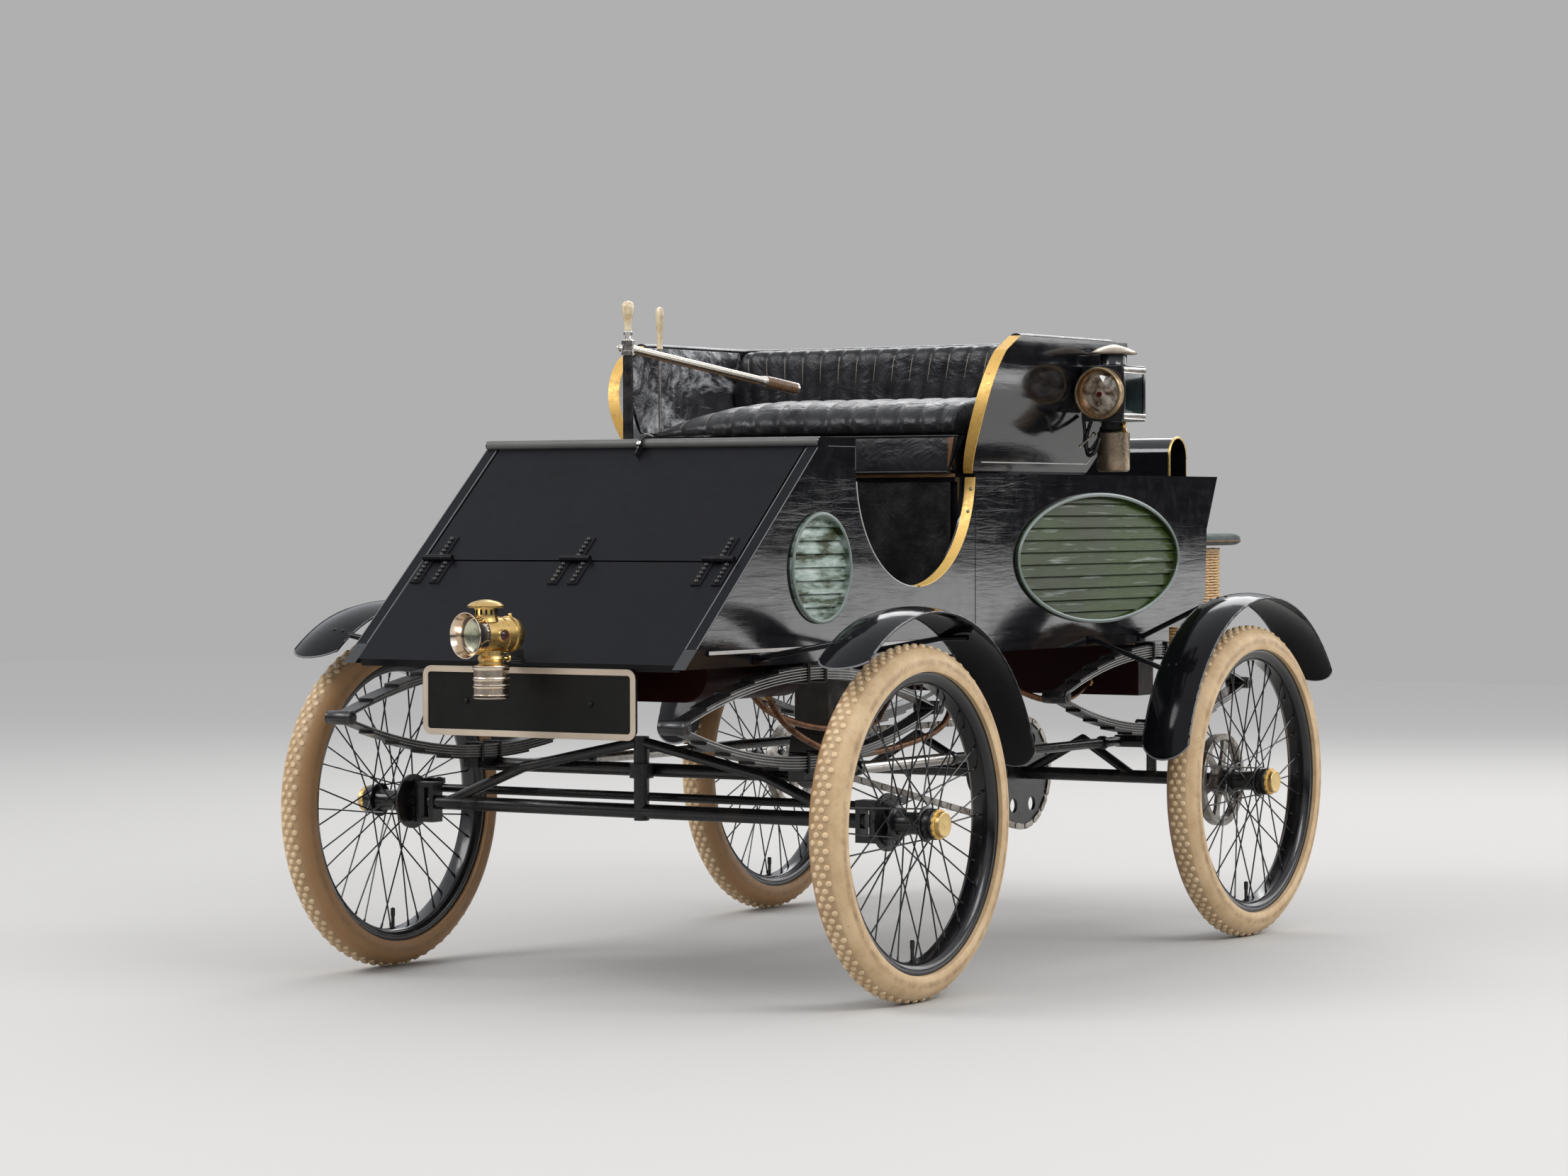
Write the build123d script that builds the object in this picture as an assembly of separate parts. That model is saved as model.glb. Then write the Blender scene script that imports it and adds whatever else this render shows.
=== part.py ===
from build123d import *
import math
import os

# Light steam runabout of about 1900. X is across the car with its left at +X, Z is up from the
# ground, and the front looks along -Y. Stations along Y are measured from the front axle.

# Driving dimensions
WHEELBASE = 1508.0
HALF_TRACK = 647.5
WHEEL_R = 356.0
BODY_HALF = 415.0
WALL = 30.0

# Wheels
TYRE_R = 42.0
RIM_FLANGE_R = 298.0
RIM_DEPTH = 22.0
RIM_HALF_W = 27.0
RIM_WALL = 4.0
SPOKES = 36
SPOKE_R = 1.6
HUB_R = 24.0
HUB_FLANGE_R = 36.0
HUB_FLANGE_T = 5.0
HUB_HALF_L = 36.0
HUB_NOSE_R = 31.0
HUB_NOSE_L = 23.0
CAP_COLLAR_R = 30.0
CAP_COLLAR_T = 6.0
CAP_R = 25.5
CAP_L = 11.0
SPINDLE_R = 12.0
SPINDLE_FIT = 0.05
SPINDLE_END_GAP = 6.0
DRUM_R = 106.0
DRUM_T = 16.0
DRUM_W = 22.0
DRUM_INSET = 66.0
DRUM_ARMS = 5

# Front axle and steering
AXLE_R = 15.0
AXLE_Z = WHEEL_R
KINGPIN_X = 568.0
KINGPIN_R = 8.0
BARREL_R = 17.0
BARREL_H = 62.0
EAR_T = 11.0
EAR_GAP = 0.4
TRUSS_R = 11.0
TRUSS_TOP_Z = 500.0
TRUSS_POST_R = 16.0
ARM_L = 62.0
ARM_Z = 397.0
ARM_T = 12.0
ARM_R = 13.0
TIE_R = 9.0
TIE_PIN_R = 5.0
TIE_PLAY = 1.5
BACK_PLATE_R = 58.0
BACK_PLATE_T = 6.0
BACK_RIB_R = 46.0
BACK_RIB_T = 5.0

# Perch frame and springs
SPRING_X = BODY_HALF - 10.0
SPRING_EYE_Z = 560.0
SPRING_HALF_FRONT = 482.0
SPRING_HALF_REAR = 462.0
SPRING_RISE = 78.0
SPRING_W = 38.0
LEAF_T = 5.5
LEAF_SHARES = (1.0, 0.82, 0.64, 0.46, 0.28)
EYE_R = 14.0
EYE_L = 60.0
PERCH_X = BODY_HALF - 75.0
PERCH_Z = 440.0
PERCH_R = 11.0
CROSS_R = 14.0
SEAT_BLOCK_L = 90.0

# Body
SILL_Z = 670.0
SILL_TOP = 705.0
BEAD_H = 11.0
BEAD_OUT = 5.0
BEAD_FRONT_IN = 40.0
BEAD_REAR_IN = 60.0
CROSS_RAIL_HALF = 15.0
FLOOR_T = 18.0
FLOOR_CUT_GAP = 10.0
BOARD_T = 18.0
NOSE_Y = -450.0
NOSE_Z = 679.0
LEDGE_Y = 50.0
LEDGE_REAR = 170.0
LEDGE_Z = 1124.0
DECK_Z = 1055.0
SEAM_Y = 664.0
STEP_MID_Y = 417.0
STEP_HALF = 246.0
STEP_DEPTH = 240.0
TAIL_TOP_Y = WHEELBASE + 324.0
TAIL_MID_Y = WHEELBASE + 267.0
TAIL_MID_Z = 930.0
TAIL_LOW_Y = WHEELBASE + 258.0
TAIL_LOW_Z = 770.0
TAIL_FOOT_Y = WHEELBASE + 70.0
TAIL_R = 200.0
PANEL_SEAM = 1.0

# Louvred vents
FRONT_VENT = (31.0, 860.0, 115.0, 113.0)
REAR_VENT = ((SEAM_Y + TAIL_TOP_Y) / 2 - 18.0, 868.0, 389.0, 147.0)
VENT_RIM = 9.0
VENT_RIM_OUT = 6.0
VENT_PLATE_T = 5.0
VENT_DEPTH = 10.0
SLAT_PITCH = 27.0
SLAT_GAP = 2.0
SLAT_OUT = 8.0

# Front lid
LID_T = 20.0
LID_GAP = 5.0
LID_SEAM_Z = 875.0
HINGE_XS = (70.0 - BODY_HALF, 0.0, BODY_HALF - 70.0)
HINGE_R = 7.0
HINGE_PIN_R = 3.0
HINGE_FIT = 0.05
HINGE_L = 24.0
STRAP_L = 70.0
STRAP_W = 22.0
STRAP_T = 3.0

# Seat
SEAT_FRONT_Y = 640.0
SEAT_BOARD_T = 18.0
SEAT_TOP_Z = 1350.0
SEAT_TOP_HALF = BODY_HALF + 85.0
SEAT_MID = (BODY_HALF + 63.0, 1180.0)
SEAT_REAR_LOW_Y = 1172.0
SEAT_REAR_TOP_Y = 1205.0
SEAT_WALL = 28.0
SEAT_FOOT_IN = 6.0
SEAT_PLAY = 5.0
ARM_FRONT = ((663.0, 1058.0), (592.0, 1200.0), (650.0, 1318.0), (712.0, 1350.0))
TRIM_T = 3.0
BOXING_FRONT_Y = 612.0
BOXING_TOP_Z = 1136.0
CUSHION_HALVES = (BODY_HALF - 15.0, BODY_HALF - 8.0, BODY_HALF - 5.0)
CUSHION_ROUND = 30.0
CUSHION_FRONT_Y = 596.0
CUSHION_REAR_Y = 1030.0
CUSHION_TOP_Z = 1205.0
BACK_HALVES = (BODY_HALF - 39.0, BODY_HALF + 25.0, BODY_HALF + 47.0)
BACK_ROUND = 25.0
BACK_FRONT_Y = 1036.0
BACK_TOP_Z = 1352.0
SOFT_GAP = 0.3

# Rear deck hood and hamper
HOOD_HALF = BODY_HALF - 70.0
HOOD_Y = WHEELBASE + 256.0
HOOD_R = 43.0
HOOD_H = 93.0
HOOD_T = 4.0
HAMPER_HALF = BODY_HALF - 115.0
HAMPER_FRONT_Y = WHEELBASE + 342.0
HAMPER_REAR_Y = HAMPER_FRONT_Y + 247.0
HAMPER_Z = 648.0
HAMPER_TOP_Z = 884.0
HAMPER_WALL = 14.0
HAMPER_LID_OVER = 40.0
HAMPER_LID_T = 30.0
HAMPER_LID_GAP = 5.0
HAMPER_LID_ROUND = 12.0
HAMPER_HINGE_XS = (-200.0, 200.0)
HAMPER_HINGE = (HAMPER_FRONT_Y - HINGE_R - 1.0, HAMPER_TOP_Z - 4.0)
RACK_XS = (-220.0, 220.0)
RACK_W = 30.0
RACK_T = 8.0

# Mudguards
GUARD_R = 420.0
GUARD_W = 112.0
GUARD_T = 2.5
GUARD_CROWN = 10.0
GUARD_BEAD_R = 2.5
GUARD_END_R = 64.0
GUARD_END_TRIM = 2.0
GUARD_CUT_H = 40.0
FRONT_GUARD_ARC = (12.0, 133.0)
REAR_GUARD_ARC = (30.0, 171.0)
STAY_R = 6.0

# Lamps, plate and controls
FRONT_LAMP_X = 10.0
FRONT_LAMP_Z = 734.0
FRONT_LAMP_TURN = 12.0
FRONT_MOUTH_R = 45.0
FRONT_BELL_L = 34.0
FRONT_LENS_R = 33.0
FRONT_LENS_IN = 26.0
FRONT_BARREL_R = 34.5
FRONT_BALL_R = 37.0
FRONT_BALL_AT = 108.0
FRONT_NECK_AT = 68.0
FRONT_CHIMNEY_AT = 54.0
FRONT_CHIMNEY_R = 23.0
FRONT_CAP_R = 36.0
FRONT_CAP_H = 58.0
CAP_EDGE = 4.0
CAP_RISE = 0.36
FRONT_FONT_R = 36.0
FRONT_FONT_LOW = 124.0
FRONT_STRAP_Z = 683.5
FRONT_LAMP_NOSE_Y = -610.0
SIDE_LAMP_X = SEAT_TOP_HALF + 60.0
SIDE_LAMP_Y = 946.0
SIDE_LAMP_Z = 1231.0
SIDE_LENS_R = 57.0
SIDE_RING_L = 22.0
SIDE_RING_T = 6.0
SIDE_BOX_W = 100.0
SIDE_BOX_L = 112.0
SIDE_BOX_H = 122.0
SIDE_PANE_T = 4.0
SIDE_PANE_RIM = 9.0
SIDE_FONT_R = 36.0
SIDE_CAP_R = 52.0
PLATE_X = 30.0
PLATE_Y = -440.0
PLATE_L = 516.0
PLATE_H = 126.0
PLATE_TOP_Z = 662.0
PLATE_T = 4.0
PLATE_ROUND = 14.0
PLATE_RIM_W = 9.0
PLATE_RIM_T = 1.5
PLATE_HOLE_R = 3.3
PLATE_HOLE_SPAN = 300.0
PLATE_STRAP_W = 24.0
POST_X = -168.0
POST_Y = 200.0
POST_R = 11.0
TILLER_SHAFT_R = 7.0
TILLER_FIT = 0.05
TILLER_Z = 1322.0
TILLER_HEAD_H = 34.0
TILLER_ANGLE = 15.0
TILLER_L = 490.0
TILLER_DROP = 78.0
TILLER_R = 10.0
GRIP_R = 13.0
GRIP_L = 95.0
THROTTLE_X = -(BODY_HALF + 9.0)
THROTTLE_Y = 700.0
THROTTLE_FOOT_Z = 1118.0
THROTTLE_GRIP_Z = 1340.0
THROTTLE_TOP_Z = 1437.0
THROTTLE_R = 4.0
THROTTLE_GRIP_R = 9.5

# Machinery
ENGINE = (30.0, 722.0, 150.0, 110.0, 360.0, 940.0)
BOILER_Y = 1010.0
BOILER_R = 200.0
BOILER_Z = (610.0, 1000.0)
BOILER_FLANGE_R = 225.0
BOILER_FLANGE_T = 6.0
TANK_Y = (WHEELBASE - 8.0, WHEELBASE + 67.0)
TANK_Z = (545.0, SILL_Z - RACK_T)
TANK_HALF = BODY_HALF - 40.0
FUEL_TANK = (110.0, BODY_HALF - 55.0, -300.0, 60.0, 599.0, SILL_Z)
FUEL_TANK_R = 55.0
TANK_STRAP_INSET = 40.0
TANK_STRAP_W = 20.0
SPROCKET_X = 60.0
SPROCKET_T = 8.0
SPROCKET_TEETH = 18
SPROCKET_HOLES = 6
SPROCKET_HOLE_R = 17.0
SPROCKET_HOLE_AT = 88.0
PINION_TEETH = 7
PINION_HUB_R = 20.0
PINION_GAP = 18.0
CRANK_R = 80.0
DIFF_R = 62.0
DIFF_HALF = 55.0
CHAIN_PITCH = 44.45
CHAIN_BLOCK_PIN = 9.0
CHAIN_H = 13.0
CHAIN_BLOCK_W = 10.0
CHAIN_PLATE_T = 2.5
TOOTH_H = 6.0
CHAIN_SEAT = 0.1
CHAIN_CORNER = 0.59
TOOTH_FOOT = 0.135
TOOTH_TIP = 0.07

# Origin: middle of the overall length, on the ground
FRONT_END = FRONT_LAMP_NOSE_Y
REAR_END = HAMPER_REAR_Y + HAMPER_LID_OVER
MID_Y = (FRONT_END + REAR_END) / 2

LID_RUN = LEDGE_Y - NOSE_Y
LID_CLIMB = LEDGE_Z - NOSE_Z
LID_SLOPE = math.degrees(math.atan2(LID_CLIMB, LID_RUN))
RIM_BED_R = RIM_FLANGE_R - RIM_DEPTH


def save(name, *solids):
    """Moves the solids to the car's origin and writes them as one node."""
    group = [Pos(0, -MID_Y, 0) * s for s in solids]
    shape = group[0] if len(group) == 1 else Compound(children=[s for g in group for s in g.solids()])
    export_step(shape, f"parts/{name}.step")


def rod(start, end, radius):
    """Round bar between two points."""
    start = Vector(*start)
    end = Vector(*end)
    return extrude(Plane(origin=start, z_dir=end - start) * Circle(radius), (end - start).length)


def across(outline, x0, x1):
    """Extrudes a side-view outline, drawn in Y and Z, from x0 to x1."""
    return Pos(x0, 0, 0) * extrude(Plane.YZ * outline, x1 - x0, dir=(1, 0, 0))


def along(outline, y0, y1):
    """Extrudes a front-view outline, drawn in X and Z, from y0 to y1."""
    return Pos(0, y0, 0) * extrude(Plane.XZ * outline, y1 - y0, dir=(0, 1, 0))


def block(x0, x1, y0, y1, z0, z1):
    """Box between two corners."""
    return Pos((x0 + x1) / 2, (y0 + y1) / 2, (z0 + z1) / 2) * Box(x1 - x0, y1 - y0, z1 - z0)


def mirrored(solid):
    """The same solid on the other side of the car."""
    return mirror(solid, Plane.YZ)


def polygon(*points):
    return Polygon(*points, align=None)


def on_slope(distance, depth=0.0):
    """Point on the front lid's slope, measured up from its foot and inwards from its face."""
    a = math.radians(LID_SLOPE)
    return (NOSE_Y + distance * math.cos(a) + depth * math.sin(a),
            NOSE_Z + distance * math.sin(a) - depth * math.cos(a))


def slope_face(z):
    """Station of the lid's outer face at a height."""
    return NOSE_Y + (z - NOSE_Z) * LID_RUN / LID_CLIMB


def slope_inside(z):
    """Station of the lid's inner face at a height."""
    return slope_face(z) + LID_T / math.sin(math.radians(LID_SLOPE))


# Wheels

def rim():
    low = RIM_BED_R
    bed = low + RIM_WALL
    half = RIM_HALF_W
    shoulder = RIM_FLANGE_R - 10.0
    inner = half - RIM_WALL
    section = polygon((-half, RIM_FLANGE_R), (-half, shoulder), (-half + 9, low), (half - 9, low),
                      (half, shoulder), (half, RIM_FLANGE_R), (inner, RIM_FLANGE_R),
                      (inner, shoulder + 2), (inner - 7, bed), (7 - inner, bed),
                      (-inner, shoulder + 2), (-inner, RIM_FLANGE_R))
    return revolve(section, Axis.X)


def tyre():
    low = RIM_BED_R + RIM_WALL
    inner = RIM_HALF_W - RIM_WALL
    shoulder = RIM_FLANGE_R - 8.0
    centre_r = WHEEL_R - TYRE_R
    wall_r = centre_r - 10.0
    wall_x = math.sqrt(TYRE_R ** 2 - (wall_r - centre_r) ** 2)
    foot = (inner, RIM_FLANGE_R)
    outline = (ThreePointArc((wall_x, wall_r), (0, WHEEL_R), (-wall_x, wall_r))
               + Polyline((-wall_x, wall_r), (-foot[0] - RIM_WALL, foot[1]), (-foot[0], foot[1]),
                          (-inner, shoulder), (7 - inner, low), (inner - 7, low), (inner, shoulder),
                          foot, (inner + RIM_WALL, foot[1]), (wall_x, wall_r)))
    return revolve(make_face(outline), Axis.X)


def hub(inner_end, drum):
    """Turned hub with its axis on X: two spoke flanges, a nose and the cap at +X, bored from -X."""
    end, t, r = HUB_HALF_L, HUB_FLANGE_T, HUB_R
    nose = end + HUB_NOSE_L
    profile = polygon((-inner_end, 0), (-inner_end, r), (t - end, r), (t - end, HUB_FLANGE_R),
                      (2 * t - end, HUB_FLANGE_R), (3 * t - end, r), (end - 3 * t, r),
                      (end - 2 * t, HUB_FLANGE_R), (end - t, HUB_FLANGE_R), (end, HUB_NOSE_R),
                      (nose, HUB_NOSE_R), (nose, 0))
    body = revolve(profile, Axis.X)
    body += Pos(nose, 0, 0) * (Rot(0, 90, 0) * extrude(RegularPolygon(CAP_COLLAR_R, 12), CAP_COLLAR_T))
    body += rod((nose, 0, 0), (nose + CAP_COLLAR_T + CAP_L, 0, 0), CAP_R)
    if drum:
        body += drum_wheel()
    bore_l = inner_end + HUB_HALF_L
    bore = Cylinder(SPINDLE_R + SPINDLE_FIT, bore_l)
    return body - Pos(-inner_end + bore_l / 2, 0, 0) * (Rot(0, 90, 0) * bore)


def drum_wheel():
    """Brake drum on its open spider, inboard of the rear wheel."""
    x = -DRUM_INSET
    ring = Circle(DRUM_R) - Circle(DRUM_R - DRUM_T)
    web = extrude(Pos(0, 0, -DRUM_W / 2) * ring, DRUM_W)
    centre = Cylinder(HUB_R + 12, DRUM_W)
    for i in range(DRUM_ARMS):
        arm = Pos((DRUM_R + HUB_R) / 2, 0, 0) * Box(DRUM_R - HUB_R - DRUM_T / 2, 20, DRUM_W / 2)
        web += Rot(0, 0, i * 360 / DRUM_ARMS) * arm
    return Pos(x, 0, 0) * (Rot(0, 90, 0) * (web + centre))


def spokes():
    """Tangent spokes, alternately from the two hub flanges, crossing in pairs."""
    wires = []
    for i in range(SPOKES):
        side = 1 if i % 2 else -1
        lead = 1 if (i // 2) % 2 else -1
        a = math.radians(i * 360 / SPOKES)
        b = a + lead * math.radians(58)
        x0 = side * (HUB_HALF_L - 1.5 * HUB_FLANGE_T)
        root = HUB_FLANGE_R - 4
        tip = RIM_BED_R + RIM_WALL / 2
        wires.append(rod((x0, root * math.cos(b), root * math.sin(b)),
                         (side * 5.0, tip * math.cos(a), tip * math.sin(a)), SPOKE_R))
    return wires


def wire_wheel(inner_end, drum):
    wheel = rim() + hub(inner_end, drum)
    for wire in spokes():
        wheel += wire
    return wheel


def wheels():
    inner_front = HALF_TRACK - KINGPIN_X - BARREL_R - 22.0
    inner_rear = DRUM_INSET + DRUM_W / 2
    # name, station, side, inner end of the hub, drum
    table = (("front_left", 0.0, 1, inner_front, False),
             ("front_right", 0.0, -1, inner_front, False),
             ("rear_left", WHEELBASE, 1, inner_rear, True),
             ("rear_right", WHEELBASE, -1, inner_rear, True))
    made = {}
    for name, y, side, inner_end, drum in table:
        if drum not in made:
            made[drum] = wire_wheel(inner_end, drum)
        turn = Rot(0, 0, 0) if side > 0 else Rot(0, 0, 180)
        place = Pos(side * HALF_TRACK, y, WHEEL_R)
        save(f"wheel_{name}", place * (turn * made[drum]))
        save(f"tyre_{name}", place * (turn * tyre()))


# Axles and steering

def front_axle():
    ear_z = BARREL_H / 2 + EAR_GAP
    inner_x = KINGPIN_X - BARREL_R - 8.0
    axle = rod((-inner_x, 0, AXLE_Z), (inner_x, 0, AXLE_Z), AXLE_R)
    for side in (-1, 1):
        x = side * KINGPIN_X
        web = side * (inner_x - 6)
        for z in (AXLE_Z - ear_z - EAR_T / 2, AXLE_Z + ear_z + EAR_T / 2):
            axle += Pos(x, 0, z) * Cylinder(BARREL_R, EAR_T)
            axle += block(min(web, x), max(web, x), -BARREL_R, BARREL_R, z - EAR_T / 2, z + EAR_T / 2)
        axle += block(min(web, web - side * EAR_T), max(web, web - side * EAR_T), -BARREL_R, BARREL_R,
                      AXLE_Z - ear_z - EAR_T, AXLE_Z + ear_z + EAR_T)
        axle += Pos(x, 0, AXLE_Z) * Cylinder(KINGPIN_R, 2 * ear_z + EAR_T)
        knee = (side * 300.0, 0, TRUSS_TOP_Z - 62)
        axle += rod((side * (inner_x - 40), 0, AXLE_Z), knee, TRUSS_R)
        axle += Pos(*knee) * Sphere(TRUSS_R)
        axle += rod(knee, (0, 0, TRUSS_TOP_Z), TRUSS_R)
    axle += rod((0, 0, AXLE_Z - AXLE_R - 4), (0, 0, TRUSS_TOP_Z + TRUSS_R), TRUSS_POST_R)
    return axle


def knuckle():
    """Left stub axle, with its steering arm to the rear."""
    part = Pos(KINGPIN_X, 0, AXLE_Z) * Cylinder(BARREL_R, BARREL_H)
    tip_x = HALF_TRACK + HUB_HALF_L - SPINDLE_END_GAP
    part += rod((KINGPIN_X, 0, AXLE_Z), (tip_x, 0, AXLE_Z), SPINDLE_R)
    plate_x = KINGPIN_X + BARREL_R + 4.0
    part += rod((plate_x, 0, AXLE_Z), (plate_x + BACK_PLATE_T, 0, AXLE_Z), BACK_PLATE_R)
    part += rod((plate_x, 0, AXLE_Z), (plate_x + BACK_PLATE_T + BACK_RIB_T, 0, AXLE_Z), BACK_RIB_R)
    part -= Pos(KINGPIN_X, 0, AXLE_Z) * Cylinder(KINGPIN_R + SPINDLE_FIT, BARREL_H)
    return part


def steering_arm(slot):
    """Arm on the plate behind the barrel, ending at the tie rod's pin."""
    x = KINGPIN_X + BARREL_R + 7.0
    arm = block(x - 6, x + 6, 0, ARM_L, ARM_Z - ARM_T / 2, ARM_Z + ARM_T / 2)
    arm += Pos(KINGPIN_X, ARM_L, ARM_Z) * Cylinder(ARM_R, ARM_T)
    arm += block(KINGPIN_X, x + 6, ARM_L - 8, ARM_L + 8, ARM_Z - ARM_T / 2, ARM_Z + ARM_T / 2)
    hole = TIE_PIN_R + (TIE_PLAY if slot else SPINDLE_FIT)
    return arm - Pos(KINGPIN_X, ARM_L, ARM_Z) * Cylinder(hole, 2 * ARM_T)


def knuckles():
    left = knuckle() + steering_arm(False)
    right = mirrored(knuckle() + steering_arm(True))
    save("knuckle_left", left)
    save("knuckle_right", right)


def tie_rod():
    """Tube under the two steering arms, with an upright pin at each end."""
    z = ARM_Z - ARM_T / 2 - TIE_R - EAR_GAP
    rod_part = rod((-KINGPIN_X, ARM_L, z), (KINGPIN_X, ARM_L, z), TIE_R)
    for x in (-KINGPIN_X, KINGPIN_X):
        rod_part += Pos(x, ARM_L, z) * Cylinder(TIE_R, 2 * TIE_R)
        rod_part += rod((x, ARM_L, z), (x, ARM_L, ARM_Z + ARM_T / 2 + 2), TIE_PIN_R)
    return rod_part


def rear_axle():
    tip_x = HALF_TRACK + HUB_HALF_L - SPINDLE_END_GAP
    shoulder_x = HALF_TRACK - DRUM_INSET - DRUM_W / 2 - 6.0
    z = WHEEL_R
    y = WHEELBASE
    axle = rod((-shoulder_x, y, z), (shoulder_x, y, z), AXLE_R)
    axle += rod((-tip_x, y, z), (tip_x, y, z), SPINDLE_R)
    axle += rod((-DIFF_HALF, y, z), (DIFF_HALF, y, z), DIFF_R)
    axle += sprocket()
    for side in (-1, 1):
        knee = (side * 225.0, y, PERCH_Z)
        axle += rod((side * (DIFF_HALF + 15.0), y, z), knee, TRUSS_R)
        axle += Pos(*knee) * Sphere(TRUSS_R)
        axle += rod(knee, (side * (SPRING_X - 45.0), y, z), TRUSS_R)
    return axle


class ChainRun:
    """Closed path of a block chain round the engine's pinion and the rear axle's sprocket."""

    def __init__(self):
        """Fits a whole number of links to the distance between the two shafts."""
        self.front = Vector(ENGINE[1], ENGINE[4] + CRANK_R)
        self.rear = Vector(WHEELBASE, WHEEL_R)
        self.gap = (self.rear - self.front).length
        self.tilt = math.atan2(self.rear.Y - self.front.Y, self.rear.X - self.front.X)
        self.set_pitch(CHAIN_PITCH)
        self.links = round(self.length / CHAIN_PITCH)
        for _ in range(20):
            self.set_pitch(self.length / self.links)

    def set_pitch(self, pitch):
        """Sizes both pitch circles and the path for a link pitch."""
        self.pitch = pitch
        self.small = PINION_TEETH * pitch / math.tau
        self.large = SPROCKET_TEETH * pitch / math.tau
        lean = math.asin((self.large - self.small) / self.gap)
        self.straight = self.gap * math.cos(lean)
        self.upper = self.tilt + math.pi / 2 + lean
        self.lower = self.tilt - math.pi / 2 - lean
        self.rear_arc = self.large * (math.pi + 2 * lean)
        self.front_arc = self.small * (math.pi - 2 * lean)
        self.length = 2 * self.straight + self.rear_arc + self.front_arc

    def at(self, distance):
        """Point at a distance along the path, from the top of the pinion rearwards."""
        distance %= self.length
        half = self.straight + self.rear_arc
        if distance < half:
            return self.on_half(distance, self.front, self.small, self.rear, self.large, self.upper)
        return self.on_half(distance - half, self.rear, self.large, self.front, self.small, self.lower)

    def on_half(self, distance, start, start_r, end, end_r, angle):
        """Point on the straight from one wheel to the next, or on the arc round that next wheel."""
        out = Vector(math.cos(angle), math.sin(angle))
        foot = start + out * start_r
        if distance < self.straight:
            return foot + (end + out * end_r - foot).normalized() * distance
        turned = angle - (distance - self.straight) / end_r
        return end + Vector(math.cos(turned), math.sin(turned)) * end_r

    def tooth_angle(self, rear):
        """Angle of one tooth that stands between two blocks, on the sprocket or on the pinion."""
        begin = self.straight if rear else 2 * self.straight + self.rear_arc
        first = math.ceil(begin / self.pitch) * self.pitch
        start, radius = (self.upper, self.large) if rear else (self.lower, self.small)
        return start - (first - begin) / radius


def toothed(teeth, radius, phase):
    """Flat outline of a chain wheel: tapered teeth, and flats between them that the blocks lie on."""
    step = math.tau / teeth
    seat = math.sqrt(radius ** 2 - CHAIN_BLOCK_PIN ** 2) - CHAIN_H / 2 - CHAIN_SEAT
    root = seat / math.cos(step * (0.5 - TOOTH_FOOT))
    tip = radius + TOOTH_H
    points = []
    for i in range(teeth):
        for share, r in ((-TOOTH_FOOT, root), (-TOOTH_TIP, tip), (TOOTH_TIP, tip), (TOOTH_FOOT, root)):
            a = phase + step * (i + share)
            points.append((r * math.cos(a), r * math.sin(a)))
    return polygon(*points)


def sprocket():
    """Rear chain wheel with its lightening holes, in place."""
    run = ChainRun()
    wheel = toothed(SPROCKET_TEETH, run.large, run.tooth_angle(True))
    wheel -= PolarLocations(SPROCKET_HOLE_AT, SPROCKET_HOLES) * Circle(SPROCKET_HOLE_R)
    half = SPROCKET_T / 2
    return across(Pos(run.rear.X, run.rear.Y) * wheel, SPROCKET_X - half, SPROCKET_X + half)


def pinion():
    """Chain wheel on the engine's shaft, in place."""
    run = ChainRun()
    wheel = toothed(PINION_TEETH, run.small, run.tooth_angle(False))
    half = SPROCKET_T / 2
    return across(Pos(run.front.X, run.front.Y) * wheel, SPROCKET_X - half, SPROCKET_X + half)


def link(start, end):
    """Side view of a link between two pins, with cut corners."""
    run = end - start
    reach = run.length / 2 + CHAIN_H / 2
    h = CHAIN_H / 2
    cut = h * CHAIN_CORNER
    outline = polygon((-reach, -h + cut), (-reach + cut, -h), (reach - cut, -h), (reach, -h + cut),
                      (reach, h - cut), (reach - cut, h), (-reach + cut, h), (-reach, h - cut))
    middle = (start + end) / 2
    angle = math.degrees(math.atan2(run.Y, run.X))
    return Pos(middle.X, middle.Y) * (Rot(0, 0, angle) * outline)


def chain():
    """Block chain: solid blocks between the teeth, joined by a pair of side plates over each tooth."""
    run = ChainRun()
    half = CHAIN_BLOCK_W / 2
    pieces = []
    for i in range(run.links):
        middle = (i + 0.5) * run.pitch
        back, front, following = (run.at(middle + d) for d in
                                  (-CHAIN_BLOCK_PIN, CHAIN_BLOCK_PIN, run.pitch - CHAIN_BLOCK_PIN))
        pieces.append(across(link(back, front), SPROCKET_X - half, SPROCKET_X + half))
        plate = link(front, following)
        pieces.append(across(plate, SPROCKET_X + half, SPROCKET_X + half + CHAIN_PLATE_T))
        pieces.append(across(plate, SPROCKET_X - half - CHAIN_PLATE_T, SPROCKET_X - half))
    return pieces[0].fuse(*pieces[1:])


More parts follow.
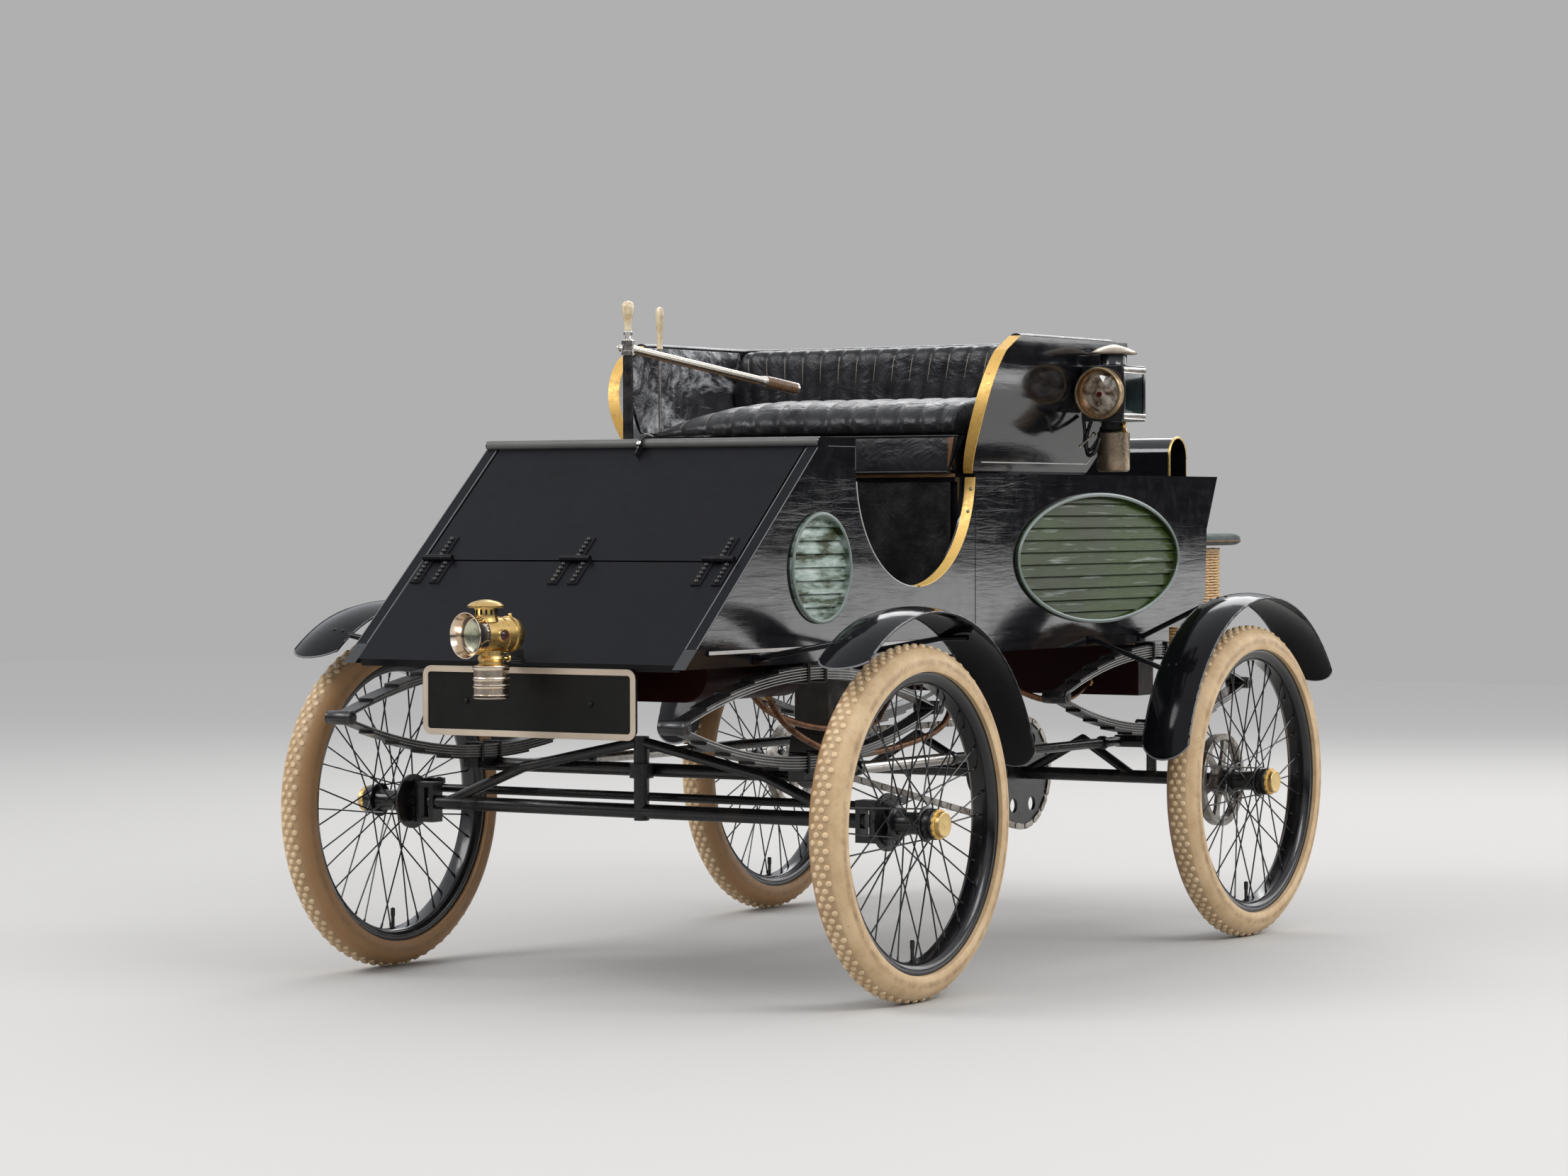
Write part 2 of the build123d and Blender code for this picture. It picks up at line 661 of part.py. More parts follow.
def perch_frame():
    """Side tubes between the axles, with a cross tube and spring blocks at each axle."""
    frame = None
    low = SPRING_EYE_Z - SPRING_RISE - len(LEAF_SHARES) * LEAF_T
    for y in (0.0, WHEELBASE):
        behind = TRUSS_POST_R + CROSS_R + 2.0
        shift = -behind if y else behind
        inner = PERCH_X - PERCH_R if y else 0.0
        for side in (-1, 1):
            tip = side * (SPRING_X + 20)
            cross = rod((side * inner, y + shift, PERCH_Z), (tip, y + shift, PERCH_Z), CROSS_R)
            frame = cross if frame is None else frame + cross
        for side in (-1, 1):
            x = side * SPRING_X
            frame += block(x - SPRING_W / 2, x + SPRING_W / 2, y - SEAT_BLOCK_L / 2,
                           y + SEAT_BLOCK_L / 2, PERCH_Z - 4, low)
            if y:
                frame += rod((x, y, AXLE_Z + AXLE_R), (x, y, PERCH_Z), 12.0)
    for side in (-1, 1):
        x = side * PERCH_X
        frame += rod((x, behind, PERCH_Z), (x, WHEELBASE - behind, PERCH_Z), PERCH_R)
    collar = Pos(0, 0, PERCH_Z) * Cylinder(TRUSS_POST_R + 9, 30)
    frame += collar - Pos(0, 0, PERCH_Z) * Cylinder(TRUSS_POST_R, 40)
    return frame


def leaf(radius, half_angle, thickness):
    """One curved leaf in the YZ plane, bowed up, centred on its own circle."""
    pts = []
    for r in (radius, radius + thickness):
        pts.append([(r * math.sin(a), r * math.cos(a)) for a in (-half_angle, 0, half_angle)])
    low, high = pts
    outline = (ThreePointArc(*low) + Line(low[2], high[2]) + ThreePointArc(*high[::-1])
               + Line(high[0], low[0]))
    return make_face(outline)


def spring(half_length, y, x):
    """Full-elliptic spring: two bowed packs of leaves meeting at eye bolts."""
    radius = (half_length ** 2 + SPRING_RISE ** 2) / (2 * SPRING_RISE)
    full = math.asin(half_length / radius)
    pack = None
    for i, share in enumerate(LEAF_SHARES):
        face = leaf(radius + i * LEAF_T, full * share, LEAF_T)
        solid = across(face, -SPRING_W / 2, SPRING_W / 2)
        pack = solid if pack is None else pack + solid
    upper = Pos(0, 0, SPRING_RISE - radius) * pack
    both = upper + mirror(upper, Plane.XY)
    for end in (-1, 1):
        both += rod((-EYE_L / 2, end * half_length, 0), (EYE_L / 2, end * half_length, 0), EYE_R)
    return Pos(x, y, SPRING_EYE_Z) * both


def springs():
    table = ((SPRING_HALF_FRONT, 0.0), (SPRING_HALF_REAR, WHEELBASE))
    solids = [spring(half, y, side * SPRING_X) for half, y in table for side in (-1, 1)]
    save("springs", *solids)


# Body

def sill_frame():
    """Rails under the body sides, with cross rails, spring pads and the white-lined bead."""
    rear_y = TAIL_FOOT_Y
    rail_view = polygon((slope_face(SILL_Z), SILL_Z), (slope_face(SILL_TOP), SILL_TOP), (rear_y, SILL_TOP),
                        (rear_y, SILL_Z))
    nose_rail = slope_inside(SILL_TOP)
    top_leaf = SPRING_EYE_Z + SPRING_RISE + len(LEAF_SHARES) * LEAF_T
    frame = None
    for side in (-1, 1):
        outer = side * BODY_HALF
        inner = side * (BODY_HALF - WALL)
        x0, x1 = sorted((outer, inner))
        rail = across(rail_view, x0, x1)
        frame = rail if frame is None else frame + rail
        x0, x1 = sorted((outer - side * 2, outer + side * BEAD_OUT))
        bead_front = slope_face(SILL_TOP) + BEAD_FRONT_IN
        frame += block(x0, x1, bead_front, rear_y - BEAD_REAR_IN, SILL_TOP - BEAD_H, SILL_TOP)
        for y in (0.0, WHEELBASE):
            x0, x1 = side * SPRING_X - SPRING_W / 2, side * SPRING_X + SPRING_W / 2
            frame += block(x0, x1, y - SEAT_BLOCK_L / 2, y + SEAT_BLOCK_L / 2, top_leaf, SILL_Z + 2)
    half = BODY_HALF - 2
    for y in (nose_rail + CROSS_RAIL_HALF, LEDGE_REAR - 20.0, SEAT_FRONT_Y, TAIL_FOOT_Y - 20.0):
        frame += block(-half, half, y - CROSS_RAIL_HALF, y + CROSS_RAIL_HALF, SILL_Z, SILL_TOP)
    return frame


def floor():
    """Floor boards on the rails, open round the boiler and the engine."""
    half = BODY_HALF - WALL
    front = slope_inside(SILL_TOP + FLOOR_T)
    board = block(-half, half, front, TAIL_FOOT_Y - BOARD_T, SILL_TOP, SILL_TOP + FLOOR_T)
    board -= Pos(0, BOILER_Y, SILL_TOP) * Cylinder(BOILER_R + FLOOR_CUT_GAP, 4 * FLOOR_T)
    x, y, w, d = ENGINE[:4]
    half_w, half_d = w / 2 + FLOOR_CUT_GAP, d / 2 + FLOOR_CUT_GAP
    board -= block(x - half_w, x + half_w, y - half_d, y + half_d, SILL_Z, SILL_TOP + 2 * FLOOR_T)
    return board - Pos(POST_X, POST_Y, SILL_TOP) * Cylinder(POST_R, 4 * FLOOR_T)


def cheek_outline():
    """Side view of the body side ahead of the seam, with the step cut out."""
    foot = on_slope(math.hypot(LID_RUN, LID_CLIMB) * (SILL_TOP - NOSE_Z) / LID_CLIMB)
    top_z = LEDGE_Z - BOARD_T
    top_y = NOSE_Y + (top_z - NOSE_Z) * LID_RUN / LID_CLIMB
    outline = polygon(foot, (top_y, top_z), (LEDGE_REAR, top_z), (LEDGE_REAR, DECK_Z),
                      (SEAM_Y - PANEL_SEAM / 2, DECK_Z), (SEAM_Y - PANEL_SEAM / 2, SILL_TOP))
    step = Pos(STEP_MID_Y, DECK_Z) * Ellipse(STEP_HALF, STEP_DEPTH)
    vent_y, vent_z, a, b = FRONT_VENT
    return outline - step - Pos(vent_y, vent_z) * Ellipse(a, b)


def quarter_outline():
    """Side view of the body side behind the seam."""
    start = (SEAM_Y + PANEL_SEAM / 2, SILL_TOP)
    top = (SEAM_Y + PANEL_SEAM / 2, DECK_Z)
    outline = (Polyline(start, top, (TAIL_TOP_Y, DECK_Z), (TAIL_MID_Y, TAIL_MID_Z), (TAIL_LOW_Y, TAIL_LOW_Z))
               + RadiusArc((TAIL_LOW_Y, TAIL_LOW_Z), (TAIL_FOOT_Y, SILL_TOP), TAIL_R)
               + Line((TAIL_FOOT_Y, SILL_TOP), start))
    vent_y, vent_z, a, b = REAR_VENT
    return make_face(outline) - Pos(vent_y, vent_z) * Ellipse(a, b)


def sides():
    cheek = across(cheek_outline(), BODY_HALF - WALL, BODY_HALF)
    quarter = across(quarter_outline(), BODY_HALF - WALL, BODY_HALF)
    save("cheeks", cheek, mirrored(cheek))
    save("quarters", quarter, mirrored(quarter))


def vent(spec, x):
    """Louvred plate and raised rim filling one side opening."""
    y, z, a, b = spec
    plate = across(Pos(y, z) * Ellipse(a, b), x - VENT_DEPTH - VENT_PLATE_T, x - VENT_DEPTH)
    ring = Pos(y, z) * (Ellipse(a, b) - Ellipse(a - VENT_RIM, b - VENT_RIM))
    part = plate + across(ring, x - VENT_DEPTH - VENT_PLATE_T, x + VENT_RIM_OUT)
    count = math.ceil(2 * (b - VENT_RIM) / SLAT_PITCH)
    face = x - VENT_DEPTH
    window = across(Pos(y, z) * Ellipse(a - VENT_RIM, b - VENT_RIM), face, x + VENT_RIM_OUT)
    for i in range(count):
        top = z + (count / 2 - i) * SLAT_PITCH
        low = top - SLAT_PITCH + SLAT_GAP
        slat = polygon((face - 1, top), (face + 1, top), (face + SLAT_OUT, low), (face - 1, low))
        part += along(slat, y - a, y + a) & window
    return part


def vents():
    solids = []
    for spec in (FRONT_VENT, REAR_VENT):
        left = vent(spec, BODY_HALF)
        solids += [left, mirrored(left)]
    save("vents", *solids)


def ledge():
    """Top board over the front box and the dash behind it."""
    top_y = NOSE_Y + (LEDGE_Z - BOARD_T - NOSE_Z) * LID_RUN / LID_CLIMB
    front_y = top_y + LID_GAP
    board = block(-BODY_HALF, BODY_HALF, front_y, LEDGE_REAR, LEDGE_Z - BOARD_T, LEDGE_Z)
    nosing_z = LEDGE_Z - BOARD_T / 2
    board += rod((-BODY_HALF, front_y, nosing_z), (BODY_HALF, front_y, nosing_z), BOARD_T / 2)
    half = BODY_HALF - WALL
    dash = block(-half, half, LEDGE_REAR - BOARD_T, LEDGE_REAR, SILL_TOP + FLOOR_T, LEDGE_Z - BOARD_T)
    return board + dash


def lid_leaf(start, end, half):
    """Board lying in the slope between two distances up from its foot."""
    pts = [on_slope(start), on_slope(end), on_slope(end, LID_T), on_slope(start, LID_T)]
    return across(polygon(*pts), -half, half)


def lid_lengths():
    seam = math.hypot(LID_RUN, LID_CLIMB) * (LID_SEAM_Z - NOSE_Z) / LID_CLIMB
    top = math.hypot(LID_RUN, LID_CLIMB) * (LEDGE_Z - BOARD_T - NOSE_Z) / LID_CLIMB
    return seam, top


def hinge_half(seam, upward):
    """Straps and knuckles of one leaf: the middle knuckle or the two outer ones, on the seam."""
    y, z = on_slope(seam, -HINGE_R)
    parts = None
    for x in HINGE_XS:
        spans = ((-0.5, 0.5),) if upward else ((-1.5, -0.52), (0.52, 1.5))
        for a, b in spans:
            barrel = rod((x + a * HINGE_L, y, z), (x + b * HINGE_L, y, z), HINGE_R)
            strap = lid_strap(seam, x + a * HINGE_L, x + b * HINGE_L, upward)
            piece = barrel + strap
            parts = piece if parts is None else parts + piece
    return parts


def lid_strap(seam, x0, x1, upward):
    far = seam + STRAP_L if upward else seam - STRAP_L
    pts = [on_slope(seam), on_slope(far), on_slope(far, -STRAP_T), on_slope(seam, -STRAP_T)]
    return across(polygon(*pts), x0, x1)


def hinge_pins(seam, radius):
    y, z = on_slope(seam, -HINGE_R)
    pins = None
    for x in HINGE_XS:
        pin = rod((x - 1.5 * HINGE_L, y, z), (x + 1.5 * HINGE_L, y, z), radius)
        pins = pin if pins is None else pins + pin
    return pins


def lid():
    seam, top = lid_lengths()
    between = BODY_HALF - WALL
    lower = lid_leaf(0, seam - LID_GAP / 2, between) + hinge_half(seam, False)
    lower += hinge_pins(seam, HINGE_PIN_R)
    upper = lid_leaf(seam + LID_GAP / 2, top - 1, between - LID_GAP) + hinge_half(seam, True)
    upper -= hinge_pins(seam, HINGE_PIN_R + HINGE_FIT)
    save("lid_lower", lower)
    save("lid_upper", upper)


def tail():
    """Rear panel following the quarters' edge, between them."""
    half = BODY_HALF - WALL
    outer = (Polyline((TAIL_TOP_Y, DECK_Z - BOARD_T), (TAIL_MID_Y, TAIL_MID_Z), (TAIL_LOW_Y, TAIL_LOW_Z))
             + RadiusArc((TAIL_LOW_Y, TAIL_LOW_Z), (TAIL_FOOT_Y, SILL_TOP), TAIL_R))
    inner = (Polyline((TAIL_TOP_Y - BOARD_T - 6, DECK_Z - BOARD_T), (TAIL_MID_Y - BOARD_T, TAIL_MID_Z),
                      (TAIL_LOW_Y - BOARD_T, TAIL_LOW_Z))
             + RadiusArc((TAIL_LOW_Y - BOARD_T, TAIL_LOW_Z), (TAIL_FOOT_Y, SILL_TOP + BOARD_T), TAIL_R))
    ends = (Line((TAIL_TOP_Y, DECK_Z - BOARD_T), (TAIL_TOP_Y - BOARD_T - 6, DECK_Z - BOARD_T))
            + Line((TAIL_FOOT_Y, SILL_TOP), (TAIL_FOOT_Y, SILL_TOP + BOARD_T)))
    return across(make_face(outer + inner + ends), -half, half)


def deck():
    """Flat top behind the seat."""
    half = BODY_HALF - WALL
    return block(-half, half, SEAT_REAR_LOW_Y, TAIL_TOP_Y, DECK_Z - BOARD_T, DECK_Z)


def seat_box():
    """Riser under the front of the seat and the seat board on it."""
    half = BODY_HALF - WALL
    board_z = DECK_Z - SEAT_BOARD_T
    riser = block(-half, half, SEAT_FRONT_Y, SEAT_FRONT_Y + BOARD_T, SILL_TOP + FLOOR_T, board_z)
    board = block(-half, half, SEAT_FRONT_Y - 10, SEAT_REAR_LOW_Y, board_z, DECK_Z)
    low, high = seat_inside(DECK_Z), seat_inside(BOXING_TOP_Z)
    section = polygon((-low, DECK_Z), (low, DECK_Z), (high, BOXING_TOP_Z), (-high, BOXING_TOP_Z))
    boxing = along(section, BOXING_FRONT_Y, BACK_FRONT_Y - SOFT_GAP)
    return riser + board + boxing


def seat_inside(z):
    """Half width between the seat's arms at a height, along the chord of their lower bow, less play."""
    foot = BODY_HALF - SEAT_FOOT_IN - SEAT_WALL
    chord = (SEAT_MID[0] - SEAT_WALL - foot) / (SEAT_MID[1] - DECK_Z)
    return foot - SEAT_PLAY + (z - DECK_Z) * chord


def seat_section(inset):
    """Front view of the flared seat, inset from its outer face."""
    base = DECK_Z if inset == 0 else DECK_Z - 10
    low = (BODY_HALF - SEAT_FOOT_IN - inset, base)
    mid = (SEAT_MID[0] - inset, SEAT_MID[1])
    top = (SEAT_TOP_HALF - inset, SEAT_TOP_Z if inset == 0 else SEAT_TOP_Z + 20)
    flip = [(-p[0], p[1]) for p in (low, mid, top)]
    outline = (ThreePointArc(low, mid, top) + Line(top, flip[2])
               + ThreePointArc(flip[2], flip[1], flip[0]) + Line(flip[0], low))
    return make_face(outline)


def seat_side_view(inset):
    """Side view of the seat: bowed arm front, level top and raked back."""
    foot, belly, brow, top = ARM_FRONT
    if inset:
        back = polygon((foot[0] - 200, DECK_Z - 10), (foot[0] - 200, SEAT_TOP_Z + 20),
                       (SEAT_REAR_TOP_Y - inset, SEAT_TOP_Z + 20), (SEAT_REAR_LOW_Y - inset, DECK_Z - 10))
        return back
    outline = (ThreePointArc((foot[0], DECK_Z), belly, brow) + Line(brow, top)
               + Polyline(top, (SEAT_REAR_TOP_Y, SEAT_TOP_Z), (SEAT_REAR_LOW_Y, DECK_Z), (foot[0], DECK_Z)))
    return make_face(outline)


def seat_shell():
    """Bent panels of the seat's two sides and back, open to the front and top."""
    span = 2 * SEAT_TOP_HALF
    outer = along(seat_section(0), 0, 2000) & across(seat_side_view(0), -span, span)
    inner = along(seat_section(SEAT_WALL), 0, 2000) & across(seat_side_view(SEAT_WALL), -span, span)
    return outer - inner


def cushion(widths, side_view, z0, z1, r):
    """Soft block of a side view, widening upwards between the flared arms, with round long edges."""
    low, mid, high = widths
    z_mid = (z0 + z1) / 2
    section = polygon((-low, z0), (low, z0), (mid, z_mid), (high, z1), (-high, z1), (-mid, z_mid))
    body = across(side_view, -SEAT_TOP_HALF, SEAT_TOP_HALF) & along(section, 0, REAR_END)
    return fillet(body.edges().filter_by(Axis.X), r)


def cushions():
    low = BOXING_TOP_Z + SOFT_GAP
    seat_view = polygon((CUSHION_FRONT_Y, low), (CUSHION_REAR_Y, low), (CUSHION_REAR_Y, CUSHION_TOP_Z),
                        (CUSHION_FRONT_Y, CUSHION_TOP_Z))
    save("seat_cushion", cushion(CUSHION_HALVES, seat_view, low, CUSHION_TOP_Z, CUSHION_ROUND))
    z0 = DECK_Z + SOFT_GAP
    low_y = SEAT_REAR_LOW_Y - SEAT_WALL - SOFT_GAP
    top_y = low_y + (SEAT_REAR_TOP_Y - SEAT_REAR_LOW_Y) * (BACK_TOP_Z - DECK_Z) / (SEAT_TOP_Z - DECK_Z + 30)
    back_view = polygon((BACK_FRONT_Y, z0), (low_y, z0), (top_y, BACK_TOP_Z), (BACK_FRONT_Y, BACK_TOP_Z))
    save("back_cushion", cushion(BACK_HALVES, back_view, z0, BACK_TOP_Z, BACK_ROUND))


def hood_face(r, height):
    shoulder = height - r
    crown = ThreePointArc((-r, shoulder), (0, height), (r, shoulder))
    return make_face(crown + Polyline((r, shoulder), (r, 0), (-r, 0), (-r, shoulder)))


def tunnel_hood():
    """Round-topped flue duct across the deck, open at both ends."""
    outer = Pos(HOOD_Y, DECK_Z) * hood_face(HOOD_R, HOOD_H)
    inner = Pos(HOOD_Y, DECK_Z) * hood_face(HOOD_R - HOOD_T, HOOD_H - HOOD_T)
    floor_strip = block(-HOOD_HALF, HOOD_HALF, HOOD_Y - HOOD_R, HOOD_Y + HOOD_R, DECK_Z, DECK_Z + 1.5)
    return across(outer, -HOOD_HALF, HOOD_HALF) - across(inner, -HOOD_HALF, HOOD_HALF) + floor_strip


def hamper():
    """Basket with its lid's hinge eyes, carried on the rack behind the body."""
    w = HAMPER_WALL
    part = block(-HAMPER_HALF, HAMPER_HALF, HAMPER_FRONT_Y, HAMPER_REAR_Y, HAMPER_Z, HAMPER_TOP_Z)
    part -= block(-HAMPER_HALF + w, HAMPER_HALF - w, HAMPER_FRONT_Y + w, HAMPER_REAR_Y - w,
                  HAMPER_Z + w, HAMPER_TOP_Z)
    y, z = HAMPER_HINGE
    for x in HAMPER_HINGE_XS:
        for a, b in ((-1.5, -0.52), (0.52, 1.5)):
            x0, x1 = x + a * HINGE_L, x + b * HINGE_L
            part += rod((x0, y, z), (x1, y, z), HINGE_R)
            part += block(x0, x1, y, HAMPER_FRONT_Y + 1, z - STRAP_W, z)
        part += rod((x - 1.5 * HINGE_L, y, z), (x + 1.5 * HINGE_L, y, z), HINGE_PIN_R)
    return part


def hamper_lid():
    z0 = HAMPER_TOP_Z + HAMPER_LID_GAP
    lid_half = HAMPER_HALF + HAMPER_LID_OVER
    slab = block(-lid_half, lid_half, HAMPER_FRONT_Y, HAMPER_REAR_Y + HAMPER_LID_OVER, z0, z0 + HAMPER_LID_T)
    part = fillet(slab.edges().filter_by(Axis.X), HAMPER_LID_ROUND)
    y, z = HAMPER_HINGE
    strap_z = z0 + 2 * STRAP_T
    for x in HAMPER_HINGE_XS:
        x0, x1 = x - HINGE_L / 2, x + HINGE_L / 2
        part += rod((x0, y, z), (x1, y, z), HINGE_R)
        part += block(x0, x1, y, HAMPER_FRONT_Y + STRAP_W, strap_z - STRAP_T, strap_z)
        part += block(x0, x1, y - STRAP_T, y + STRAP_T, z, strap_z)
        part -= rod((x - HINGE_L, y, z), (x + HINGE_L, y, z), HINGE_PIN_R + HINGE_FIT)
    return part


def hamper_rack():
    """Two iron bearers from under the body to below the hamper."""
    bars = None
    for x in RACK_XS:
        pts = [(TAIL_FOOT_Y - 150, SILL_Z - RACK_T), (TAIL_FOOT_Y, SILL_Z - RACK_T),
               (TAIL_FOOT_Y + 60, HAMPER_Z - RACK_T), (HAMPER_REAR_Y, HAMPER_Z - RACK_T),
               (HAMPER_REAR_Y, HAMPER_Z), (TAIL_FOOT_Y + 56, HAMPER_Z), (TAIL_FOOT_Y, SILL_Z),
               (TAIL_FOOT_Y - 150, SILL_Z)]
        bar = across(polygon(*pts), x - RACK_W / 2, x + RACK_W / 2)
        bars = bar if bars is None else bars + bar
    for y in (HAMPER_FRONT_Y + 60, HAMPER_REAR_Y - 60):
        bars += block(RACK_XS[0], RACK_XS[1], y - 15, y + 15, HAMPER_Z - RACK_T, HAMPER_Z)
    return bars


# Mudguards

def guard(arc, y):
    """Crowned strip bent round the wheel, between two angles measured up from the rear."""
    start, end = arc
    half = GUARD_W / 2
    low = GUARD_R - GUARD_T
    outer = ThreePointArc((-half, GUARD_R), (0, GUARD_R + GUARD_CROWN), (half, GUARD_R))
    inner = ThreePointArc((half, low), (0, low + GUARD_CROWN), (-half, low))
    edges = Line((half, GUARD_R), (half, low)) + Line((-half, low), (-half, GUARD_R))
    section = make_face(outer + inner + edges)
    for x in (-half, half):
        section += Pos(x, (GUARD_R + low) / 2) * Circle(GUARD_BEAD_R)
    strip = Rot(start, 0, 0) * revolve(section, Axis.X, end - start)
    for angle, way in ((start, 1), (end, -1)):
        strip -= guard_end_waste(angle, way)
    return Pos(HALF_TRACK, y, WHEEL_R) * strip


def guard_end_waste(angle, way):
    """What is cut from a guard's end to round it, way being 1 where the guard runs on upwards."""
    r = GUARD_END_R
    back = angle + way * math.degrees((r + GUARD_END_TRIM) / GUARD_R)
    waste = Pos(0, way * 1.5 * r) * Rectangle(4 * r, 3 * r) - Circle(r)
    tool = extrude(waste, GUARD_CUT_H, both=True)
    return Rot(back - 90, 0, 0) * (Pos(0, 0, GUARD_R) * tool)


def guard_stay(angle, y, z_body):
    """Bent iron from the body side to the inside of the guard."""
    a = math.radians(angle)
    r = GUARD_R - GUARD_T + 1.0
    x0 = HALF_TRACK - GUARD_W / 2 + 4
    tip = (x0 + 60, y + r * math.cos(a), WHEEL_R + r * math.sin(a))
    edge = (x0, tip[1], tip[2] - 2)
    foot = (BODY_HALF + 3, tip[1], z_body)
    pad = block(BODY_HALF, BODY_HALF + 4, tip[1] - 14, tip[1] + 14, z_body - 11, z_body + 7)
    return pad + rod(foot, edge, STAY_R) + rod(edge, tip, STAY_R)


def guards():
    # arc, station, stay angles
    table = ((FRONT_GUARD_ARC, 0.0, (60.0, 120.0)),
             (REAR_GUARD_ARC, WHEELBASE, (100.0, 140.0)))
    solids = []
    for arc, y, stays in table:
        left = guard(arc, y)
        for angle in stays:
            left += guard_stay(angle, y, SILL_TOP - 20)
        solids += [left, mirrored(left)]
    save("mudguards", *solids)


# Lamps, plate and controls

def front_lamp():
    """Oil headlamp: hollow bell, barrel with a round back, chimney, neck and fuel font."""
    lens = FRONT_LENS_IN
    horn = polygon((0, lens), (FRONT_LENS_R - 3, lens), (FRONT_MOUTH_R - 2, 0), (FRONT_MOUTH_R, 0),
                   (FRONT_MOUTH_R, 3), (FRONT_BARREL_R + 2, FRONT_BELL_L - 2),
                   (FRONT_BARREL_R + 2, FRONT_BELL_L + 3), (FRONT_BARREL_R, FRONT_BELL_L + 3),
                   (FRONT_BARREL_R, FRONT_BALL_AT), (0, FRONT_BALL_AT))
    body = Rot(-90, 0, 0) * revolve(Plane.XZ * horn, Axis.Z)
    body += Pos(0, FRONT_BALL_AT, 0) * Sphere(FRONT_BALL_R)
    chimney = lamp_cap(FRONT_CHIMNEY_R, FRONT_CAP_R, FRONT_CAP_H)
    body += Pos(0, FRONT_CHIMNEY_AT, 0) * revolve(Plane.XZ * chimney, Axis.Z)
    body += Pos(0, FRONT_NECK_AT, 0) * revolve(Plane.XZ * front_font(), Axis.Z)
    turned = Rot(0, 0, -FRONT_LAMP_TURN) * (Pos(0, -FRONT_NECK_AT, 0) * body)
    a = math.radians(FRONT_LAMP_TURN)
    neck_y = FRONT_LAMP_NOSE_Y + FRONT_MOUTH_R * math.sin(a) + FRONT_NECK_AT * math.cos(a)
    placed = Pos(FRONT_LAMP_X, neck_y, FRONT_LAMP_Z) * turned
    x, z = FRONT_LAMP_X, FRONT_STRAP_Z
    return placed + block(x - 14, x + 14, neck_y, slope_face(z), z, z + STRAP_T)


def lamp_cap(chimney_r, cap_r, height):
    """Half outline of a chimney under a domed cap, upwards from the lamp's axis."""
    dome = cap_r * CAP_RISE
    bow = (cap_r ** 2 + dome ** 2) / (2 * dome)
    brim = height - CAP_EDGE
    return make_face(Polyline((0, 0), (chimney_r, 0), (chimney_r, brim), (cap_r, brim), (cap_r, height))
                     + RadiusArc((cap_r, height), (0, height + dome), -bow)
                     + Line((0, height + dome), (0, 0)))


def front_font():
    """Half outline of the neck and the ribbed fuel font under the front lamp."""
    r, low = FRONT_FONT_R, -FRONT_FONT_LOW
    return polygon((0, 0), (24, 0), (24, -40), (27, -46), (24, -52), (30, -58), (r + 1, -60), (r + 1, -66),
                   (r - 2, -68), (r - 2, -82), (r, -84), (r, -88), (r - 2, -90), (r - 2, -96), (r, -98),
                   (r, -102), (r - 2, -104), (r - 2, low + 8), (r, low + 6), (r, low), (0, low))


def side_lamp():
    """Carriage lamp: lens ring, square body with a side pane, chimney with its cap, and font."""
    x, y, z = SIDE_LAMP_X, SIDE_LAMP_Y, SIDE_LAMP_Z
    inner = SIDE_LENS_R - SIDE_RING_T
    ring = polygon((0, 10), (inner * 0.6, 12), (inner, 17), (inner, 0), (SIDE_LENS_R - 2, 0),
                   (SIDE_LENS_R, 2), (SIDE_LENS_R, SIDE_RING_L - 2), (SIDE_LENS_R - 4, SIDE_RING_L),
                   (0, SIDE_RING_L))
    body = Pos(x, y, z) * (Rot(-90, 0, 0) * revolve(Plane.XZ * ring, Axis.Z))
    mid = y + SIDE_RING_L + SIDE_BOX_L / 2
    case = Pos(x, mid, z) * Box(SIDE_BOX_W, SIDE_BOX_L, SIDE_BOX_H)
    body += chamfer(case.edges().filter_by(Axis.Z), 3.0)
    rim = 2 * SIDE_PANE_RIM
    pane = (Rectangle(SIDE_BOX_L - SIDE_PANE_RIM, SIDE_BOX_H - SIDE_PANE_RIM)
            - Rectangle(SIDE_BOX_L - rim, SIDE_BOX_H - rim - SIDE_PANE_RIM))
    outer = x + SIDE_BOX_W / 2
    body += across(Pos(mid, z) * pane, outer - 1, outer + SIDE_PANE_T)
    chimney = lamp_cap(SIDE_FONT_R - 7, SIDE_CAP_R, SIDE_BOX_H / 2 + 30)
    body += Pos(x, mid, z) * revolve(Plane.XZ * chimney, Axis.Z)
    body += Pos(x, mid, z) * revolve(Plane.XZ * side_font(), Axis.Z)
    return body + block(SEAT_TOP_HALF - 20, x, mid - 12, mid + 12, z + 30, z + 38)


def side_font():
    """Half outline of the neck and the round fuel font under a side lamp."""
    r, top = SIDE_FONT_R, -SIDE_BOX_H / 2
    return polygon((0, top + 5), (r - 9, top + 5), (r - 9, top - 18), (r - 3, top - 21), (r, top - 25),
                   (r, top - 62), (r + 1, top - 63), (r + 1, top - 65), (r, top - 66), (r, top - 104),
                   (r - 5, top - 110), (0, top - 110))


def side_lamps():
    shell = seat_shell()
    left = side_lamp() - shell
    save("side_lamps", left, mirrored(left))


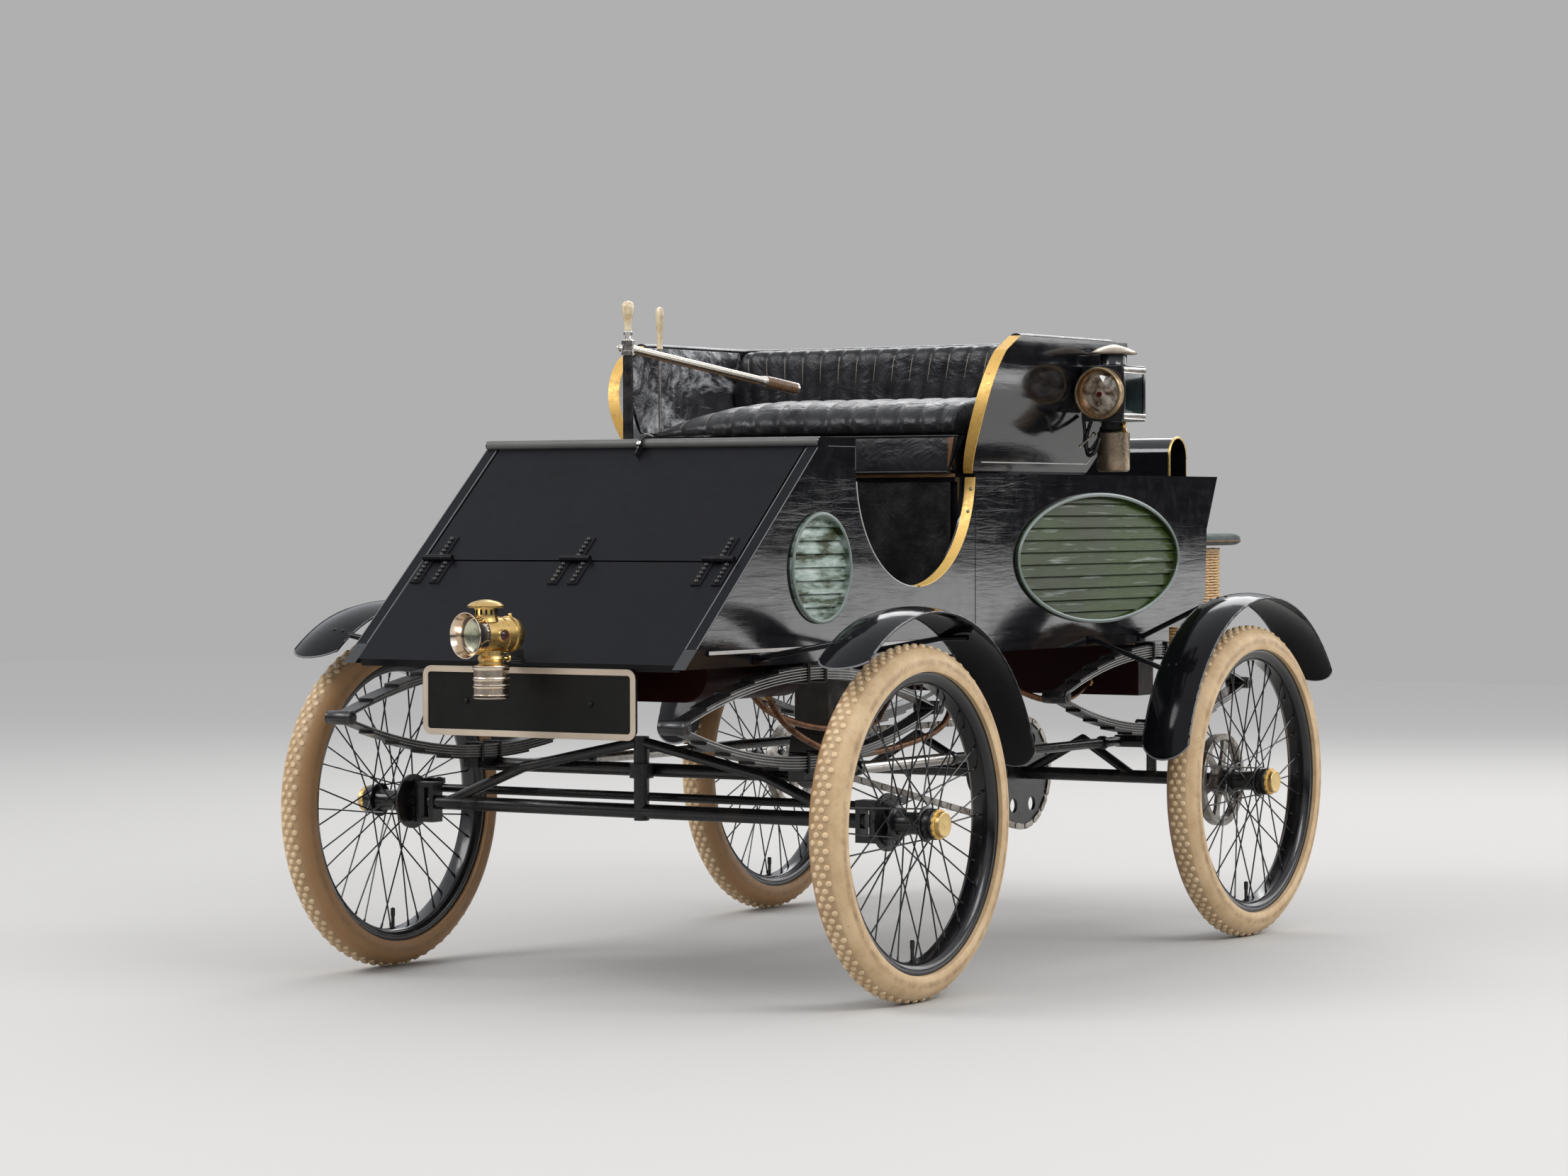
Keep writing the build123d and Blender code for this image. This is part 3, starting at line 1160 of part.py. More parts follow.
def number_plate():
    """Blank plate with its two bolt holes, on straps from the front rail."""
    z = PLATE_TOP_Z - PLATE_H / 2
    rim = 2 * PLATE_RIM_W
    face = Pos(PLATE_X, z) * RectangleRounded(PLATE_L, PLATE_H, PLATE_ROUND)
    inside = Pos(PLATE_X, z) * RectangleRounded(PLATE_L - rim, PLATE_H - rim, PLATE_ROUND - PLATE_RIM_W / 2)
    plate = along(face, PLATE_Y, PLATE_Y + PLATE_T) + along(face - inside, PLATE_Y - PLATE_RIM_T, PLATE_Y)
    for x in (PLATE_X - PLATE_HOLE_SPAN / 2, PLATE_X + PLATE_HOLE_SPAN / 2):
        plate += plate_strap(x, z)
        plate -= rod((x, PLATE_Y - PLATE_T, z), (x, PLATE_Y + 3 * PLATE_T, z), PLATE_HOLE_R)
    return plate


def plate_strap(x, z):
    """Bent strap from behind the plate's bolt hole back to the front rail and up to it."""
    x0, x1 = x - PLATE_STRAP_W / 2, x + PLATE_STRAP_W / 2
    front = PLATE_Y + PLATE_T
    rear = slope_inside(SILL_TOP) + 20
    top = z + PLATE_STRAP_W - PLATE_T
    strap = block(x0, x1, front, front + PLATE_T, z - PLATE_STRAP_W + PLATE_T, top)
    strap += block(x0, x1, front, rear, top - PLATE_T, top)
    return strap + block(x0, x1, rear - PLATE_T, rear, top - PLATE_T, SILL_Z)


def tiller_post():
    """Fixed column from the floor, bored for the tiller's shaft."""
    top = TILLER_Z - TILLER_HEAD_H / 2 - EAR_GAP
    post = rod((POST_X, POST_Y, SILL_TOP), (POST_X, POST_Y, top), POST_R)
    post += rod((POST_X, POST_Y, SILL_TOP + FLOOR_T), (POST_X, POST_Y, SILL_TOP + FLOOR_T + 12), POST_R + 16)
    return post - rod((POST_X, POST_Y, SILL_TOP + 20), (POST_X, POST_Y, top), TILLER_SHAFT_R + TILLER_FIT)


def tiller():
    """Shaft, head, upright handle and the long lever with its wooden grip."""
    a = math.radians(TILLER_ANGLE)
    reach = TILLER_L
    start = Vector(POST_X, POST_Y, TILLER_Z)
    end = start + Vector(reach * math.sin(a), reach * math.cos(a), -TILLER_DROP)
    direction = (end - start).normalized()
    grip_start = end - direction * GRIP_L
    part = rod((POST_X, POST_Y, SILL_TOP + 24), (POST_X, POST_Y, TILLER_Z), TILLER_SHAFT_R)
    part += Pos(POST_X, POST_Y, TILLER_Z) * Cylinder(POST_R + 3, TILLER_HEAD_H)
    part += rod(tuple(start), tuple(end), TILLER_R)
    part += rod(tuple(grip_start), tuple(end), GRIP_R)
    handle = polygon((0, 0), (7, 0), (7, 20), (14, 62), (13, 78), (7, 88), (0, 90))
    part += Pos(POST_X, POST_Y, TILLER_Z + 10) * revolve(Plane.XZ * handle, Axis.Z)
    return part


def throttle():
    """Small hand lever standing between the cushion and the right arm."""
    foot = THROTTLE_FOOT_Z
    part = rod((THROTTLE_X, THROTTLE_Y, foot), (THROTTLE_X, THROTTLE_Y, THROTTLE_GRIP_Z), THROTTLE_R)
    r, length = THROTTLE_GRIP_R, THROTTLE_TOP_Z - THROTTLE_GRIP_Z
    grip = polygon((0, 0), (r - 2, 0), (r - 4, 10), (r, length - 22), (r, length - 8), (r - 3, length),
                   (0, length))
    part += Pos(THROTTLE_X, THROTTLE_Y, THROTTLE_GRIP_Z) * revolve(Plane.XZ * grip, Axis.Z)
    return part - seat_shell()


# Machinery

def engine():
    x, y, w, d, z0, z1 = ENGINE
    crank_z = z0 + CRANK_R
    inner = SPROCKET_X - PINION_GAP
    crank = rod((x - w / 2, y, crank_z), (inner, y, crank_z), CRANK_R)
    crank += block(x - w / 2, inner, y - d / 2, y + d / 2, crank_z, z1)
    crank += block(x - w / 2, inner, SEAT_FRONT_Y + BOARD_T, y - d / 2 + 1, SILL_TOP + FLOOR_T + 20, z1 - 40)
    crank += rod((inner - 1, y, crank_z), (SPROCKET_X, y, crank_z), PINION_HUB_R)
    return crank + pinion()


def boiler():
    low, high = BOILER_Z
    shell = Pos(0, BOILER_Y, (low + high) / 2) * Cylinder(BOILER_R, high - low)
    flange_z = SILL_TOP + FLOOR_T + BOILER_FLANGE_T / 2
    flange = Pos(0, BOILER_Y, flange_z) * Cylinder(BOILER_FLANGE_R, BOILER_FLANGE_T)
    return shell + flange


def water_tank():
    return block(-TANK_HALF, TANK_HALF, TANK_Y[0], TANK_Y[1], TANK_Z[0], TANK_Z[1])


def fuel_tank():
    x0, x1, y0, y1, z0, z1 = FUEL_TANK
    tank = block(x0, x1, y0, y1, z0, z1)
    low = tank.edges().filter_by(Axis.Y).sort_by(Axis.Z)[:2]
    tank = fillet(low, FUEL_TANK_R)
    for y in (y0 + TANK_STRAP_INSET, y1 - TANK_STRAP_INSET):
        half = TANK_STRAP_W / 2
        tank += block(x0 + TANK_STRAP_INSET, x1 - TANK_STRAP_INSET, y - half, y + half, z1, SILL_TOP)
    return tank


def trims():
    """Thin brass facings on the fronts of the seat arms."""
    shell_front = seat_shell()
    shell = Pos(0, -TRIM_T, 0) * shell_front
    front = shell - shell_front
    belly, top = ARM_FRONT[1], ARM_FRONT[3]
    span = SEAT_TOP_HALF + TRIM_T
    zone = block(-span, span, belly[0] - 2 * TRIM_T, top[0] + SEAT_WALL, DECK_Z, SEAT_TOP_Z + TRIM_T)
    solids = [s for s in (front & zone).solids() if s.volume > 500]
    return solids


def main():
    os.makedirs("parts", exist_ok=True)
    wheels()
    save("front_axle", front_axle())
    knuckles()
    save("tie_rod", tie_rod())
    save("rear_axle", rear_axle())
    save("chain", chain())
    save("perch_frame", perch_frame())
    springs()
    save("sill_frame", sill_frame())
    save("floor", floor())
    sides()
    vents()
    save("ledge", ledge())
    lid()
    save("tail", tail())
    save("deck", deck())
    save("seat_box", seat_box())
    save("seat_shell", seat_shell())
    cushions()
    save("tunnel_hood", tunnel_hood())
    save("hamper", hamper())
    save("hamper_lid", hamper_lid())
    save("hamper_rack", hamper_rack())
    guards()
    save("front_lamp", front_lamp())
    side_lamps()
    save("number_plate", number_plate())
    save("tiller_post", tiller_post())
    save("tiller", tiller())
    save("throttle", throttle())
    save("engine", engine())
    save("boiler", boiler())
    save("tanks", water_tank(), fuel_tank())
    save("arm_trims", *trims())


main()
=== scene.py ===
"""Looks of the light steam runabout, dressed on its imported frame.

Lengths are in millimetres. X is across the car with its left at +X, Z is up from the ground, and
stations along Y are counted from the front axle. Piece.make turns them into the frame's metres.
"""

import itertools
import logging
import math
from dataclasses import dataclass
from enum import Enum
from typing import Iterable, Optional, Sequence

import bmesh
import bpy
from mathutils import Matrix, Vector, noise


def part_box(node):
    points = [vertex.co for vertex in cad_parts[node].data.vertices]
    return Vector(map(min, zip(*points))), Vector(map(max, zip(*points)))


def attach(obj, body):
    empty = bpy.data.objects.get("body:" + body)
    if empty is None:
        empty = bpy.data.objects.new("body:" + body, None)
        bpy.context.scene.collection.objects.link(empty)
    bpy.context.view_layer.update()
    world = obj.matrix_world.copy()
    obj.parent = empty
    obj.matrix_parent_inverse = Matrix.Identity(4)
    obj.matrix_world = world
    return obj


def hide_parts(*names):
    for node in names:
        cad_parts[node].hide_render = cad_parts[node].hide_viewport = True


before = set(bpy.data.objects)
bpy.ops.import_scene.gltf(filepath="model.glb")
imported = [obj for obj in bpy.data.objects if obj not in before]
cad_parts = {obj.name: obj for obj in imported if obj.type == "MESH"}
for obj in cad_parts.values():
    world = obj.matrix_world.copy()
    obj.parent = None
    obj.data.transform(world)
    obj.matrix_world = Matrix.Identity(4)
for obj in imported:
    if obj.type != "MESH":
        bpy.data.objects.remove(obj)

log = logging.getLogger("runabout")

MM = 0.001
Point = tuple[float, float, float]
Flat = tuple[float, float]
Colour = tuple[float, float, float]
Socket = bpy.types.NodeSocket

# Sockets of the mix node by number: its factor, its two colours and the mixed one.
MIX_FACTOR, MIX_LOW, MIX_HIGH, MIX_COLOUR = 0, 6, 7, 2
EVEN: Point = (1.0, 1.0, 1.0)
ORIGIN: Point = (0.0, 0.0, 0.0)
ACROSS: Point = (1.0, 0.0, 0.0)
REARWARD: Point = (0.0, 1.0, 0.0)
UP: Point = (0.0, 0.0, 1.0)


def centre_of(node: str) -> Vector:
    """Middle of a node's box, in metres."""
    low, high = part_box(node)
    return (low + high) / 2


FRONT_AXLE = centre_of("tyre_front_left")
REAR_AXLE = centre_of("tyre_rear_left")
WHEELBASE = (REAR_AXLE.y - FRONT_AXLE.y) / MM
HALF_TRACK = FRONT_AXLE.x / MM
WHEEL_R = FRONT_AXLE.z / MM


def to_frame(point: Sequence[float]) -> Vector:
    """Turns a point in the car's own stations into the frame.

    Args:
        point: x, y and z in millimetres, y counted from the front axle.

    Returns:
        The same point in the frame, in metres.
    """
    return Vector((point[0] * MM, FRONT_AXLE.y + point[1] * MM, point[2] * MM))


def from_frame(point: Vector) -> Point:
    """The stations, in millimetres, of a point in the frame."""
    return (point.x / MM, (point.y - FRONT_AXLE.y) / MM, point.z / MM)


class Side(Enum):
    """The two sides of the car, by the sign of X."""

    LEFT = 1
    RIGHT = -1


class End(Enum):
    """The two axles."""

    FRONT = "front"
    REAR = "rear"

    @property
    def station(self) -> float:
        """Station of the axle."""
        return 0.0 if self is End.FRONT else WHEELBASE


class Nodes:
    """Adds nodes to a tree and joins them."""

    def __init__(self, tree: bpy.types.NodeTree) -> None:
        """Starts with a tree."""
        self.tree = tree

    def feed(self, target: Socket, value: object) -> None:
        """Links a socket to the one that feeds it, or sets it to a plain value.

        Args:
            target: Socket to feed.
            value: Another socket, or the value.
        """
        if isinstance(value, Socket):
            self.tree.links.new(value, target)
        else:
            target.default_value = value

    def add(self, kind: str, inputs: Optional[dict[object, object]] = None,
            **settings: object) -> bpy.types.Node:
        """Adds a node.

        Args:
            kind: Blender's name of the node's type.
            inputs: Sockets by name or number, with what feeds them.
            settings: Properties of the node.

        Returns:
            The node.
        """
        node = self.tree.nodes.new(kind)
        for key, value in settings.items():
            setattr(node, key, value)
        for key, value in (inputs or {}).items():
            self.feed(node.inputs[key], value)
        return node

    def ramp(self, fac: Socket, stops: Sequence[tuple[float, Colour]]) -> Socket:
        """Colour ramp over a factor.

        Args:
            fac: Factor.
            stops: Positions and their colours, from low to high.

        Returns:
            The ramp's colour.
        """
        node = self.add("ShaderNodeValToRGB", {"Fac": fac})
        band = node.color_ramp
        while len(band.elements) < len(stops):
            band.elements.new(0.5)
        for element, (position, colour) in zip(band.elements, stops):
            element.position = position
            element.color = (*colour, 1.0)
        return node.outputs["Color"]

    def blend(self, fac: Socket, low: object, high: object) -> Socket:
        """Mixes two colours.

        Args:
            fac: Share of the second colour.
            low: First colour, a socket or a plain one.
            high: Second colour, the same.

        Returns:
            The mixed colour.
        """
        node = self.add("ShaderNodeMix", {MIX_FACTOR: fac}, data_type="RGBA")
        for index, value in ((MIX_LOW, low), (MIX_HIGH, high)):
            self.feed(node.inputs[index], value if isinstance(value, Socket) else (*value, 1.0))
        return node.outputs[MIX_COLOUR]


class Graph(Nodes):
    """Builds the nodes of one material."""

    def __init__(self, name: str) -> None:
        """Starts a material with a plain shader.

        Args:
            name: Name of the material.
        """
        self.material = bpy.data.materials.new(name)
        self.material.use_nodes = True
        super().__init__(self.material.node_tree)
        self.shader = self.tree.nodes["Principled BSDF"]

    def set(self, **values: object) -> None:
        """Feeds the shader's own sockets, with underscores for the spaces in their names."""
        for key, value in values.items():
            self.feed(self.shader.inputs[key.replace("_", " ")], value)

    def own_place(self) -> Socket:
        """Place on the object, in its own coordinates."""
        return self.add("ShaderNodeTexCoord").outputs["Object"]

    def coords(self, stretch: Point) -> Socket:
        """Object coordinates, with each axis scaled."""
        return self.add("ShaderNodeMapping", {"Vector": self.own_place(), "Scale": stretch}).outputs["Vector"]

    def noise(self, scale: float, detail: float = 4.0, rough: float = 0.55, stretch: Point = EVEN,
              warp: float = 0.0) -> Socket:
        """Noise over the surface.

        Args:
            scale: Fineness of the pattern.
            detail: Layers of finer noise.
            rough: Strength of the finer layers.
            stretch: Scale of each axis, lower where the marks are longer.
            warp: Distortion.

        Returns:
            A factor from 0 to 1.
        """
        return self.add("ShaderNodeTexNoise", {
            "Vector": self.coords(stretch), "Scale": scale, "Detail": detail, "Roughness": rough,
            "Distortion": warp}).outputs["Fac"]

    def cells(self, scale: float, feature: str = "F1") -> Socket:
        """Distance to the cells of a Voronoi pattern, or to the lines between them."""
        return self.add("ShaderNodeTexVoronoi", {"Vector": self.coords(EVEN), "Scale": scale},
                        feature=feature).outputs["Distance"]

    def fade(self, fac: Socket, low: float, high: float, start: float = 0.0, stop: float = 1.0) -> Socket:
        """Maps a factor from one range to another, clamped.

        Args:
            fac: Factor.
            low: Where the first range starts.
            high: Where it stops.
            start: Where the second range starts.
            stop: Where it stops.

        Returns:
            The factor in the second range.
        """
        return self.add("ShaderNodeMapRange", {"Value": fac, "From Min": low, "From Max": high,
                                               "To Min": start, "To Max": stop}).outputs["Result"]

    def sums(self, operation: str, first: Socket, second: object = 0.0) -> Socket:
        """Arithmetic on two factors, each a socket or a number."""
        return self.add("ShaderNodeMath", {0: first, 1: second}, operation=operation).outputs[0]

    def product(self, first: Socket, second: object) -> Socket:
        """Two factors multiplied."""
        return self.sums("MULTIPLY", first, second)

    def bump(self, height: Socket, depth: float, strength: float, below: Optional[Socket] = None) -> Socket:
        """Bump over the surface or over an earlier bump.

        Args:
            height: Factor of the height.
            depth: Depth in metres.
            strength: How strongly it shows.
            below: Normal of the earlier bump, if there is one.

        Returns:
            The new normal.
        """
        inputs = {"Height": height, "Distance": depth, "Strength": strength}
        if below is not None:
            inputs["Normal"] = below
        return self.add("ShaderNodeBump", inputs).outputs["Normal"]

    def radius(self) -> Socket:
        """Distance from the object's own X axis, in metres."""
        flat = self.add("ShaderNodeVectorMath", {0: self.own_place(), 1: (0.0, 1.0, 1.0)}, operation="MULTIPLY")
        return self.add("ShaderNodeVectorMath", {0: flat.outputs[0]}, operation="LENGTH").outputs["Value"]

    def place(self, axis: str) -> Socket:
        """Place along one of the object's own axes, in metres."""
        return self.add("ShaderNodeSeparateXYZ", {0: self.own_place()}).outputs[axis]

    def edges(self, width: float) -> Socket:
        """Factor that is high on sharp edges.

        Args:
            width: How far in from the edge it reaches, in metres.

        Returns:
            The factor.
        """
        bevel = self.add("ShaderNodeBevel", {"Radius": width}, samples=4)
        plain = self.add("ShaderNodeNewGeometry")
        dot = self.add("ShaderNodeVectorMath", {0: bevel.outputs["Normal"], 1: plain.outputs["Normal"]},
                       operation="DOT_PRODUCT")
        return self.fade(dot.outputs["Value"], 1.0, 0.9)


def lighter(colour: Colour, times: float) -> Colour:
    """A colour with each part multiplied."""
    return tuple(part * times for part in colour)


class Finish:
    """A surface finish, which makes its material once."""

    made: dict[str, bpy.types.Material] = {}
    name: str
    slot: str

    def material(self) -> bpy.types.Material:
        """Makes the finish's material at its first use.

        Returns:
            The material.
        """
        if self.name not in Finish.made:
            graph = Graph(self.name)
            self.build(graph)
            Finish.made[self.name] = graph.material
        return Finish.made[self.name]

    def build(self, graph: Graph) -> None:
        """Adds the nodes of the finish."""
        raise NotImplementedError


@dataclass(frozen=True)
class CoachPaint(Finish):
    """Hand-brushed gloss paint, whose brush marks break up its reflections in patches.

    Attributes:
        waves: Depth of the brush marks in metres.
        grain: Stretch of the marks along X, Y and Z.
        index: Index of refraction, lower where the paint is duller.
        coat: Strength of the varnish's reflection.
    """

    name: str
    slot: str
    colour: Colour = (0.004, 0.004, 0.005)
    roughness: float = 0.09
    waves: float = 0.0005
    grain: Point = (2.0, 0.8, 9.0)
    index: float = 1.5
    coat: float = 0.3

    def build(self, graph: Graph) -> None:
        """Adds long waves, patches of brush marks and a little dust.

        Args:
            graph: Nodes of the material.
        """
        marks = graph.noise(9.0, 6.0, 0.62, self.grain, 0.5)
        patch = graph.fade(graph.noise(3.1, 3.0, 0.5, (1.0, 0.7, 1.7)), 0.4, 0.62, 0.12, 1.0)
        dust = graph.noise(22.0, 6.0, 0.7)
        long = graph.bump(graph.noise(4.0, 2.0, 0.4, (1.0, 0.6, 1.8)), self.waves * 5.0, 0.7)
        graph.set(IOR=self.index, Coat_Weight=self.coat, Coat_Roughness=0.05,
                  Base_Color=graph.ramp(marks, ((0.35, self.colour), (0.7, lighter(self.colour, 1.8)))),
                  Roughness=graph.fade(dust, 0.35, 0.75, self.roughness * 0.6, self.roughness * 1.9),
                  Normal=graph.bump(graph.product(marks, patch), self.waves, 0.9, long))


@dataclass(frozen=True)
class SlatReflections(Finish):
    """Louvres painted with reflections: olive and moss green for the lawn they mirror, pale clouds and white
    streaks for the sky, and paler on the front pair.

    Attributes:
        divide: Station in metres before which the painted reflection is the pale one.
    """

    name: str = "slat_reflections"
    slot: str = "body_black"
    olive: Colour = (0.034, 0.044, 0.018)
    moss: Colour = (0.034, 0.058, 0.012)
    pale: Colour = (0.2, 0.26, 0.22)
    reflected_white: Colour = (0.46, 0.52, 0.49)
    divide: float = -0.2

    def build(self, graph: Graph) -> None:
        """Adds painted reflections: green in clouds for the lawn, with pale clouds and white streaks along the
        slats for the sky.

        Args:
            graph: Nodes of the material.
        """
        # Painted reflection: the greens stand for the lawn, and the pale and white clouds and streaks for the sky
        # that the slats mirror.
        marks = graph.noise(15.0, 4.0, 0.6, (0.15, 0.35, 7.0))
        lawn_reflection = graph.blend(graph.fade(graph.noise(4.0, 2.0), 0.4, 0.6), self.olive, self.moss)
        clouds = graph.noise(16.0, 4.0, 0.6, (0.3, 0.6, 2.5))
        sky_reflection = graph.ramp(clouds, ((0.4, self.olive), (0.5, self.pale), (0.68, self.reflected_white)))
        front = graph.fade(graph.place("Y"), self.divide, self.divide - 0.02)
        streak = graph.fade(marks, 0.57, 0.7, 0.0, 0.42)
        graph.set(IOR=1.2, Specular_IOR_Level=0.22,
                  Base_Color=graph.blend(streak, graph.blend(front, lawn_reflection, sky_reflection), self.reflected_white),
                  Roughness=graph.fade(marks, 0.3, 0.7, 0.14, 0.4),
                  Normal=graph.bump(marks, 0.0005, 0.8))


@dataclass(frozen=True)
class SatinPaint(Finish):
    """Smooth satin paint with faint cloudiness and lighter edges: rubbed wear, and on the vent rims a painted
    highlight.

    Attributes:
        edge: Colour where the edges are rubbed; on the vent rims it is a painted highlight.
        edge_width: Width of the rubbed edges in metres.
        orange: Depth of the sprayed surface's fine bumps in metres.
        index: Index of refraction, lower where the paint is duller.
    """

    name: str
    slot: str
    colour: Colour = (0.012, 0.013, 0.017)
    roughness: float = 0.36
    edge: Colour = (0.05, 0.05, 0.055)
    edge_width: float = 0.0015
    orange: float = 0.00006
    index: float = 1.45

    def build(self, graph: Graph) -> None:
        """Adds a cloudy colour, lighter on the edges: rubbed wear, and on the vent rims a painted highlight.

        Args:
            graph: Nodes of the material.
        """
        clouds = graph.ramp(graph.noise(7.0, 5.0, 0.6), ((0.3, self.colour), (0.75, lighter(self.colour, 1.35))))
        rubbed_and_sheen = graph.product(graph.edges(self.edge_width), graph.noise(60.0, 4.0, 0.7))
        patch = graph.noise(40.0, 5.0, 0.65)
        graph.set(IOR=self.index, Base_Color=graph.blend(rubbed_and_sheen, clouds, self.edge),
                  Roughness=graph.fade(patch, 0.3, 0.75, self.roughness * 0.8, self.roughness * 1.25),
                  Normal=graph.bump(graph.noise(260.0, 3.0), self.orange, 0.6))


@dataclass(frozen=True)
class IronPaint(Finish):
    """Thick black paint on forgings and tubes, with dull patches and brown dust."""

    name: str
    slot: str
    colour: Colour = (0.008, 0.008, 0.009)
    roughness: float = 0.2
    dust: Colour = (0.045, 0.033, 0.022)

    def build(self, graph: Graph) -> None:
        """Adds gloss black with dust in patches.

        Args:
            graph: Nodes of the material.
        """
        dusty = graph.fade(graph.noise(14.0, 6.0, 0.7), 0.52, 0.78)
        patch = graph.noise(30.0, 5.0, 0.6)
        graph.set(IOR=1.5, Base_Color=graph.blend(dusty, self.colour, self.dust),
                  Roughness=graph.fade(patch, 0.3, 0.8, self.roughness * 0.7, self.roughness * 2.4),
                  Normal=graph.bump(graph.noise(90.0, 4.0), 0.00025, 0.5))


@dataclass(frozen=True)
class CreamRubber(Finish):
    """Old cream rubber, browner on the wall that faces the car and on the tread between the studs, both as painted
    shade, and in a band round both walls.

    Attributes:
        band_r: Middle of the band round the wall, in metres from the axle.
        band_half: Half of its width in metres.
        inside: Sign of X on the wall that faces the car, which is browned as painted shade, or 0 where neither is
            browner.
        tread_shade: How brown the tread is between its studs, as painted shade.
    """

    name: str = "cream_rubber"
    slot: str = "tyre_cream"
    pale: Colour = (0.62, 0.445, 0.26)
    tan: Colour = (0.43, 0.28, 0.14)
    brown: Colour = (0.20, 0.125, 0.065)
    band_r: float = 0.3195
    band_half: float = 0.009
    inner_wall_shade: Colour = (0.33, 0.17, 0.068)
    inside: float = 0.0
    tread_shade: float = 0.35

    def build(self, graph: Graph) -> None:
        """Adds cream with clouds, brown painted shade on the inner wall and the tread, a brown band, and dark
        specks.

        Args:
            graph: Nodes of the material.
        """
        clean = graph.ramp(graph.noise(16.0, 7.0, 0.65, warp=0.3), ((0.25, self.tan), (0.62, self.pale)))
        # Painted shade: the wall that faces the car, which lies in shade, is browner.
        inward = graph.product(graph.place("X"), self.inside)
        walls = graph.blend(graph.fade(inward, 0.006, 0.026, 0.0, 0.85), clean, self.inner_wall_shade)
        across = graph.sums("ABSOLUTE", graph.place("X"))
        # Painted shade: the tread between the studs is browner.
        base = graph.blend(graph.fade(across, 0.024, 0.016, 0.0, self.tread_shade), walls, self.brown)
        away = graph.sums("ABSOLUTE", graph.sums("SUBTRACT", graph.radius(), self.band_r))
        rubbed_and_sheen = graph.fade(graph.noise(34.0, 6.0, 0.7), 0.38, 0.7, 0.1, 0.85)
        band = graph.product(graph.fade(away, self.band_half, 0.002), rubbed_and_sheen)
        banded = graph.blend(band, base, self.brown)
        specks = graph.product(graph.fade(graph.noise(120.0, 3.0, 0.7), 0.62, 0.75), 0.55)
        fine = graph.bump(graph.noise(420.0, 4.0, 0.6), 0.00022, 0.7)
        graph.set(IOR=1.45, Subsurface_Weight=0.03, Subsurface_Radius=(0.01, 0.005, 0.003),
                  Base_Color=graph.blend(specks, banded, self.brown),
                  Roughness=graph.fade(graph.noise(50.0, 5.0), 0.3, 0.75, 0.42, 0.72),
                  Normal=graph.bump(graph.noise(45.0, 5.0, 0.6), 0.0006, 0.5, fine))


@dataclass(frozen=True)
class Metal(Finish):
    """Bare or plated metal with tarnish in patches.

    Attributes:
        tarnish: Colour of the dull patches.
        share: How much of the surface is tarnished, from 0 to 1.
        hammered: Depth of the surface's unevenness in metres.
        metallic: Below 1 for metal dulled under old lacquer.
    """

    name: str
    slot: str
    colour: Colour
    tarnish: Colour
    share: float = 0.4
    roughness: float = 0.22
    hammered: float = 0.00008
    metallic: float = 1.0

    def build(self, graph: Graph) -> None:
        """Adds metal, duller and rougher where it is tarnished.

        Args:
            graph: Nodes of the material.
        """
        dull = graph.fade(graph.noise(38.0, 7.0, 0.7, warp=0.5), 0.72 - 0.5 * self.share, 0.86 - 0.35 * self.share)
        fine = graph.noise(160.0, 4.0, 0.7)
        rough = graph.fade(fine, 0.3, 0.8, self.roughness * 0.7, self.roughness * 1.4)
        grained = graph.bump(fine, self.hammered, 0.5)
        graph.set(Metallic=self.metallic, Base_Color=graph.blend(dull, self.colour, self.tarnish),
                  Roughness=graph.sums("ADD", rough, graph.product(dull, 0.22)),
                  Normal=graph.bump(graph.noise(24.0, 3.0), self.hammered * 3.0, 0.5, grained))


@dataclass(frozen=True)
class Leather(Finish):
    """Old black leather with grain, creases and a second colour in streaks: brown where it is worn, and on the arm
    linings a pale painted sheen.

    Attributes:
        worn: Colour where it is worn through; on the arm linings it is the pale grey of the painted sheen.
        wear_and_sheen: Share of the surface that is worn through; on the arm linings, the share that carries the
            painted sheen.
        crease: Depth of the broad creases in metres.
    """

    name: str
    slot: str = "leather_black"
    colour: Colour = (0.014, 0.014, 0.016)
    worn: Colour = (0.15, 0.105, 0.062)
    wear_and_sheen: float = 0.25
    roughness: float = 0.36
    crease: float = 0.0035

    def build(self, graph: Graph) -> None:
        """Adds leather with fine grain over broad creases.

        Args:
            graph: Nodes of the material.
        """
        streak = graph.noise(9.0, 6.0, 0.7, (1.6, 0.5, 1.0), 1.2)
        # On the arm linings this mask lays painted sheen; on the other leathers it marks wear.
        rubbed_and_sheen = graph.fade(streak, 0.78 - 0.25 * self.wear_and_sheen, 0.9 - 0.15 * self.wear_and_sheen)
        grey = graph.ramp(graph.noise(20.0, 5.0, 0.6), ((0.3, self.colour), (0.8, lighter(self.colour, 2.4))))
        patch = graph.noise(26.0, 6.0, 0.65)
        broad = graph.bump(graph.noise(13.0, 5.0, warp=0.8), self.crease, 0.7)
        lines = graph.bump(graph.cells(95.0, "DISTANCE_TO_EDGE"), 0.0006, 0.35, broad)
        graph.set(IOR=1.36, Sheen_Weight=0.02, Base_Color=graph.blend(rubbed_and_sheen, grey, self.worn),
                  Roughness=graph.fade(patch, 0.3, 0.75, self.roughness * 0.65, self.roughness * 1.5),
                  Normal=graph.bump(graph.cells(520.0), 0.0002, 0.45, lines))


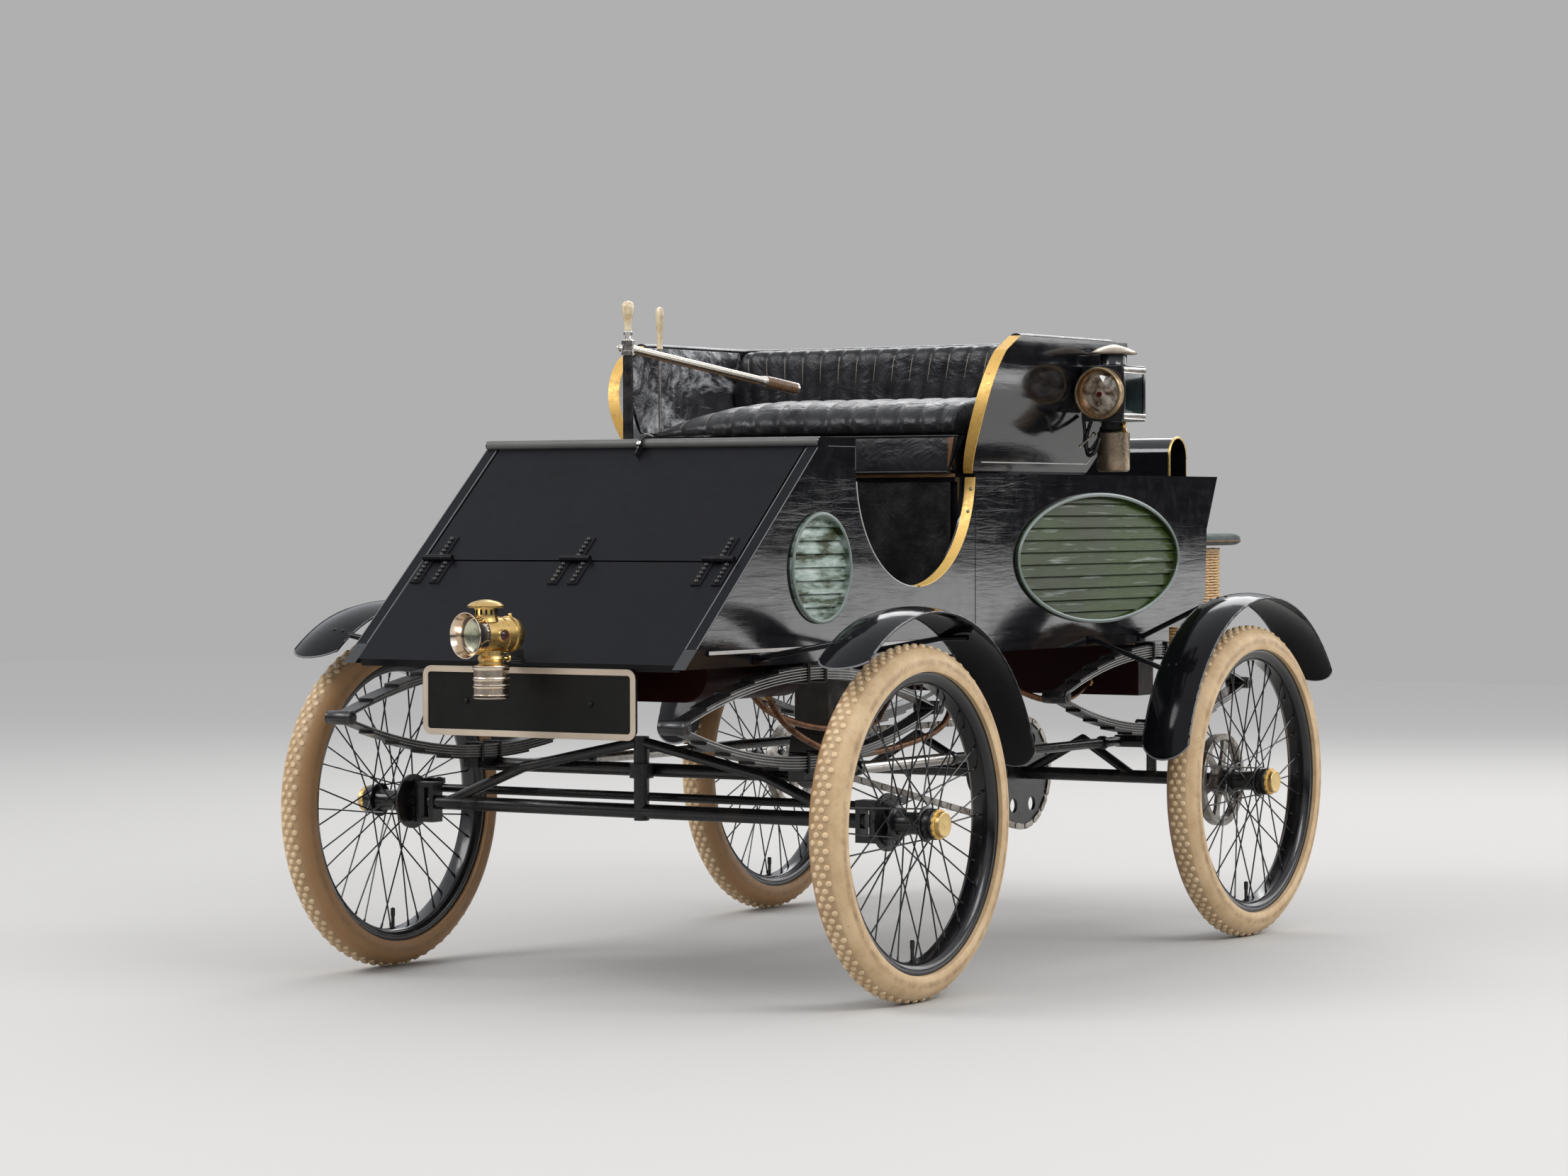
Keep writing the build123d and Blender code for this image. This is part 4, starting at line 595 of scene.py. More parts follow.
@dataclass(frozen=True)
class Wood(Finish):
    """Varnished wood or cane.

    Attributes:
        along: Stretch of the grain, lowest on the axis that it follows.
    """

    name: str
    slot: str
    light: Colour = (0.36, 0.2, 0.085)
    dark: Colour = (0.14, 0.07, 0.03)
    along: Point = (0.12, 1.0, 1.0)
    roughness: float = 0.35

    def build(self, graph: Graph) -> None:
        """Adds grain under a thin varnish.

        Args:
            graph: Nodes of the material.
        """
        grain = graph.noise(120.0, 8.0, 0.65, self.along, 0.8)
        graph.set(Roughness=self.roughness, Coat_Weight=0.2,
                  Base_Color=graph.ramp(grain, ((0.3, self.dark), (0.68, self.light))),
                  Normal=graph.bump(grain, 0.0003, 0.6))


@dataclass(frozen=True)
class Glass(Finish):
    """Clear or tinted glass."""

    name: str
    slot: str
    colour: Colour = (0.9, 0.97, 0.95)
    roughness: float = 0.02

    def build(self, graph: Graph) -> None:
        """Adds glass with a faint waviness."""
        graph.set(Base_Color=(*self.colour, 1.0), Transmission_Weight=1.0, IOR=1.5, Roughness=self.roughness,
                  Normal=graph.bump(graph.noise(30.0, 2.0), 0.0003, 0.4))


@dataclass(frozen=True)
class LensReflection(Finish):
    """Thick old lens with a painted reflection: clouds of dark, brown and tan in its colour stand for the lamp's
    inside and the reflections in it.
    """

    name: str = "lens_painted_reflection"
    slot: str = "brass"
    dark: Colour = (0.02, 0.013, 0.009)
    brown: Colour = (0.16, 0.11, 0.07)
    tan: Colour = (0.42, 0.36, 0.29)

    def build(self, graph: Graph) -> None:
        """Adds the painted reflection as a clouded brown colour under a clear glossy face.

        Args:
            graph: Nodes of the material.
        """
        # Painted reflection: the dark, brown and tan clouds stand for the lamp's inside seen in the lens.
        clouds = graph.noise(34.0, 3.0, 0.5, warp=1.2)
        graph.set(IOR=1.6, Roughness=0.03, Coat_Weight=1.0, Coat_Roughness=0.02, Transmission_Weight=0.12,
                  Base_Color=graph.ramp(clouds, ((0.34, self.dark), (0.46, self.brown), (0.6, self.tan))),
                  Normal=graph.bump(graph.noise(24.0, 2.0), 0.0006, 0.5))


@dataclass(frozen=True)
class Bone(Finish):
    """Ivory, yellowed in clouds, with fine lines along its length."""

    name: str
    slot: str
    pale: Colour = (0.72, 0.62, 0.44)
    aged: Colour = (0.5, 0.36, 0.19)

    def build(self, graph: Graph) -> None:
        """Adds warm clouds over faint upright lines.

        Args:
            graph: Nodes of the material.
        """
        clouds = graph.noise(55.0, 5.0, 0.6)
        lines = graph.noise(160.0, 3.0, 0.5, (1.0, 1.0, 0.06))
        mixed = graph.product(graph.sums("ADD", clouds, lines), 0.5)
        graph.set(IOR=1.54, Roughness=0.24, Subsurface_Weight=0.15, Subsurface_Radius=(0.006, 0.004, 0.002),
                  Base_Color=graph.ramp(mixed, ((0.38, self.aged), (0.56, self.pale))),
                  Normal=graph.bump(clouds, 0.0002, 0.4))


class Look:
    """The finishes of the car, by the maker's plain words."""

    # Paint
    coach = CoachPaint("coach_black", "body_black")
    guard = CoachPaint("guard_black", "body_black", (0.003, 0.003, 0.004), 0.1, 0.00012, EVEN, 1.28, 0.0)
    lamp_black = CoachPaint("lamp_black", "brass", (0.008, 0.008, 0.009), 0.14, 0.00008, EVEN)
    slats = SlatReflections()
    lid = SatinPaint("lid_satin", "body_black", (0.0035, 0.0036, 0.0052), 0.4, index=1.2)
    nosing = SatinPaint("nosing_grey", "body_black", (0.085, 0.085, 0.08), 0.5, (0.2, 0.2, 0.19), 0.002, 0.0002)
    lining = SatinPaint("coach_line", "body_black", (0.36, 0.345, 0.33), 0.3, (0.5, 0.5, 0.48), 0.001)
    # On the cheeks' sloping edges these pale lines are painted highlights along the beads.
    faint = SatinPaint("faint_line", "body_black", (0.13, 0.13, 0.135), 0.3, (0.2, 0.2, 0.2), 0.001)
    groove = SatinPaint("groove_black", "body_black", (0.001, 0.001, 0.001), 0.8, (0.004, 0.004, 0.004), 0.001,
                        index=1.2)
    # Vent rims: the pale green-grey and its paler edges are a painted highlight on the rims.
    rim_gloss = SatinPaint("rim_green", "body_black", (0.13, 0.16, 0.145), 0.14, (0.5, 0.56, 0.53), 0.002)
    leaf_edge = SatinPaint("leaf_edge", "iron_black", (0.3, 0.29, 0.275), 0.32, (0.4, 0.4, 0.38), 0.001)
    maroon = SatinPaint("tank_maroon", "maroon", (0.014, 0.0022, 0.002), 0.4, (0.03, 0.01, 0.008), index=1.2)
    lagging = SatinPaint("lagging_brown", "lagging", (0.02, 0.014, 0.009), 0.6, (0.05, 0.035, 0.02),
                         orange=0.0003, index=1.3)
    plate = SatinPaint("plate_black", "plate_black", (0.005, 0.0045, 0.004), 0.4, (0.02, 0.02, 0.02), 0.001,
                       index=1.3)
    plate_edge = SatinPaint("plate_edge", "plate_black", (0.40, 0.33, 0.255), 0.42, (0.5, 0.43, 0.35))
    canvas = SatinPaint("lid_canvas", "lid_green", (0.055, 0.07, 0.062), 0.75, (0.1, 0.12, 0.1), 0.003, 0.0005)
    iron = IronPaint("iron_black", "iron_black")
    wheel = IronPaint("wheel_black", "wheel_black", (0.006, 0.006, 0.007), 0.14, (0.02, 0.016, 0.012))
    # Near-black on the domes and slabs that stand for the front lamp's air holes and chimney slots: painted shade
    # inside them.
    hole_shade = IronPaint("hole_shade", "brass", (0.01, 0.008, 0.007), 0.7)
    engine = IronPaint("engine_iron", "engine_iron", (0.03, 0.027, 0.024), 0.4, (0.07, 0.045, 0.025))

    # Rubber
    rubber = {Side.LEFT: CreamRubber("cream_rubber_left", inside=-1.0),
              Side.RIGHT: CreamRubber("cream_rubber_right", inside=1.0)}
    studs = CreamRubber("stud_rubber", "tyre_cream", (0.72, 0.54, 0.34), (0.56, 0.39, 0.21), (0.36, 0.24, 0.12),
                        band_r=0.5, tread_shade=0.0)

    # Brass, nickel and steel
    brass = Metal("lamp_brass", "brass", (0.66, 0.45, 0.17), (0.40, 0.26, 0.09), 0.4, 0.3)
    cap_brass = Metal("cap_brass", "brass", (0.64, 0.46, 0.2), (0.48, 0.34, 0.15), 0.3, 0.4)
    trim_brass = Metal("trim_brass", "brass", (0.66, 0.40, 0.10), (0.44, 0.26, 0.07), 0.4, 0.46, metallic=0.35)
    jamb = Metal("jamb_brass", "brass", (0.74, 0.47, 0.13), (0.56, 0.33, 0.09), 0.35, 0.46, metallic=0.3)
    aged = Metal("aged_brass", "brass", (0.46, 0.34, 0.19), (0.2, 0.14, 0.08), 0.6, 0.3)
    pale_brass = Metal("pale_brass", "brass", (0.30, 0.245, 0.185), (0.16, 0.12, 0.08), 0.45, 0.36)
    throat = Metal("throat_brass", "brass", (0.40, 0.25, 0.13), (0.16, 0.08, 0.04), 0.5, 0.4)
    tin = Metal("font_tin", "brass", (0.33, 0.26, 0.185), (0.17, 0.12, 0.08), 0.5, 0.3)
    rosy_nickel = Metal("rosy_nickel", "brass", (0.78, 0.66, 0.53), (0.46, 0.34, 0.24), 0.3, 0.15)
    nickel = Metal("nickel", "steel", (0.74, 0.70, 0.64), (0.42, 0.36, 0.28), 0.35, 0.2)
    lever_metal = Metal("lever_metal", "steel", (0.80, 0.75, 0.66), (0.6, 0.54, 0.44), 0.1, 0.3)
    steel = Metal("mottled_steel", "steel", (0.36, 0.34, 0.31), (0.14, 0.1, 0.07), 0.55, 0.34)
    polished = Metal("polished_tube", "iron_black", (0.55, 0.53, 0.50), (0.26, 0.22, 0.18), 0.4, 0.2)
    copper = Metal("copper_pipe", "steel", (0.26, 0.13, 0.07), (0.1, 0.05, 0.03), 0.5, 0.4)

    # Leather
    seat_leather = Leather("seat_leather", colour=(0.008, 0.008, 0.009), wear_and_sheen=0.4, crease=0.01)
    back_leather = Leather("back_leather", colour=(0.008, 0.008, 0.009), wear_and_sheen=0.12, roughness=0.34, crease=0.01)
    rail_leather = Leather("rail_leather", wear_and_sheen=0.05, roughness=0.28, crease=0.0015)
    worn_seam = Leather("worn_seam", colour=(0.2, 0.165, 0.125), worn=(0.34, 0.28, 0.2), wear_and_sheen=0.5,
                        roughness=0.55, crease=0.0004)
    # Arm linings: the pale colour over much of the surface is a painted sheen, the silver highlights on the
    # wrinkles.
    arm_leather = Leather("arm_leather", colour=(0.02, 0.02, 0.022), worn=(0.74, 0.74, 0.75), wear_and_sheen=1.25,
                          roughness=0.2, crease=0.016)
    valance_leather = Leather("valance_leather", colour=(0.005, 0.005, 0.0055), wear_and_sheen=0.0, roughness=0.34,
                              crease=0.005)
    brown_leather = Leather("brown_leather", colour=(0.07, 0.03, 0.012), worn=(0.14, 0.07, 0.03), roughness=0.5)

    # Wood, cane, ivory and glass
    grip_wood = Wood("grip_wood", "steel", (0.22, 0.12, 0.06), (0.07, 0.04, 0.02))
    edge_wood = Wood("edge_wood", "floor_wood")
    floor_wood = Wood("floor_wood", "floor_wood", (0.09, 0.06, 0.04), (0.03, 0.02, 0.015), (1.0, 0.12, 1.0), 0.6)
    cane = Wood("cane", "wicker", (0.66, 0.42, 0.17), (0.36, 0.19, 0.06), EVEN, 0.42)
    # A darker copy of the cane for the basket's inner wall: painted shade inside the basket.
    cane_shaded = Wood("cane_shaded", "wicker", (0.2, 0.11, 0.045), (0.08, 0.04, 0.02), EVEN, 0.6)
    ivory = Bone("ivory", "steel")
    lens_reflection = LensReflection()
    red_glass = Glass("red_glass", "brass", (0.5, 0.02, 0.015))
    lens_green = Glass("lens_green", "brass", (0.72, 0.88, 0.78))
    teal_glass = Glass("teal_glass", "brass", (0.35, 0.55, 0.55), 0.06)
    jewel = Glass("violet_jewel", "brass", (0.16, 0.05, 0.22))


def polar(radius: float, angle: float) -> Flat:
    """Point at a distance and an angle in radians."""
    return (radius * math.cos(angle), radius * math.sin(angle))


def oval(across: float, up: float, sides: int) -> list[Flat]:
    """Points round an oval with two half widths."""
    turns = (math.tau * k / sides for k in range(sides))
    return [(across * math.cos(a), up * math.sin(a)) for a in turns]


def flat_bar(half_w: float, half_t: float) -> list[Flat]:
    """Corners of a flat bar's section."""
    return [(-half_w, -half_t), (half_w, -half_t), (half_w, half_t), (-half_w, half_t)]


class Shape:
    """Vertices and faces gathered in millimetres, before they become a piece."""

    def __init__(self) -> None:
        """Starts with nothing."""
        self.verts: list[Point] = []
        self.faces: list[tuple[int, ...]] = []

    def add(self, verts: Iterable[Point], faces: Iterable[Sequence[int]]) -> "Shape":
        """Adds vertices and faces.

        Args:
            verts: Vertices.
            faces: Faces, counted from the first of these vertices.

        Returns:
            This shape.
        """
        base = len(self.verts)
        self.verts += [tuple(v) for v in verts]
        self.faces += [tuple(base + i for i in face) for face in faces]
        return self

    def moved(self, matrix: Matrix) -> "Shape":
        """The same shape under a matrix."""
        return Shape().add([tuple(matrix @ Vector(v)) for v in self.verts], self.faces)

    def join(self, other: "Shape") -> "Shape":
        """Adds another shape to this one."""
        return self.add(other.verts, other.faces)

    def mirrored(self) -> "Shape":
        """The same shape on the other side of the car."""
        return Shape().add([(-x, y, z) for x, y, z in self.verts], [face[::-1] for face in self.faces])

    def rings(self, rings: Sequence[Sequence[Point]], closed: bool = True, loop: bool = False,
              caps: bool = True) -> "Shape":
        """Joins rings of equal length into a skin.

        Args:
            rings: Rings of points, in order.
            closed: Whether each ring joins its own ends.
            loop: Whether the last ring joins the first.
            caps: Whether the end rings are filled.

        Returns:
            This shape.
        """
        count = len(rings[0])
        verts = [p for ring in rings for p in ring]
        faces = []
        span = count if closed else count - 1
        for i in range(len(rings) if loop else len(rings) - 1):
            a, b = i * count, (i + 1) % len(rings) * count
            faces += [(a + j, a + (j + 1) % count, b + (j + 1) % count, b + j) for j in range(span)]
        if caps and closed and not loop:
            last = (len(rings) - 1) * count
            faces += [tuple(range(count))[::-1], tuple(last + j for j in range(count))]
        return self.add(verts, faces)

    def lathe(self, profile: Sequence[Flat], start: Point, axis: Point, sides: int = 48,
              ring: bool = False) -> "Shape":
        """Turns a profile about an axis.

        Args:
            profile: Pairs of distance along the axis and radius, from one end to the other.
            start: Where the distances are counted from.
            axis: Direction of the axis.
            sides: Facets round the axis.
            ring: Whether the profile closes on itself, and so leaves the middle open.

        Returns:
            This shape.
        """
        way = Vector(axis).normalized()
        side = way.orthogonal().normalized()
        up = way.cross(side)
        angles = [math.tau * i / sides for i in range(sides)]
        rings = []
        for distance, radius in profile:
            centre, r = Vector(start) + way * distance, max(radius, 0.01)
            rings.append([tuple(centre + (side * math.cos(a) + up * math.sin(a)) * r) for a in angles])
        return self.rings(rings, loop=ring)

    def hoop(self, profile: Sequence[Flat], around: int, closed: bool = True) -> "Shape":
        """Turns a profile about the X axis into a hoop.

        Args:
            profile: Pairs of X and radius.
            around: Facets round the axis.
            closed: Whether the profile closes on itself.

        Returns:
            This shape.
        """
        turns = (math.tau * i / around for i in range(around))
        return self.rings([[(x, *polar(r, a)) for x, r in profile] for a in turns], closed=closed, loop=True)

    def tube(self, path: Sequence[Point], radius: float, sides: int = 12, loop: bool = False) -> "Shape":
        """Round bar along a path, which may close."""
        return self.sweep(path, oval(radius, radius, sides), loop=loop)

    def sweep(self, path: Sequence[Point], section: Sequence[Flat], up: Optional[Point] = None,
              loop: bool = False, scales: Optional[Sequence[float]] = None) -> "Shape":
        """Carries a closed section along a path.

        Args:
            path: Points of the path.
            section: Points across and up from the path.
            up: A fixed up direction, or None to carry the frame along.
            loop: Whether the path closes.
            scales: Size of the section at each point, or None for 1.

        Returns:
            This shape.
        """
        points = [Vector(p) for p in path]
        count = len(points)
        rings = []
        carried = None
        for i, point in enumerate(points):
            before = points[(i - 1) % count] if loop or i else point
            after = points[(i + 1) % count] if loop or i < count - 1 else point
            way = (after - before).normalized()
            if up is not None:
                side = way.cross(Vector(up)).normalized()
            elif carried is None:
                side = way.orthogonal().normalized()
            else:
                side = (carried - way * carried.dot(way)).normalized()
            carried = side
            high = side.cross(way)
            k = scales[i] if scales else 1
            rings.append([tuple(point + side * (a * k) + high * (b * k)) for a, b in section])
        return self.rings(rings, loop=loop)

    def slab(self, low: Point, high: Point, round_r: float = 2.0, steps: int = 2) -> "Shape":
        """Block with rounded edges.

        Args:
            low: Its lowest corner.
            high: Its highest corner.
            round_r: Radius of the edges.
            steps: Facets across each edge.

        Returns:
            This shape.
        """
        mesh = bmesh.new()
        bmesh.ops.create_cube(mesh, size=1)
        size = [b - a for a, b in zip(low, high)]
        mid = [(a + b) / 2 for a, b in zip(low, high)]
        for vert in mesh.verts:
            vert.co = Vector([m + s * c for m, s, c in zip(mid, size, vert.co)])
        radius = min(round_r, 0.49 * min(size))
        bmesh.ops.bevel(mesh, geom=list(mesh.edges), offset=radius, segments=steps, profile=0.7, affect="EDGES")
        mesh.verts.index_update()
        self.add([tuple(v.co) for v in mesh.verts], [[v.index for v in f.verts] for f in mesh.faces])
        mesh.free()
        return self

    def dome(self, centre: Point, axis: Point, radius: float, height: float, sides: int = 12) -> "Shape":
        """Low rounded head, such as a rivet's.

        Args:
            centre: Middle of its foot.
            axis: Direction in which it stands proud.
            radius: Radius of its foot.
            height: How far it stands proud.
            sides: Facets round it.

        Returns:
            This shape.
        """
        steps = 3
        angles = [math.pi / 2 * i / steps for i in range(steps + 1)]
        profile = [(-0.5, radius), *((height * math.sin(a), radius * math.cos(a)) for a in angles)]
        return self.lathe(profile, centre, axis, sides)


def smooth_path(points: Sequence[Point], steps: int = 6) -> list[Point]:
    """Catmull-Rom curve through points.

    Args:
        points: Points that the curve passes.
        steps: Points made for each span.

    Returns:
        The points of the curve.
    """
    first, last = 2 * Vector(points[0]) - Vector(points[1]), 2 * Vector(points[-1]) - Vector(points[-2])
    ends = [first, *map(Vector, points), last]
    made = []
    for i in range(1, len(ends) - 2):
        a, b, c, d = ends[i - 1:i + 3]
        for j in range(steps):
            t = j / steps
            made.append(tuple(0.5 * ((2 * b) + (c - a) * t + (2 * a - 5 * b + 4 * c - d) * t * t
                                     + (3 * b - a - 3 * c + d) * t ** 3)))
    return made + [tuple(points[-1])]


@dataclass
class Piece:
    """A mesh to be made, with its finish and the body that it rides on.

    Attributes:
        body: Body that it rides on.
        stands_for: Nodes that it replaces.
        sharp: Angle in degrees past which an edge stays sharp.
        subdivide: Levels of rounding.
        origin: Place of its own origin, or None for the frame's.
    """

    name: str
    shape: Shape
    finish: Finish
    body: str = "chassis"
    stands_for: tuple[str, ...] = ()
    sharp: float = 38.0
    subdivide: int = 0
    origin: Optional[Point] = None

    def mesh(self) -> bpy.types.Object:
        """Makes the object from its shape, at rest and undressed.

        Returns:
            The object.
        """
        zero = to_frame(Vector(self.origin)) if self.origin else Vector(ORIGIN)
        mesh = bpy.data.meshes.new(self.name)
        mesh.from_pydata([tuple(to_frame(v) - zero) for v in self.shape.verts], [], self.shape.faces)
        mesh.validate()
        tidy = bmesh.new()
        tidy.from_mesh(mesh)
        bmesh.ops.recalc_face_normals(tidy, faces=tidy.faces)
        tidy.to_mesh(mesh)
        tidy.free()
        piece = bpy.data.objects.new(self.name, mesh)
        bpy.context.scene.collection.objects.link(piece)
        piece.location = zero
        return piece

    def make(self) -> bpy.types.Object:
        """Makes the object, dresses it and puts it on its body."""
        return self.finish_off(self.mesh())

    def finish_off(self, piece: bpy.types.Object) -> bpy.types.Object:
        """Dresses the object and puts it on its body.

        Args:
            piece: The object made from this piece's shape.

        Returns:
            The same object.
        """
        mesh = piece.data
        mesh.materials.append(self.finish.material())
        smooth(piece, self.sharp)
        if self.subdivide:
            swell = piece.modifiers.new("rounding", "SUBSURF")
            swell.levels = swell.render_levels = self.subdivide
        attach(piece, self.body)
        if self.stands_for:
            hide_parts(*self.stands_for)
        log.info("%s: %d faces", self.name, len(mesh.polygons))
        return piece


def smooth(piece: bpy.types.Object, angle: float) -> None:
    """Shades a mesh smooth, except across edges sharper than an angle in degrees."""
    piece.data.shade_smooth()
    piece.data.set_sharp_from_angle(angle=math.radians(angle))


def dress(finish: Finish, *nodes: str) -> None:
    """Gives CAD nodes that stay in view a finish.

    Args:
        finish: Their finish.
        nodes: Names of the nodes.
    """
    for name in nodes:
        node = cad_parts[name]
        node.data.materials.clear()
        node.data.materials.append(finish.material())


@dataclass
class Tyre:
    """Studded pneumatic tyre.

    Attributes:
        section_r: Radius of the tyre's section over the studs.
        flange_r: Radius of the rim's flange from the axle.
        seat_half: Half width of the tyre on the rim.
        rows: Rows of studs round the tread, the odd ones set half a step across the even ones.
        row_angles: Angles of the studs from the tread's middle, in even and in odd rows.
        wall_steps: Points of the section from the tread's middle to each bead.
        wall_turn: Angle between them in degrees.
        line_at: Angle of the moulding line each side of the tread.
        line_h: How far the moulding line stands proud.
        around: Facets round the tyre.
    """

    section_r: float = 42.0
    flange_r: float = 298.0
    seat_half: float = 27.0
    rows: int = 140
    row_angles: tuple[tuple[float, ...], ...] = ((-21.0, 7.0), (-7.0, 21.0))
    stud_r: float = 6.4
    stud_h: float = 3.2
    stud_sides: int = 9
    wall_steps: int = 21
    wall_turn: float = 5.2
    line_at: float = 33.0
    line_h: float = 0.9
    around: int = 176

    @property
    def centre_r(self) -> float:
        """Radius from the axle to the middle of the section."""
        return WHEEL_R - self.section_r

    @property
    def cover_r(self) -> float:
        """Radius of the section between the studs."""
        return self.section_r - self.stud_h

    def carcass(self) -> Shape:
        """Makes the smooth tyre with a fine moulding line each side of the tread.

        Returns:
            The shape about the X axis.
        """
        bead = [(-self.seat_half + 3, self.flange_r - 8), (-self.seat_half - 1, self.flange_r + 2)]
        profile = list(bead)
        for step in range(-self.wall_steps, self.wall_steps + 1):
            angle = step * self.wall_turn
            proud = self.line_h if abs(abs(angle) - self.line_at) < self.wall_turn / 2 else 0
            high, wide = polar(self.cover_r + proud, math.radians(angle))
            profile.append((wide, self.centre_r + high))
        profile += [(-x, r) for x, r in bead[::-1]]
        return Shape().hoop(profile, self.around, closed=False)

    def studs(self) -> Shape:
        """Makes round studs in staggered rows, with rounded tops.

        Returns:
            The shape about the X axis.
        """
        shape = Shape()
        levels = ((-0.8, 1), (0.45, 0.95), (0.86, 0.76), (1, 0.46))
        circle = oval(1, 1, self.stud_sides)
        for row in range(self.rows):
            turn = Matrix.Rotation(math.tau * row / self.rows, 3, "X")
            for angle in self.row_angles[row % 2]:
                a = math.radians(angle)
                out = Vector((math.sin(a), 0, math.cos(a)))
                across = Vector((math.cos(a), 0, -math.sin(a)))
                foot = Vector((self.cover_r * math.sin(a), 0, self.centre_r + self.cover_r * math.cos(a)))
                rings = []
                for level, size in levels:
                    at = foot + out * (self.stud_h * level)
                    rings.append([tuple(turn @ (at + across * (c * self.stud_r * size)
                                                + Vector((0, s * self.stud_r * size, 0)))) for c, s in circle])
                shape.rings(rings)
        return shape


@dataclass
class Wheel:
    """Wire wheel with its tyre.

    Attributes:
        spokes: Wires in the wheel, laced in crossing pairs.
        lacing: Angle in radians by which a spoke's root leads or trails its tip.
        notches: Notches in the cap's collar.
        drum_inset: Distance of the brake drum from the wheel's middle, towards the car.
    """

    end: End
    side: Side
    rim_flange_r: float = 298.0
    rim_bed_r: float = 276.0
    rim_half: float = 27.0
    spokes: int = 36
    spoke_r: float = 1.7
    lacing: float = math.radians(62.0)
    hub_r: float = 24.0
    flange_r: float = 36.0
    hub_half: float = 36.0
    nose_r: float = 31.0
    nose_l: float = 23.0
    collar_r: float = 30.0
    notches: int = 12
    notch_depth: float = 2.6
    cap_r: float = 25.5
    drum_r: float = 106.0
    drum_inset: float = 66.0

    @property
    def name(self) -> str:
        """Name shared by the wheel's body and CAD nodes."""
        return f"{self.end.value}_{self.side.name.lower()}"

    @property
    def centre(self) -> Point:
        """Middle of the wheel."""
        return (self.side.value * HALF_TRACK, self.end.station, WHEEL_R)

    def put(self, name: str, shape: Shape, finish: Finish, stands_for: tuple[str, ...] = (),
            sharp: float = 38.0) -> bpy.types.Object:
        """Places a shape drawn about the X axis, with the cap at +X, on this wheel.

        Args:
            name: First part of the piece's name.
            shape: The shape.
            finish: Its finish.
            stands_for: Nodes that it replaces.
            sharp: Angle in degrees past which an edge stays sharp.

        Returns:
            The object.
        """
        turned = shape if self.side is Side.LEFT else shape.moved(Matrix.Rotation(math.pi, 4, "Z"))
        placed = turned.moved(Matrix.Translation(self.centre))
        return Piece(f"{name}_{self.name}", placed, finish, f"wheel_{self.name}", stands_for, sharp,
                     origin=self.centre).make()

    def rim(self) -> Shape:
        """Makes the deep rolled rim with its beaded edges.

        Returns:
            The shape about the X axis.
        """
        half, lip, low = self.rim_half, self.rim_flange_r, self.rim_bed_r
        shoulder = lip - 11
        edge = [(half - 3.5, lip - 5), (half - 3.2, lip + 1), (half - 1.2, lip + 3), (half + 1.2, lip + 2.4),
                (half + 1.6, lip), (half + 0.4, shoulder + 2), (half - 3, shoulder - 6), (half - 10, low + 1),
                (half - 13, low)]
        return Shape().hoop([(-x, r) for x, r in edge] + edge[::-1] + [(0, lip - 9)], 144)

    def hub(self) -> Shape:
        """Makes the turned hub with its two spoke flanges and barrel nose.

        Returns:
            The shape about the X axis.
        """
        h, r, f, n = self.hub_half, self.hub_r, self.flange_r, self.nose_r
        inner = 12 if self.end is End.FRONT else 26
        nose = h + self.nose_l
        flange = [(h - 16, r - 2), (h - 7, r + 1), (h - 5, f - 1), (h - 4, f), (h - 1, f), (h, f - 1)]
        profile = [(-h - inner, r - 3), (-h - inner + 1.5, r), (-h - 1, r), *((-x, y) for x, y in flange[::-1]),
                   *flange, (h + 1, n - 2), (h + 3, n), (nose - 3, n), (nose - 1, n - 1), (nose, n - 3), (nose, 18)]
        return Shape().lathe(profile, ORIGIN, ACROSS, 56)

    def collar(self) -> Shape:
        """Makes the notched ring by which the cap is turned.

        Returns:
            The shape about the X axis.
        """
        start = self.hub_half + self.nose_l - 0.3
        facets, land = 6, 4  # of each notch, and of them those on the ring's full radius
        count = self.notches * facets
        rings = []
        for x, scale in ((0, 0.97), (0.8, 1), (5.4, 1), (6.3, 0.97)):
            radii = [(self.collar_r - (0 if k % facets < land else self.notch_depth)) * scale for k in range(count)]
            rings.append([(start + x, *polar(r, math.tau * k / count)) for k, r in enumerate(radii)])
        return Shape().rings(rings)

    def cap(self) -> Shape:
        """Makes the flat round hub cap with its turned edge and faintly dished face.

        Returns:
            The shape about the X axis.
        """
        start = self.hub_half + self.nose_l + 5.5
        r = self.cap_r
        profile = [(0, r - 1), (0.5, r), (9.4, r), (10.8, r - 0.8), (11.5, r - 2.4), (11.3, r - 3.6),
                   (10.9, r - 6), (10.9, 6), (11.2, 3), (11.4, 0)]
        return Shape().lathe(profile, (start, 0, 0), ACROSS, 56)

    def wires(self) -> Shape:
        """Makes the tangent spokes with their heads and the nipples in the rim.

        Returns:
            The shape about the X axis.
        """
        shape = Shape()
        root_r, tip_r = self.flange_r - 4, self.rim_bed_r + 1
        nipple = [(-1, 3), (2, 3.2), (3, 2.7), (12, 2.5), (13, 1.8)]
        for i in range(self.spokes):
            outer = 1 if i % 2 else -1
            lead = 1 if (i // 2) % 2 else -1
            a = math.tau * i / self.spokes
            root = Vector((outer * (self.hub_half - 2.5), *polar(root_r, a + lead * self.lacing)))
            tip = Vector((outer * 5, *polar(tip_r, a)))
            shape.tube([tuple(root), tuple(tip)], self.spoke_r, 7)
            shape.lathe(nipple, tuple(tip), tuple((root - tip).normalized()), 8)
            shape.dome((root.x + outer * 1.5, root.y, root.z), (outer, 0, 0), 2.6, 1.8, 8)
        return shape

    def valve(self) -> Shape:
        """Valve stem through the rim."""
        stem = [(0, 6), (3, 6), (4, 4), (26, 4), (27, 5), (42, 5), (44, 3)]
        return Shape().lathe(stem, (0, 0, -self.rim_bed_r + 0.5), UP, 14)

